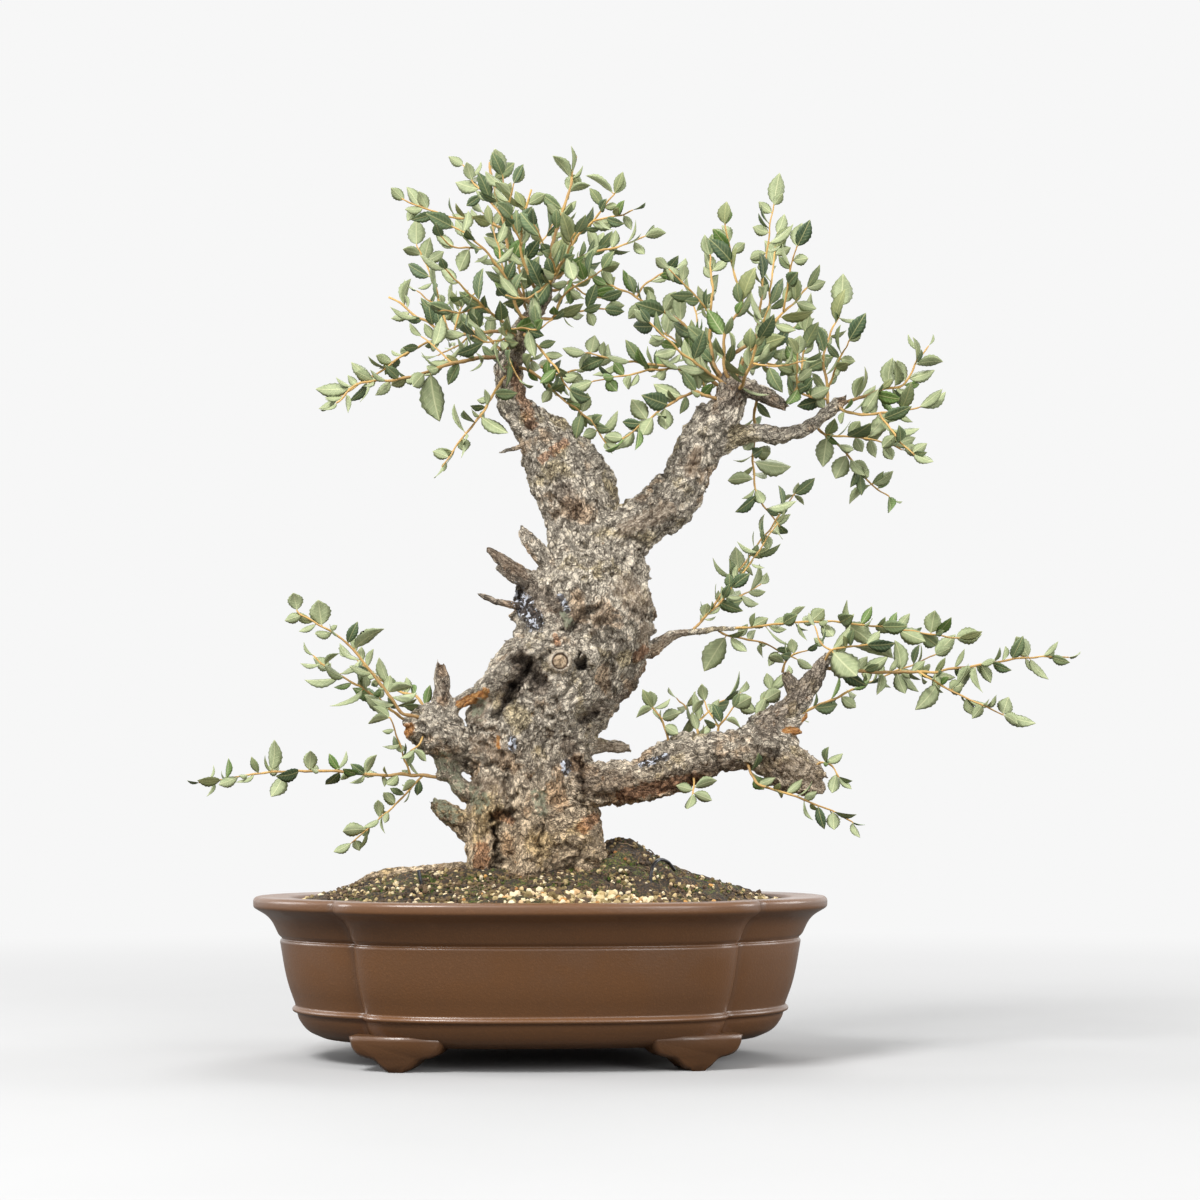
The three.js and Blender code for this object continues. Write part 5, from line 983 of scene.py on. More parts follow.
def spread_spots(rng, count, plan_share=0.985):
    """Spots spread over the soil in plan."""
    inner = 1 - LOOSE_INSET / (POT_WIDTH / 2), 1 - LOOSE_INSET / (POT_DEPTH / 2)
    plan = np.array(pot_plan(24, 16)) * inner
    angles = np.arctan2(plan[:, 1], plan[:, 0])
    order = np.argsort(angles)
    reach = np.hypot(plan[:, 0], plan[:, 1])[order]
    angles = angles[order]
    around = rng.uniform(-math.pi, math.pi, count)
    out = np.sqrt(rng.uniform(0, 1, count)) * plan_share
    out = out * np.interp(around, angles, reach, period=2 * math.pi)
    return np.stack((out * np.cos(around), out * np.sin(around)), axis=1)


def build_soil(look):
    """The soil with its loose grit, moss and fine roots."""
    rng = np.random.default_rng(SOIL_SEED)
    plan = pot_plan(64, 44)
    edge = pot_ring(plan, SOIL_EDGE_INSET, 0)
    vertices = [p for inset, z in SOIL_SIDE for p in pot_ring(plan, inset, z)]
    for row in range(SOIL_ROWS):
        share = 1 - row / SOIL_ROWS
        for x, y, _ in edge:
            sx, sy = x * share, y * share
            crumb = 1.9 * noise.noise(Vector((sx / 4, sy / 4, 0)))
            crumb += 1.2 * noise.noise(Vector((sx / 1.8, sy / 1.8, 7)))
            lumps = 4.2 * noise.fractal(Vector((sx / 22, sy / 22, 5)), 1.0, 2.0, 3)
            vertices.append((sx, sy, soil_height(sx, sy) + (crumb + lumps if row else -1.5)))
    faces = tube_faces(SOIL_ROWS + 2, len(plan))
    soil = new_piece("soil_mound", [place(p) for p in vertices], faces, peat(look), ["soil"])
    set_values(soil.data, "moss", [mossiness(x, y) for x, y, _ in vertices])
    build_grit(look, rng)
    build_moss(look, rng)
    build_fine_roots(rng)


def build_grit(look, rng):
    """Loose stones: most along the front and the rim, fewer up the mound."""
    shape, shape_faces = stone_shape()
    spots = spread_spots(rng, look.stone_count * 2)
    points, faces, tones = [], [], []
    placed = 0
    for x, y in spots:
        if placed >= look.stone_count:
            break
        edge = max(abs(x) / 182, abs(y) / 137)
        strip = smooth_step(-86, -116, y) * smooth_step(-70, -10, x)
        strip = max(strip, 0.6 * smooth_step(0.8, 0.94, edge))
        if rng.uniform() > 0.42 + 0.3 * strip:
            continue
        size = look.stone_size / MM * rng.uniform(0.2, 0.42 + 0.3 * strip)
        turn = rng.normal(size=(3, 3))
        axes = np.linalg.qr(turn)[0]
        stretch = rng.uniform(0.7, 1.15, 3)
        bumps = 1 + rng.uniform(-0.22, 0.22, len(shape))
        body = (shape * bumps[:, None] * stretch * size) @ axes
        middle = np.array((x, y, soil_height(x, y) + rng.uniform(-0.1, 0.8) * size))
        start = len(points) * len(shape)
        points.append(body + middle)
        faces += [[start + i for i in face] for face in shape_faces]
        tones += [rng.beta(1.0 + 0.8 * strip, 2.6 - 0.9 * strip)] * len(shape)
        placed += 1
    vertices = [place(p) for p in np.concatenate(points)]
    grit = new_piece("soil_grit", vertices, faces, grit_finish(), (), smooth=False)
    set_values(grit.data, "tone", tones)


def moss_finish(look):
    """Moss from dark green at its foot to bright green at its tips."""
    material, net, surface = new_material("moss", 0.9)
    mottle = net.shared("Mottle", Patch_Size=0.02, Fleck_Size=0.001)
    colour = net.ramp(net.attribute("tip"), [(0.0, rgb(38, 42, 20)), (1.0, tuple(look.moss))])
    deeper = net.times(mottle["Patches"], net.attribute("tip"))
    colour = net.mix(deeper, colour, rgb(66, 104, 18))
    finish_surface(net, surface, colour)
    return material


def build_moss(look, rng):
    """Short tufts of moss on the soil."""
    spots = spread_spots(rng, MOSS_SPOTS, 0.97)
    vertices, faces, tips = [], [], []
    for x, y in spots:
        if rng.uniform() > 0.75 * mossiness(x, y):
            continue
        foot = np.array((x, y, soil_height(x, y) - 0.6))
        for _ in range(3):
            lean = np.array((*rng.normal(0, 0.55, 2), 1.0))
            tip = foot + unit(lean) * rng.uniform(1.4, 3.6)
            side = unit(np.array((*rng.normal(size=2), 0.0))) * 0.42
            start = len(vertices)
            vertices += [tuple(foot - side), tuple(foot + side), tuple(tip)]
            faces.append((start, start + 1, start + 2))
            tips += [0.0, 0.0, 1.0]
    moss = new_piece("moss_tufts", [place(p) for p in vertices], faces, moss_finish(look), ())
    set_values(moss.data, "tip", tips)


def tube_along(route, radii, sides=6):
    """Vertices and faces of a closed tube along a row of points."""
    route = np.asarray(route, float)
    ahead = np.gradient(route, axis=0)
    angles = np.arange(sides) * 2 * math.pi / sides
    vertices = []
    for middle, along, radius in zip(route, ahead, radii):
        side, back = ring_axes(unit(along))
        for a in angles:
            vertices.append(middle + radius * (side * math.cos(a) + back * math.sin(a)))
    return vertices, tube_faces(len(route), sides)


def build_fine_roots(rng):
    """Hair-thin roots that lie on the mound."""
    vertices, faces = [], []
    for x, y in spread_spots(rng, ROOT_SPOTS, 0.93):
        if y < -118:
            continue
        heading = rng.uniform(0, 2 * math.pi)
        spot = np.array((x, y))
        route = []
        for _ in range(int(rng.uniform(5, 12))):
            z = soil_height(*spot) + 1.1 + rng.uniform(-0.6, 1.3)
            route.append((*spot, z))
            heading += rng.normal(0, 0.42)
            spot = spot + 2.6 * np.array((math.cos(heading), math.sin(heading)))
        if len(route) < 4:
            continue
        radii = np.linspace(rng.uniform(0.3, 0.6), 0.15, len(route))
        add_body(vertices, faces, *tube_along(route, radii, 5))
    material, net, surface = new_material("fine_root", 0.85)
    mottle = net.shared("Mottle", Patch_Size=0.02, Fleck_Size=0.001)
    colour = net.mix(mottle["Patches"], rgb(44, 36, 30), rgb(138, 114, 86))
    finish_surface(net, surface, colour)
    new_piece("fine_roots", [place(p) for p in vertices], faces, material, ())


# Wire and screens

def build_wire():
    """Dark annealed wire that ties the root ball down."""
    points = [np.array(p, float) for p in WIRE_ROUTE]
    route = [curve_point(points, t) for t in np.linspace(0, 1, 220)]
    vertices, faces = tube_along(route, [WIRE_RADIUS] * len(route), 12)
    material, net, surface = new_material("annealed_wire", 0.45)
    mottle = net.shared("Mottle", Patch_Size=0.008, Fleck_Size=0.0006)
    colour = net.mix(mottle["Patches"], rgb(82, 84, 88), rgb(46, 44, 44))
    rough = net.span(mottle["Flecks"], 0.0, 1.0, 0.38, 0.6)
    surface.inputs["Metallic"].default_value = 0.85
    finish_surface(net, surface, colour, rough)
    new_piece("wire_drawn", [place(p) for p in vertices], faces, material, ["tie_wire"])


def finish_screens():
    """Black mesh plastic for the two drain screens."""
    material, net, surface = new_material("screen_plastic", 0.5)
    mottle = net.shared("Mottle", Patch_Size=0.01, Fleck_Size=0.0008)
    grain = net.shared("Grain", Grain_Size=0.0005)
    colour = net.mix(mottle["Patches"], rgb(34, 36, 37), rgb(58, 54, 48))
    rough = net.span(mottle["Flecks"], 0.0, 1.0, 0.42, 0.62)
    finish_surface(net, surface, colour, rough, grain["Height"], 0.0002)
    for name in ("drain_screen_left", "drain_screen_right"):
        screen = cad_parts[name]
        for slot in screen.material_slots:
            slot.material = material


# Tree

def limb_curve(stations):
    """Points and radii along a limb, and how far through its stations each lies."""
    points = [np.array((*seen(x, z, deep), radius)) for x, z, deep, radius in stations]
    fine = np.linspace(0, 1, 40 * len(points))
    curve = np.array([curve_point(points, t) for t in fine])
    walked = np.concatenate(((0,), np.cumsum(np.linalg.norm(np.diff(curve[:, :3], axis=0), axis=1))))
    return curve, fine * (len(points) - 1), walked


def terraced(value, steps):
    """A value drawn towards a few levels, with short slopes between them."""
    level = math.floor(value * steps)
    return (level + smooth_step(0.6, 1.0, value * steps - level)) / steps


def bark_rise(spot, size, depth):
    """Rise of the corky plates over the furrows between them, at a spot of the unrolled bark."""
    warp = noise.noise_vector(spot * (0.7 / size)) * (0.75 * size)
    warp += noise.noise_vector(spot * (2.6 / size)) * (0.28 * size)
    near, middles = noise.voronoi((spot + warp) / size)
    plate = smooth_step(0.0, 0.16, near[1] - near[0])
    level = noise.noise(middles[0] * 5.1)
    layers = terraced(noise.fractal((spot + warp) * (1.1 / size), 0.9, 2.0, 3), 3)
    crumbs = noise.fractal(spot * (3.7 / size), 0.8, 2.1, 4)
    return depth * (0.55 * plate - 0.35 + 0.7 * level + 1.1 * layers + 0.6 * crumbs)


def limb_skin(name, look):
    """Vertices and faces of one limb with its bark, in the pot's millimetres."""
    number = list(LIMBS).index(name)
    depth_share, rugged = LIMB_BUILD.get(name, USUAL_BUILD)
    curve, station, walked = limb_curve(LIMBS[name])
    widest = curve[:, 3].max()
    step = min(look.skin_step / MM, max(0.8, widest / 3))
    rows = max(4, int(walked[-1] / step))
    where = np.linspace(0, walked[-1], rows)
    middle = np.stack([np.interp(where, walked, curve[:, i]) for i in range(4)], axis=1)
    k = np.interp(where, walked, station)
    ahead = np.gradient(middle[:, :3], axis=0)
    sides = max(10, int(2 * math.pi * widest / step))
    angles = np.arange(sides) * 2 * math.pi / sides
    size = min(11.0, max(2.6, 0.34 * widest))
    depth = min(4.6, max(0.35, 0.14 * widest)) * look.furrow_share
    torn = min(7.0, 1.4 * middle[-1, 3])
    out = []
    for row in range(rows):
        radius = middle[row, 3]
        side, back = ring_axes(unit(ahead[row]))
        near_end = smooth_step(walked[-1] - 2.5 * torn, walked[-1], where[row])
        for a in angles:
            c, s = math.cos(a), math.sin(a)
            wave = math.sin(3 * a + 1.3 * k[row] + number) + 0.8 * math.sin(5 * a - 1.9 * k[row])
            spot = Vector((radius * c, radius * s, 0.55 * where[row] + 37 * number))
            swell = noise.noise(spot / (0.7 * widest + 4))
            r = radius * (1 + rugged * (0.6 * wave + 0.9 * swell)) + bark_rise(spot, size, depth)
            r = max(r, 0.35 * radius) * (1 - 0.3 * near_end ** 3)
            pulled = torn * near_end * (0.1 + 1.7 * noise.noise(Vector((1.9 * c, 1.9 * s, 5.3 * number))))
            out.append(middle[row, :3] + side * (r * c) + back * (r * depth_share * s)
                       - unit(ahead[row]) * pulled)
    return out, tube_faces(rows, sides)


def bark(look):
    """Cork bark: pale weathered chips over dark furrows, with lichen, bare and cut wood and dark ends."""
    material, net, surface = new_material("cork_bark", 0.92)
    surface.inputs["Specular IOR Level"].default_value = 0.25
    where = net.position()
    grain = net.attribute("grain", "Vector")
    loose = net.warped(grain, 0.004, 0.006)
    along = net.node("ShaderNodeVectorMath", {0: grain, 1: (1, 1, 0.2)}, operation="MULTIPLY").outputs[0]
    strands = net.noise(loose, 0.0034, 9.0, 0.8, 0.4)
    fine = net.noise(grain, 0.0008, 3.0, 0.7)
    tone = net.node("ShaderNodeSeparateColor", {0: net.cells(loose, 0.0018, "F1", "Color")}).outputs[0]
    plate = net.node("ShaderNodeSeparateColor", {0: net.cells(loose, 0.0075, "F1", "Color")}).outputs[0]
    wide = net.span(net.cells(loose, 0.0075, "DISTANCE_TO_EDGE"), 0.0, 0.1)
    narrow = net.span(net.cells(loose, 0.0018, "DISTANCE_TO_EDGE"), 0.0, 0.2)
    cracks = net.times(net.fissures(loose, 0.011, 0.036), net.fissures(grain, 0.0042, 0.045))
    marks = {name: net.marked(name, where) for name in MARKS}
    level = net.math("MULTIPLY_ADD", strands, 3.3, -1.48)
    level = net.plus(level, tone, 0.5)
    level = net.plus(level, plate, 0.45)
    level = net.plus(level, fine, 0.9)
    # Where the skin stands out it is lighter, and where it lies in darker: partly the cork's own darker
    # furrows, partly painted highlight and painted shade.
    level = net.plus(level, net.attribute("rise"), 0.6)
    level = net.plus(level, marks["pale"], 0.2)
    level = net.plus(level, marks["dark"], -0.2)
    low, high = tuple(look.furrow), tuple(look.plate)
    colour = net.ramp(level, [(0.1, low), (0.3, rgb(94, 66, 43)), (0.44, rgb(172, 134, 99)), (0.58, high),
                              (0.73, rgb(255, 242, 220))])
    colour = net.mix(net.math("MULTIPLY_ADD", wide, 0.6, 0.4), rgb(46, 34, 25), colour)
    colour = net.mix(net.math("MULTIPLY_ADD", narrow, 0.35, 0.65), rgb(60, 44, 32), colour)
    colour = net.mix(net.math("MULTIPLY_ADD", cracks, 0.7, 0.3), rgb(44, 31, 21), colour)
    zone = net.noise(where, 0.034, 4.0, 0.6)
    colour = net.mix(net.span(zone, 0.46, 0.36, 0.0, 0.8), colour, rgb(248, 240, 212), "MULTIPLY")
    colour = net.mix(net.span(zone, 0.54, 0.64, 0.0, 0.9), colour, rgb(255, 236, 218), "MULTIPLY")
    low_down = net.span(net.node("ShaderNodeSeparateXYZ", {0: where}).outputs[2], 0.25, 0.15)
    colour = net.mix(low_down, colour, rgb(255, 240, 220), "MULTIPLY")
    streaks = net.noise(along, 0.0013, 5.0, 0.7, 0.3)
    bare = net.ramp(streaks, [(0.36, rgb(88, 70, 55)), (0.5, tuple(look.bare)), (0.64, rgb(240, 222, 198))])
    colour = net.mix(net.times(marks["bare"], 0.65), colour, bare)
    scar = net.attribute("scar")
    rings = net.ramp(scar, [(0.0, rgb(232, 212, 184)), (0.3, rgb(250, 236, 214)), (0.39, rgb(74, 52, 36)),
                            (0.46, rgb(88, 64, 46)), (0.53, rgb(232, 206, 172)), (1.0, rgb(200, 170, 136))])
    rings = net.mix(net.span(streaks, 0.46, 0.4), rings, rgb(120, 94, 70))
    colour = net.mix(net.span(scar, 0.03, 0.12, 0.0, 0.9), colour, rings)
    colour = net.mix(net.times(marks["rust"], 0.7), colour, rgb(222, 172, 138), "MULTIPLY")
    colour = net.mix(net.times(marks["dark"], 0.6), colour, rgb(160, 146, 138), "MULTIPLY")
    crust = net.span(net.noise(where, 0.005, 5.0, 0.7), 0.44, 0.52)
    crust = net.times(crust, net.span(fine, 0.3, 0.6, 0.3, 0.85))
    colour = net.mix(net.times(marks["lichen"], crust), colour, tuple(look.lichen))
    specks = net.times(marks["paste"], net.span(tone, 0.72, 0.76))
    colour = net.mix(marks["paste"], colour, rgb(140, 142, 152), "MULTIPLY")
    colour = net.mix(specks, colour, rgb(236, 240, 250))
    cut = net.ramp(streaks, [(0.36, rgb(128, 66, 24)), (0.5, tuple(look.cut_wood)),
                             (0.66, rgb(240, 196, 132))])
    colour = net.mix(net.times(marks["cut"], 0.9), colour, cut)
    # Painted shade: the hollows are darkened almost to black by how deep they lie.
    colour = net.mix(net.times(net.attribute("hollow_shade"), 0.7), colour, rgb(34, 26, 20))
    height = net.plus(strands, wide, 0.25)
    height = net.plus(height, narrow, 0.12)
    height = net.plus(height, fine, 0.3)
    height = net.plus(height, cracks, 0.35)
    finish_surface(net, surface, colour, None, height, 0.0026, 1.0)
    return material


# Finishes that differ from the bark about them, each (x0, z0, x1, z1, radius) as seen from the front
MARKS = {
    "cut": [(-99, 238.5, -99, 238.5, 7), (-60, 258, -42, 266, 4.5), (-32, 233, -32, 226, 2.6),
        (180, 238, 195, 237, 3.6), (193, 245, 197, 251, 2.4)],
    "pale": [(13, 291, 9, 293, 9), (-16, 135, -50, 119, 4), (46, 330, 37, 311, 3.5), (78, 318, 74, 300, 5),
        (62, 350, 74, 334, 8), (80, 330, 60, 326, 4), (24, 240, 10, 232, 9), (24, 205, 4, 196, 8),
        (30, 150, 44, 146, 8), (60, 392, 84, 408, 6), (110, 225, 150, 230, 7), (190, 216, 206, 206, 8),
        (-86, 244, -80, 226, 7), (22, 420, 30, 400, 7), (-30, 222, -18, 214, 7)],
    "lichen": [(-73, 216, -62, 196, 9), (-48, 192, -44, 184, 8), (-76, 184, -66, 176, 8),
        (-46, 264, -48, 250, 6), (-2, 190, 0, 180, 7), (16, 325, 20, 318, 5)],
    "dark": [(-8, 345, -42, 374, 8), (-4, 326, -48, 340, 6), (60, 134, -142, 119, 7),
        (-18, 345, -5, 325, 12), (-16, 292, -2, 272, 11), (20, 228, 28, 206, 8), (36, 200, 62, 196, 14),
        (165, 240, 204, 284, 12), (160, 222, 172, 212, 9), (150, 494, 182, 477, 10), (5, 590, 2, 555, 10),
        (-10, 545, -25, 500, 9), (224, 484, 228, 485, 6), (-74, 290, -74, 262, 7), (-82, 186, -64, 173, 8),
        (178, 284, 190, 262, 8), (26, 400, 16, 416, 10), (60, 192, 140, 212, 8), (140, 500, 140, 488, 12),
        (84, 290, 60, 262, 7), (-28, 262, -10, 282, 10), (32, 246, 44, 256, 7), (0, 340, 24, 316, 8)],
    "bare": [(62, 345, 72, 330, 13), (46, 330, 37, 311, 4), (77, 314, 74, 296, 6), (13, 289, 13, 289, 9),
        (-42, 262, -48, 248, 8), (-46, 229, -30, 222, 9), (-46, 200, -30, 196, 7), (186, 212, 208, 196, 14),
        (140, 212, 165, 205, 6), (62, 387, 92, 402, 9), (42, 227, 66, 225, 5), (-12, 352, -40, 373, 4),
        (84, 299, 104, 310, 5), (110, 430, 116, 446, 6)],
    "rust": [(-23, 508, -8, 466, 6), (16, 452, 0, 440, 5), (76, 298, 70, 292, 5), (38, 173, 30, 166, 6),
        (-32, 176, -24, 172, 5), (-44, 150, -44, 136, 8), (60, 190, 112, 202, 7), (10, 308, 12, 302, 3)],
    "paste": [(-18, 338, -5, 318, 9), (-22, 231, -22, 226, 4.5), (18, 214, 18, 208, 4.5),
        (14, 336, 18, 328, 4), (74, 213, 92, 219, 3.5)],
}

# Hollows of the front as seen, (x0, z0, x1, z1, radius, how far in); what stands out is below zero
HOLLOWS = [
    (-33.5, 168, -33, 124, 3, 9), (-36, 175, -23, 177, 4.5, 8), (31, 289, 30, 286, 5, 13),
    (-8, 288, -22, 270, 3, 6), (-17, 291, -3, 273, 7.5, 9), (-20, 271, -32, 248, 4.5, 7),
    (-52, 239, -30, 237, 2.2, 3.5), (-42, 213, -24, 211, 2.4, 3.5), (-25, 205, -26, 186, 2.2, 4),
    (43, 330, 17, 311, 3.6, 5), (46, 330, 37, 311, 3, -6), (66, 327, 82, 321, 2, 4),
    (28, 247, 40, 249, 3.6, 6), (28, 216, 30, 182, 2.8, 5), (-2, 166, -3, 144, 2.2, 4),
    (32, 149, 20, 137, 2.4, 4), (12, 157, 38, 160, 4, -3), (-8, 262, -22, 262, 2.6, 2.5),
    (-10, 140, -2, 138, 2.6, 3), (44, 350, 60, 364, 2.6, 3), (8, 301, -6, 307, 2.6, 3),
    (50, 292, 52, 266, 2.4, 3), (8, 246, 2, 216, 2.2, 2.6), (-12, 240, -14, 212, 2.2, 2.6),
    (24, 402, 30, 372, 2.6, 3), (96, 398, 84, 386, 2.6, 3), (106, 436, 118, 444, 2.6, 3.5),
    (-58, 232, -56, 212, 2.6, 4), (88, 206, 86, 222, 2.6, 3.5), (172, 214, 176, 230, 3.4, 5),
    (44, 294, 37, 284, 5.5, -4), (60, 310, 54, 322, 4.5, -3), (-38, 227, -30, 223, 8, -2),
]
SCAR = (13.5, 289, 5.4, 1.5)  # middle, groove's radius and half width of an old branch's scar
LOW_LIMBS = {"trunk", "strap", "left_column", "base_burl", "front_root", "front_knob", "root_left",
             "root_pale", "root_right", "stub_low_left", "stub_right"}


def build_tree(look):
    """The trunk with its roots, and the limbs with their stubs and jins, each in one skin of cork bark."""
    finish = bark(look)
    low = [name for name in LIMBS if name in LOW_LIMBS]
    high = [name for name in LIMBS if name not in LOW_LIMBS]
    for title, names in (("bark_trunk", low), ("bark_limbs", high)):
        vertices, faces = [], []
        for name in names:
            add_body(vertices, faces, *limb_skin(name, look))
        tree = new_piece(title, [place(p) for p in vertices], faces, finish, ["tree"])
        union = tree.modifiers.new("one skin", "REMESH")
        union.mode = "VOXEL"
        union.voxel_size = look.skin_cell
        union.use_smooth_shade = True
        whole = bpy.data.meshes.new_from_object(tree.evaluated_get(bpy.context.evaluated_depsgraph_get()))
        tree.modifiers.clear()
        tree.data = whole
        finish_tree(tree, names)


def finish_tree(tree, names):
    """Carves the skin of some limbs and marks what its finish needs."""
    mesh = tree.data
    to_pot = np.array((POT_CENTRE.x, POT_CENTRE.y, 0)) / MM
    grain, girth = grain_map(vertex_rows(mesh, "co") / MM - to_pot, names)
    hollow_shade = carve(tree, girth)
    # How far the skin stands out, for the bark's lighter plates and darker furrows, partly painted
    # highlight and painted shade.
    rise = mark_relief(tree, {}, 7, 0.0013)
    set_values(mesh, "rise", np.clip(0.5 + 0.5 * rise, 0, 1))
    set_values(mesh, "hollow_shade", hollow_shade)
    points = vertex_rows(mesh, "co") / MM - to_pot
    for name, spots in MARKS.items():
        set_values(mesh, name, painted(points, spots))
    layer = mesh.attributes.new("grain", "FLOAT_VECTOR", "POINT")
    layer.data.foreach_set("vector", grain.ravel())


def vertex_rows(mesh, kind):
    """Places ("co") or normals of a mesh's vertices, one row each."""
    rows = np.empty(3 * len(mesh.vertices))
    if kind == "co":
        mesh.vertices.foreach_get("co", rows)
    else:
        mesh.vertex_normals.foreach_get("vector", rows)
    return rows.reshape(-1, 3)


def set_values(mesh, name, values):
    layer = mesh.attributes.new(name, "FLOAT", "POINT")
    layer.data.foreach_set("value", values)


def as_seen(points):
    """Where points in the pot's millimetres look to be, in the upright plane through its centre."""
    s = (points[:, 1] - EYE[1]) / -EYE[1]
    return EYE[0] + (points[:, 0] - EYE[0]) / s, EYE[2] + (points[:, 2] - EYE[2]) / s


def off_line(x, z, x0, z0, x1, z1):
    """How far spots lie from a line between two points."""
    dx, dz = x1 - x0, z1 - z0
    t = np.clip(((x - x0) * dx + (z - z0) * dz) / max(1e-6, dx * dx + dz * dz), 0, 1)
    return np.hypot(x - x0 - t * dx, z - z0 - t * dz)


def painted(points, spots):
    """Share of a finish at each point, falling off towards the edges of its spots."""
    x, z = as_seen(points)
    share = np.zeros(len(points))
    for *line, radius in spots:
        share = np.maximum(share, np.clip(1.3 - off_line(x, z, *line) / radius, 0, 1))
    return share


def carve(tree, girth):
    """Roughens the skin, sinks the hollows and lifts the scar; returns how deep each vertex lies, for the
    painted shade in the hollows.
    """
    mesh = tree.data
    points = vertex_rows(mesh, "co") / MM
    normals = vertex_rows(mesh, "normal")
    front = np.clip(-3 * normals[:, 1], 0, 1)
    x, z = as_seen(points - np.array((POT_CENTRE.x, POT_CENTRE.y, 0)) / MM)
    out = np.hypot(x - SCAR[0], z - SCAR[1])
    calm = 1 - front * np.clip((12 - out) / 4, 0, 0.85)
    lift = np.array([0.8 * noise.noise(Vector(p) / 4.8) + 0.9 * noise.noise(Vector(p) / 2.1)
                     - 2.4 * max(0.0, 1 - abs(noise.noise(Vector((p[0], p[1], 0.5 * p[2])) / 8)) / 0.13)
                     for p in points])
    points += normals * (lift * calm * np.clip(girth / 16, 0.25, 1))[:, None]
    stray = np.array([5 * noise.noise_vector(Vector(p) / 9) + 2.2 * noise.noise_vector(Vector(p) / 3.6)
                      for p in points])
    x, z = x + stray[:, 0], z + stray[:, 2]
    depth = np.zeros(len(points))
    for *line, radius, how_far in HOLLOWS:
        share = np.clip(1 - (off_line(x, z, *line) / (1.25 * radius)) ** 2, 0, 1)
        depth += how_far * share ** 1.5
    groove = np.clip(1 - ((out - SCAR[2]) / SCAR[3]) ** 2, 0, 1)
    depth += 1.5 * groove - 4.4 * np.clip((9 - out) / 2.2, 0, 1)
    points[:, 1] += depth * front
    mesh.vertices.foreach_set("co", (points * MM).ravel())
    mesh.update()
    set_values(mesh, "scar", front * np.clip(1 - out / 9.5, 0, 1))
    return np.clip(depth * front / 9, 0, 1)


def grain_map(points, names):
    """Each point's place on the unrolled bark of the limb that it belongs to, in metres, and its girth."""
    rows = []
    for number, name in enumerate(names):
        curve, _, walked = limb_curve(LIMBS[name])
        where = np.arange(0, walked[-1], 4.0)
        middle = np.stack([np.interp(where, walked, curve[:, i]) for i in range(4)], axis=1)
        for spot, along, way in zip(middle, np.gradient(middle[:, :3], axis=0), where):
            side, back = ring_axes(unit(along))
            rows.append((*spot, *side, *back, *unit(along), way, number))
    rows = np.array(rows)
    tree = kdtree.KDTree(len(rows))
    for i, row in enumerate(rows):
        tree.insert(row[:3], i)
    tree.balance()
    chosen = [min(tree.find_n(p, 6), key=lambda hit: hit[2] - 0.9 * rows[hit[1], 3])[1] for p in points]
    near = rows[chosen]
    off = points - near[:, :3]
    across = [(off * near[:, i:i + 3]).sum(axis=1) for i in (4, 7, 10)]
    along = 0.65 * (near[:, 13] + across[2]) + 41 * near[:, 14]
    return np.stack((across[0], across[1], along), axis=1) * MM, near[:, 3]


# Sprays

def limb_balls():
    """Middles and radii of balls that fill the limbs, to keep leaves clear of the wood."""
    middles, radii = [], []
    for stations in LIMBS.values():
        for (x0, z0, deep0, r0), (x1, z1, deep1, r1) in zip(stations, stations[1:]):
            steps = math.ceil(math.hypot(x1 - x0, z1 - z0) / 6)
            for k in range(steps + 1):
                t = k / steps
                middles.append(seen(x0 + (x1 - x0) * t, z0 + (z1 - z0) * t, deep0 + (deep1 - deep0) * t))
                radii.append(r0 + (r1 - r0) * t)
    return np.array(middles), np.array(radii)


def between(a, b, t):
    return {key: a[key] + (b[key] - a[key]) * t for key in a}


def nearest(paths, x, z):
    """The spot of some paths that looks nearest to x, z from the front."""
    best = None
    for path in paths:
        for i, (a, b) in enumerate(zip(path, path[1:])):
            leg = b["seen"] - a["seen"]
            off = np.array((x, z)) - a["seen"]
            end = 1 - TIP_SPARE / np.linalg.norm(leg) if i + 2 == len(path) else 1
            t = min(end, max(0.0, off @ leg / (leg @ leg)))
            gap = np.linalg.norm(off - t * leg)
            if best is None or gap < best[0]:
                best = (gap, between(a, b, t))
    return best[1]


def shoot_path(listed, parents):
    """Points along a shoot, with their place, depth, radius and place as seen from the front."""
    points = [list(p) for p in listed["at"]]
    start_radius, end_radius = listed["r"]
    if parents:
        fork = nearest(parents, points[0][0], points[0][1])
        points[0] = [*fork["seen"], fork["deep"]]
        start_radius = min(start_radius, fork["r"])
    walked = [0.0]
    for a, b in zip(points, points[1:]):
        walked.append(walked[-1] + math.hypot(b[0] - a[0], b[1] - a[1]))
    known = [i for i, p in enumerate(points) if len(p) > 2]
    deep = np.interp(walked, [walked[i] for i in known], [points[i][2] for i in known])
    return [{"at": seen(p[0], p[1], d), "deep": d, "seen": np.array(p[:2], float),
             "r": start_radius + (end_radius - start_radius) * w / walked[-1]}
            for p, d, w in zip(points, deep, walked)]


# A leaf is a dictionary: its base on its shoot, unit vectors along it, across it and square to its
# blade, its length and width. A box is (middle, three unit vectors as rows, half lengths).

def leaf_number(spray, twig, start):
    """The number that a leaf's chances go by."""
    return 100 * spray + 20 * twig + start


def leaf_frame(base, along, across, length, width, number):
    ahead = unit(along)
    normal = unit(np.cross(ahead, across))
    return {"base": base, "along": ahead, "across": np.cross(normal, ahead), "normal": normal,
            "length": length, "width": width, "number": number}


def leaf_box(leaf, slim):
    """The box round a leaf's blade, all its sizes times slim."""
    middle = leaf["base"] + 0.56 * leaf["length"] * leaf["along"] + 0.07 * leaf["width"] * leaf["normal"]
    half = np.array((0.45 * leaf["length"], leaf["width"] / 2,
                     BLADE_THICKNESS / 2 + 0.1 * leaf["width"] + 0.25))
    return middle, np.array((leaf["along"], leaf["across"], leaf["normal"])), half * slim


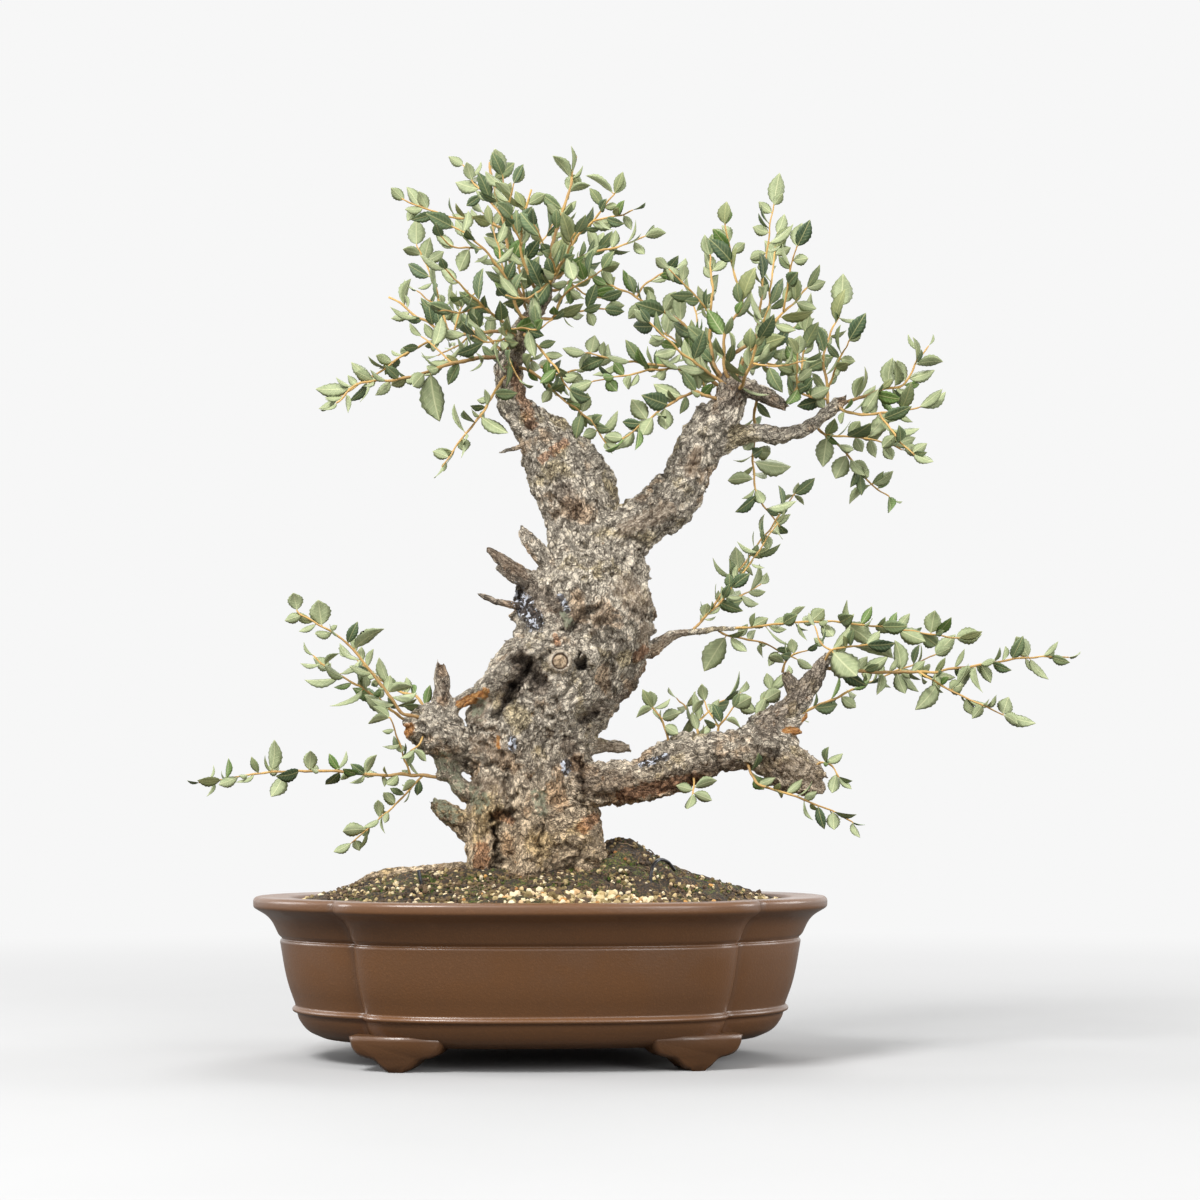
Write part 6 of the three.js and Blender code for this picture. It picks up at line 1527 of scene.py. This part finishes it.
def apart(a, b):
    """Whether two boxes keep clear of each other."""
    away = b[0] - a[0]
    tests = [*a[1], *b[1], *(np.cross(u, v) for u in a[1] for v in b[1])]
    for axis in tests:
        if axis @ axis <= 1e-4:
            continue
        reach = np.abs(a[1] @ axis) @ a[2] + np.abs(b[1] @ axis) @ b[2]
        if abs(away @ axis) > reach:
            return True
    return False


def listed_leaf(read, paths, tilt, number):
    """A leaf read from the front: from x0, z0 to x1, z1 and w wide as it is seen."""
    x0, z0, x1, z1, w = read
    foot = nearest(paths, x0, z0)
    flat = math.hypot(x1 - foot["seen"][0], z1 - foot["seen"][1])
    along = seen(x1, z1, foot["deep"] + tilt * flat) - foot["at"]
    length = np.linalg.norm(along)
    width = max(w, LEAF_PROPORTION * length * 0.94)
    roll = math.acos(min(1.0, w / width)) * (-1 if chance(number, 11) < 0.5 else 1)
    level = unit(np.cross((0.0, 1.0, 0.0), along))
    lean = np.cross(unit(along), level)
    across = level * math.cos(roll) + lean * math.sin(roll)
    return leaf_frame(foot["at"], along, across, length, width, number)


def fill_leaf(path, fill, n, pitch, turn, number, loose=0.0):
    """The nth leaf back from a shoot's tip; each stands further round the shoot than the last."""
    legs = [np.linalg.norm(b["at"] - a["at"]) for a, b in zip(path, path[1:])]
    back = n * pitch + TIP_SPARE
    leg = len(legs) - 1
    while leg >= 0 and back > legs[leg]:
        back -= legs[leg]
        leg -= 1
    if leg < 0:
        return None
    foot = between(path[leg + 1], path[leg], back / legs[leg])
    stem = unit(path[leg + 1]["at"] - path[leg]["at"])
    side = unit(np.cross((0.0, 0.0, 1.0), stem))
    angle = n * LEAF_DIVERGENCE + turn
    out = side * math.cos(angle) + np.cross(stem, side) * math.sin(angle)
    spread = 0.25 if n == 0 else LEAF_SPREAD * (1 + 0.8 * loose * (chance(number, n, 8) - 0.5))
    along = stem * math.cos(spread) + out * math.sin(spread)
    along[2] += 0.22 + 0.8 * loose * (chance(number, n, 9) - 0.6)
    across = unit(np.cross(along, (0.0, 0.0, 1.0)))
    lean = unit(np.cross(across, along))
    across = across + lean * (1.3 + 4.5 * loose) * (chance(number, n, 3) - 0.5)
    length = fill * (0.74 + 0.52 * chance(number, n, 5))
    width = LEAF_PROPORTION * (1 - 0.22 * loose) * length * (0.86 + 0.28 * chance(number, n, 6))
    return leaf_frame(foot["at"], along, across, length, width, number + n)


class Layout:
    """Lays the leaves out so that none meets the wood, another leaf or another spray's twigs."""

    def __init__(self):
        self.ball_middles, self.ball_radii = limb_balls()
        self.sprays = []
        for name, shoots in SPRAYS.items():
            paths = []
            for listed in shoots:
                paths.append(shoot_path(listed, paths))
            self.sprays.append({"name": name, "shoots": shoots, "paths": paths, "leaves": []})
        self.boxes = []
        self.middles = np.zeros((0, 3))
        self.reaches = np.zeros(0)
        self.twigs = [(number, *self.twig_box(a, b)) for number, spray in enumerate(self.sprays)
                      for path in spray["paths"] for a, b in zip(path, path[1:])]
        self.twig_middles = np.array([twig[1] for twig in self.twigs])
        self.twig_reaches = np.array([np.linalg.norm(twig[3]) for twig in self.twigs])

    @staticmethod
    def twig_box(a, b):
        leg = b["at"] - a["at"]
        along = unit(leg)
        side = unit(np.array((0.0, 1.0, 0.0)) - along * along[1])
        half = np.array((np.linalg.norm(leg) / 2, a["r"] + 0.5, a["r"] + 0.5))
        return (a["at"] + b["at"]) / 2, np.array((along, side, np.cross(along, side))), half

    def fits(self, leaf, box, number):
        if (np.linalg.norm(self.ball_middles - leaf["base"], axis=1) <= self.ball_radii + 1.5).any():
            return False
        away = np.abs((self.ball_middles - box[0]) @ box[1].T) - box[2]
        if (np.linalg.norm(np.maximum(away, 0), axis=1) <= self.ball_radii).any():
            return False
        reach = np.linalg.norm(box[2])
        near = np.linalg.norm(self.middles - box[0], axis=1) <= self.reaches + reach
        if not all(apart(box, self.boxes[i]) for i in np.flatnonzero(near)):
            return False
        near = np.linalg.norm(self.twig_middles - box[0], axis=1) <= self.twig_reaches + reach
        twigs = (self.twigs[i] for i in np.flatnonzero(near))
        return all(twig[0] == number or apart(box, twig[1:]) for twig in twigs)

    def place(self, choices, number, slim):
        """Adds the first leaf that fits to a spray."""
        for leaf in choices:
            box = leaf_box(leaf, slim)
            if self.fits(leaf, box, number):
                self.boxes.append(box)
                self.middles = np.vstack((self.middles, box[0]))
                self.reaches = np.append(self.reaches, np.linalg.norm(box[2]))
                self.sprays[number]["leaves"].append(leaf)
                return

    def place_listed(self, which, start, slim):
        """Adds the leaves that were read from the front."""
        for s, spray in enumerate(self.sprays):
            for k, (listed, path) in enumerate(zip(spray["shoots"], spray["paths"])):
                for i, read in enumerate(listed[which]):
                    number = leaf_number(s, k, i + start)
                    first = -1 if chance(number, 12) < 0.5 else 1
                    tilts = [sign * tilt for tilt in TILTS for sign in (first, -first)]
                    self.place([listed_leaf(read, [path], tilt, number) for tilt in tilts], s, slim)

    def place_fill(self, pitch, start, slim, share=1.0, loose=0.0):
        """Adds leaves between those, spaced along every shoot; loose ones stand less evenly."""
        for s, spray in enumerate(self.sprays):
            for k, (listed, path) in enumerate(zip(spray["shoots"], spray["paths"])):
                if listed["fill"] == 0:
                    continue
                number = leaf_number(s, k, start)
                for n in range(1 if listed["cut"] else 0, MOST_LEAVES):
                    choices = [fill_leaf(path, share * listed["fill"], n, pitch,
                                         turn * 2 * math.pi / FILL_TURNS, number, loose)
                               for turn in range(FILL_TURNS)]
                    if choices[0] is None:
                        break
                    self.place(choices, s, slim)


RING = (-1.0, -0.5, 0.0, 0.5, 1.0, 0.5, 0.0, -0.5)  # across the blade's upper side and back below it


def blade(leaf):
    """Points of a toothed, cupped and drooping blade with its stalk, ring by ring, and its map."""
    number, length = leaf["number"], leaf["length"]
    rows = 14 if length > 13 else 11
    u = np.linspace(0, 1, rows + 1)
    stalk = 0.075
    t = np.clip((u - stalk) / (1 - stalk), 0, 1)
    belly = 0.8 + 0.25 * chance(number, 21)
    half = leaf["width"] / 2 * np.sin(math.pi * t ** belly) ** (0.68 + 0.3 * t)
    teeth = 1 + 0.055 * np.where(np.arange(rows + 1) % 2, 1, -1) * (t > 0.15)
    half = np.maximum(half * teeth, np.where(u < 0.97, 0.42, 0.12))
    fold = 0.16 + 0.2 * chance(number, 22)
    droop = 0.05 + 0.16 * chance(number, 23)
    wave = 0.07 * leaf["width"] * (chance(number, 24) - 0.3)
    bend = 0.1 * (chance(number, 25) - 0.5)
    cup = np.minimum(1, half / (leaf["width"] / 2))
    ring = np.array(RING)
    across = half[:, None] * ring
    along = length * (u - 0.35 * droop * u ** 3)[:, None] + 0 * across
    rise = fold * np.abs(ring) ** 1.5 * half[:, None]
    rise = rise + wave * np.sin(7.5 * u + 6.3 * chance(number, 26))[:, None] * ring ** 2 * cup[:, None]
    rise = rise - droop * length * (u ** 2.2)[:, None] * 0.8
    rise = rise + 0.07 * leaf["width"] * np.sin(math.pi * u)[:, None]
    thick = np.where(np.arange(8) > 4, -1, 1) * (1 - ring ** 2)
    thick = thick * np.where(u < stalk, 0.36, 0.17)[:, None]
    across = across + bend * length * (u ** 2)[:, None]
    points = (leaf["base"] + along[..., None] * leaf["along"] + across[..., None] * leaf["across"]
              + (rise + thick)[..., None] * leaf["normal"])
    v = half[:, None] * ring / (leaf["width"] / 2)
    return points.reshape(-1, 3), np.stack((np.repeat(u, 8), v.ravel()), axis=1), rows + 1


def smooth_twig(path):
    """Points and radii of the smooth curve that a twig follows."""
    points = [np.array((*p["at"], p["r"])) for p in path]
    length = sum(np.linalg.norm(b["at"] - a["at"]) for a, b in zip(path, path[1:]))
    twig = np.array([curve_point(points, t) for t in np.linspace(0, 1, max(8, int(length / 2.6)))])
    twig[:, :3] += 1.4 * np.array([noise.noise_vector(Vector(p[:3]) / 11) for p in twig])
    return twig


def build_spray(spray, finishes):
    """One spray: its twigs and leaves as one piece that stands for its node."""
    vertices, faces, maps, tones, kinds = [], [], [], [], []
    twigs = [smooth_twig(path) for path in spray["paths"]]
    for twig in twigs:
        bumps = 0.66 + 0.08 * np.sin(np.arange(len(twig)) * 1.9)
        body, body_faces = tube_along(twig[:, :3], twig[:, 3] * bumps, 7)
        add_body(vertices, faces, body, body_faces)
        kinds += [0] * len(body_faces)
        maps += [(0.0, 0.0)] * len(body)
        tones += [(min(1, max(0, (r - 1.3) / 1.6)), 0.5, 0.0, 1.0) for r in twig[:, 3] for _ in range(7)]
    woody = np.concatenate([twig[:, :3] for twig in twigs])
    for leaf in spray["leaves"]:
        foot = woody[np.argmin(np.linalg.norm(woody - leaf["base"], axis=1))]
        leaf = {**leaf, "base": leaf["base"] + (foot - leaf["base"]) * 0.9}
        points, spots, rows = blade(leaf)
        start = len(vertices)
        vertices += list(points)
        body_faces = tube_faces(rows, 8, start)
        faces += body_faces
        kinds += [1 if i % 8 < 4 else 2 for i in range((rows - 1) * 8)] + [1, 1]
        maps += [tuple(spot) for spot in spots]
        number = leaf["number"]
        young = 0.8 if chance(number, 31) > 0.96 else 0.0
        tones += [(chance(number, 32), chance(number, 33), young, 1.0)] * len(points)
    piece = new_piece(spray["name"].replace("spray", "foliage"), [place(p) for p in vertices], faces,
                      finishes[0], [spray["name"]])
    mesh = piece.data
    for finish in finishes[1:]:
        mesh.materials.append(finish)
    mesh.polygons.foreach_set("material_index", kinds)
    layer = mesh.attributes.new("tone", "FLOAT_COLOR", "POINT")
    layer.data.foreach_set("color", np.array(tones, float).ravel())
    corners = np.empty(len(mesh.loops), dtype=np.int64)
    mesh.loops.foreach_get("vertex_index", corners)
    blade_map = mesh.uv_layers.new(name="blade")
    blade_map.data.foreach_set("uv", np.array(maps, float)[corners].ravel())


def leaf_finish(name, look, under):
    """A matte blade with a pale midrib and side veins."""
    material, net, surface = new_material(name, 0.62)
    mottle = net.shared("Mottle", Patch_Size=0.006, Fleck_Size=0.0008)
    blade_map = net.node("ShaderNodeUVMap", uv_map="blade").outputs[0]
    spot = net.node("ShaderNodeSeparateXYZ", {0: blade_map}).outputs
    out = net.math("ABSOLUTE", spot[1])
    rib = net.span(out, 0.1, 0.03)
    slant = net.math("MULTIPLY_ADD", out, -0.2, spot[0])
    vein = net.math("PINGPONG", net.times(slant, 8.0), 0.5)
    vein = net.times(net.span(vein, 0.1, 0.02), net.span(out, 0.95, 0.6))
    tone = net.node("ShaderNodeSeparateColor", {0: net.attribute("tone", "Color")}).outputs
    if under:
        base = net.mix(tone[0], tuple(look.under), rgb(152, 162, 120))
        veins = rgb(204, 206, 160)
    else:
        base = net.ramp(tone[0], [(0.0, rgb(66, 88, 62)), (0.35, tuple(look.upper)),
                                  (0.75, rgb(123, 138, 98)), (1.0, rgb(150, 154, 104))])
        veins = rgb(192, 192, 134)
    base = net.mix(net.times(mottle["Patches"], 0.3), base, rgb(100, 114, 76))
    base = net.mix(tone[2], base, tuple(look.young))
    shade = net.math("MAXIMUM", rib, net.times(vein, 0.55))
    base = net.mix(net.times(shade, 0.6), base, veins)
    base = net.mix(net.span(spot[0], 0.09, 0.06), base, tuple(look.twig))
    height = net.math("SUBTRACT", 0.5, net.times(shade, 0.5))
    rough = net.span(mottle["Flecks"], 0.0, 1.0, 0.55, 0.72)
    surface.inputs["Specular IOR Level"].default_value = 0.35
    finish_surface(net, surface, base, rough, height, 0.0005, 0.7)
    return material


def twig_finish(look):
    """Young ochre bark with paler and darker stretches."""
    material, net, surface = new_material("twig_bark", 0.75)
    mottle = net.shared("Mottle", Patch_Size=0.02, Fleck_Size=0.0009)
    grain = net.shared("Grain", Grain_Size=0.0009)
    tone = net.node("ShaderNodeSeparateColor", {0: net.attribute("tone", "Color")}).outputs[0]
    colour = net.mix(net.times(mottle["Patches"], 0.5), tuple(look.twig), rgb(150, 112, 70))
    colour = net.mix(tone, colour, rgb(104, 76, 54))
    colour = net.mix(net.times(mottle["Flecks"], 0.5), colour, rgb(206, 182, 140))
    finish_surface(net, surface, colour, None, grain["Height"], 0.0004, 0.7)
    return material


def build_sprays(look):
    """Every spray of the crowns and the low branches."""
    layout = Layout()
    layout.place_listed("leaves", start=0, slim=1.0)
    layout.place_fill(SOLID_LEAF_PITCH, start=0, slim=1.0)
    layout.place_listed("more", start=10, slim=0.8)
    layout.place_fill(1.6 * look.leaf_pitch / MM, start=7, slim=0.6, share=1.55, loose=1.0)
    layout.place_fill(1.9 * look.leaf_pitch / MM, start=9, slim=0.5, share=1.1, loose=1.0)
    finishes = [twig_finish(look), leaf_finish("leaf_upper", look, False),
                leaf_finish("leaf_under", look, True)]
    for spray in layout.sprays:
        build_spray(spray, finishes)


# Stage

def build_floor(look):
    """A pale floor that fades into the backdrop and lights the part only a little from below."""
    material, net, surface = new_material("studio_floor", 0.9)
    mottle = net.shared("Mottle", Patch_Size=0.9, Fleck_Size=0.02)
    pale = tuple(look.floor)
    colour = net.mix(net.times(mottle["Patches"], 0.05), pale, rgb(220, 220, 220))
    black = (0, 0, 0, 1)
    out = net.node("ShaderNodeVectorMath", {0: net.position()}, operation="LENGTH").outputs["Value"]
    far = net.span(out, 0.3, 2.0)
    direct = net.node("ShaderNodeLightPath").outputs["Is Camera Ray"]
    colour = net.mix(far, net.mix(direct, rgb(96, 94, 92), colour), black)
    glow = net.mix(direct, (look.ambient,) * 3 + (1,), (look.backdrop,) * 3 + (1,))
    glow = net.mix(far, black, glow)
    net.tree.links.new(glow, surface.inputs["Emission Color"])
    surface.inputs["Emission Strength"].default_value = 1.0
    surface.inputs["Specular IOR Level"].default_value = 0.0
    finish_surface(net, surface, colour)
    mesh = bpy.data.meshes.new("studio_floor")
    corners = [(x * FLOOR_HALF, y * FLOOR_HALF, 0) for x, y in ((-1, -1), (1, -1), (1, 1), (-1, 1))]
    mesh.from_pydata(corners, [], [(0, 1, 2, 3)])
    mesh.materials.append(material)
    floor = bpy.data.objects.new("studio_floor", mesh)
    bpy.context.scene.collection.objects.link(floor)


def build_backdrop(look):
    """A pale backdrop, brighter than the even light that comes from all round."""
    world = bpy.data.worlds.new("studio")
    world.use_nodes = True
    net = Net(world.node_tree)
    sky = world.node_tree.nodes["Background"]
    sky.inputs["Color"].default_value = (1, 1, 1, 1)
    path = net.node("ShaderNodeLightPath").outputs
    backdrop = net.math("MAXIMUM", path["Is Camera Ray"], path["Is Glossy Ray"])
    backdrop = net.times(backdrop, look.backdrop - look.ambient)
    net.tree.links.new(net.math("ADD", backdrop, look.ambient), sky.inputs["Strength"])
    bpy.context.scene.world = world
    bpy.context.scene.view_settings.view_transform = "Standard"


def build_lights(look):
    """Soft round lights about the part."""
    for name, (spot, size, power) in LIGHTS.items():
        data = bpy.data.lights.new(name, "AREA")
        data.shape = "DISK"
        data.size = size
        data.energy = power * look.light
        light = bpy.data.objects.new(name, data)
        light.location = spot
        light.rotation_euler = (AIM - Vector(spot)).to_track_quat("-Z", "Y").to_euler()
        bpy.context.scene.collection.objects.link(light)


def build_camera():
    lens = bpy.data.cameras.new("front_camera")
    lens.lens = LENS
    lens.sensor_width = SENSOR
    camera = bpy.data.objects.new("front_camera", lens)
    camera.location = place(EYE)
    camera.rotation_euler = (math.radians(90) + CAMERA_TILT, 0, 0)
    lens.clip_start, lens.clip_end = CLIP
    bpy.context.scene.collection.objects.link(camera)
    bpy.context.scene.camera = camera


# Add-on

def colour_property(name, description, default):
    return FloatVectorProperty(name=name, description=description, subtype="COLOR", size=4, min=0, max=1,
                               default=default)


def number_property(name, description, default, low, high, **kind):
    return FloatProperty(name=name, description=description, default=default, min=low, max=high, **kind)


class PotLook(bpy.types.PropertyGroup):
    glaze: colour_property("Glaze", "Colour of the stoneware", rgb(106, 71, 42))
    roughness: number_property("Roughness", "Roughness of the glaze", 0.34, 0, 1, subtype="FACTOR")


class SoilLook(bpy.types.PropertyGroup):
    peat: colour_property("Peat", "Colour of the fine soil", rgb(54, 43, 31))
    moss: colour_property("Moss", "Colour of the moss tips", rgb(112, 132, 40))
    stone_size: number_property("Stone size", "Size of a usual stone of the grit", 0.005, 0.001, 0.02,
                                unit="LENGTH")
    stone_count: IntProperty(name="Stones", description="How many loose stones lie on the soil",
                             default=4600, min=0, max=8000)


class TreeLook(bpy.types.PropertyGroup):
    plate: colour_property("Plates", "Colour of the weathered cork", rgb(210, 179, 144))
    furrow: colour_property("Furrows", "Colour of the deep furrows", rgb(38, 29, 22))
    bare: colour_property("Bare wood", "Colour of the smooth weathered wood", rgb(168, 146, 122))
    lichen: colour_property("Lichen", "Colour of the lichen", rgb(172, 178, 150))
    cut_wood: colour_property("Cut wood", "Colour of the freshly cut wood", rgb(206, 136, 62))
    furrow_share: number_property("Furrow depth", "Depth of the furrows over the usual one", 1.0, 0, 2,
                                  subtype="FACTOR")
    skin_step: number_property("Skin step", "Spacing of the bark's first skin", 0.00135, 0.0008, 0.01,
                               unit="LENGTH")
    skin_cell: number_property("Skin cell", "Grain of the joined skin", 0.00145, 0.001, 0.01,
                               unit="LENGTH")


class LeafLook(bpy.types.PropertyGroup):
    upper: colour_property("Upper side", "Colour of a grown leaf", rgb(100, 120, 84))
    under: colour_property("Under side", "Colour of the leaves from below", rgb(162, 171, 130))
    young: colour_property("Young leaf", "Colour of a young leaf", rgb(92, 124, 54))
    twig: colour_property("Twig", "Colour of the twigs", rgb(208, 168, 98))
    leaf_pitch: number_property("Leaf pitch", "Distance between the leaves along a shoot", 0.009, 0.003,
                                0.1, unit="LENGTH")


class StageLook(bpy.types.PropertyGroup):
    floor: colour_property("Floor", "Colour of the floor", (0.44, 0.44, 0.44, 1))
    ambient: number_property("Ambient", "Strength of the light from all round", 0.52, 0, 5)
    backdrop: number_property("Backdrop", "Brightness of the backdrop", 0.93, 0, 5)
    light: number_property("Lights", "Strength of the soft lights", 1.0, 0, 10)


LOOKS = {"pot": PotLook, "soil": SoilLook, "tree": TreeLook, "leaf": LeafLook, "stage": StageLook}


def look_of(context, name):
    return getattr(context.scene, "bonsai_" + name)


class BONSAI_OT_effects(bpy.types.Operator):
    """Makes the surface effects that the materials share"""
    bl_idname = "bonsai.effects"
    bl_label = "Shared effects"

    def execute(self, context):
        build_shared_effects()
        return {"FINISHED"}


class BONSAI_OT_stage(bpy.types.Operator):
    """Makes the floor, the lights and the camera"""
    bl_idname = "bonsai.stage"
    bl_label = "Stage"

    def execute(self, context):
        look = look_of(context, "stage")
        build_floor(look)
        build_backdrop(look)
        build_lights(look)
        build_camera()
        return {"FINISHED"}


class BONSAI_OT_pot(bpy.types.Operator):
    """Makes the glazed tray"""
    bl_idname = "bonsai.pot"
    bl_label = "Pot"

    def execute(self, context):
        build_pot(look_of(context, "pot"))
        return {"FINISHED"}


class BONSAI_OT_soil(bpy.types.Operator):
    """Makes the soil with its grit, moss and fine roots"""
    bl_idname = "bonsai.soil"
    bl_label = "Soil"

    def execute(self, context):
        build_soil(look_of(context, "soil"))
        return {"FINISHED"}


class BONSAI_OT_fittings(bpy.types.Operator):
    """Makes the tie wire and finishes the drain screens"""
    bl_idname = "bonsai.fittings"
    bl_label = "Wire and screens"

    def execute(self, context):
        build_wire()
        finish_screens()
        return {"FINISHED"}


class BONSAI_OT_tree(bpy.types.Operator):
    """Makes the trunk and limbs with their cork bark"""
    bl_idname = "bonsai.tree"
    bl_label = "Tree"

    def execute(self, context):
        build_tree(look_of(context, "tree"))
        return {"FINISHED"}


class BONSAI_OT_sprays(bpy.types.Operator):
    """Makes the twigs and leaves"""
    bl_idname = "bonsai.sprays"
    bl_label = "Sprays"

    def execute(self, context):
        build_sprays(look_of(context, "leaf"))
        return {"FINISHED"}


STEPS = (BONSAI_OT_effects, BONSAI_OT_stage, BONSAI_OT_pot, BONSAI_OT_soil, BONSAI_OT_fittings,
         BONSAI_OT_tree, BONSAI_OT_sprays)


class BONSAI_PT_panel(bpy.types.Panel):
    """Lists the looks and the steps of the bonsai"""
    bl_idname = "BONSAI_PT_panel"
    bl_label = "Bonsai"
    bl_space_type = "VIEW_3D"
    bl_region_type = "UI"
    bl_category = "Bonsai"

    def draw(self, context):
        for name in LOOKS:
            look = look_of(context, name)
            column = self.layout.column(heading=name.title())
            for key in look.__annotations__:
                column.prop(look, key)
        for step in STEPS:
            self.layout.operator(step.bl_idname)


def register():
    for made in (*LOOKS.values(), *STEPS, BONSAI_PT_panel):
        bpy.utils.register_class(made)
    for name, look in LOOKS.items():
        setattr(bpy.types.Scene, "bonsai_" + name, PointerProperty(type=look))


def unregister():
    for name in LOOKS:
        delattr(bpy.types.Scene, "bonsai_" + name)
    for made in reversed((*LOOKS.values(), *STEPS, BONSAI_PT_panel)):
        bpy.utils.unregister_class(made)


def main():
    register()
    bpy.ops.bonsai.effects()
    bpy.ops.bonsai.stage()
    bpy.ops.bonsai.pot()
    bpy.ops.bonsai.soil()
    bpy.ops.bonsai.fittings()
    bpy.ops.bonsai.tree()
    bpy.ops.bonsai.sprays()


if __name__ == "__main__":
    main()
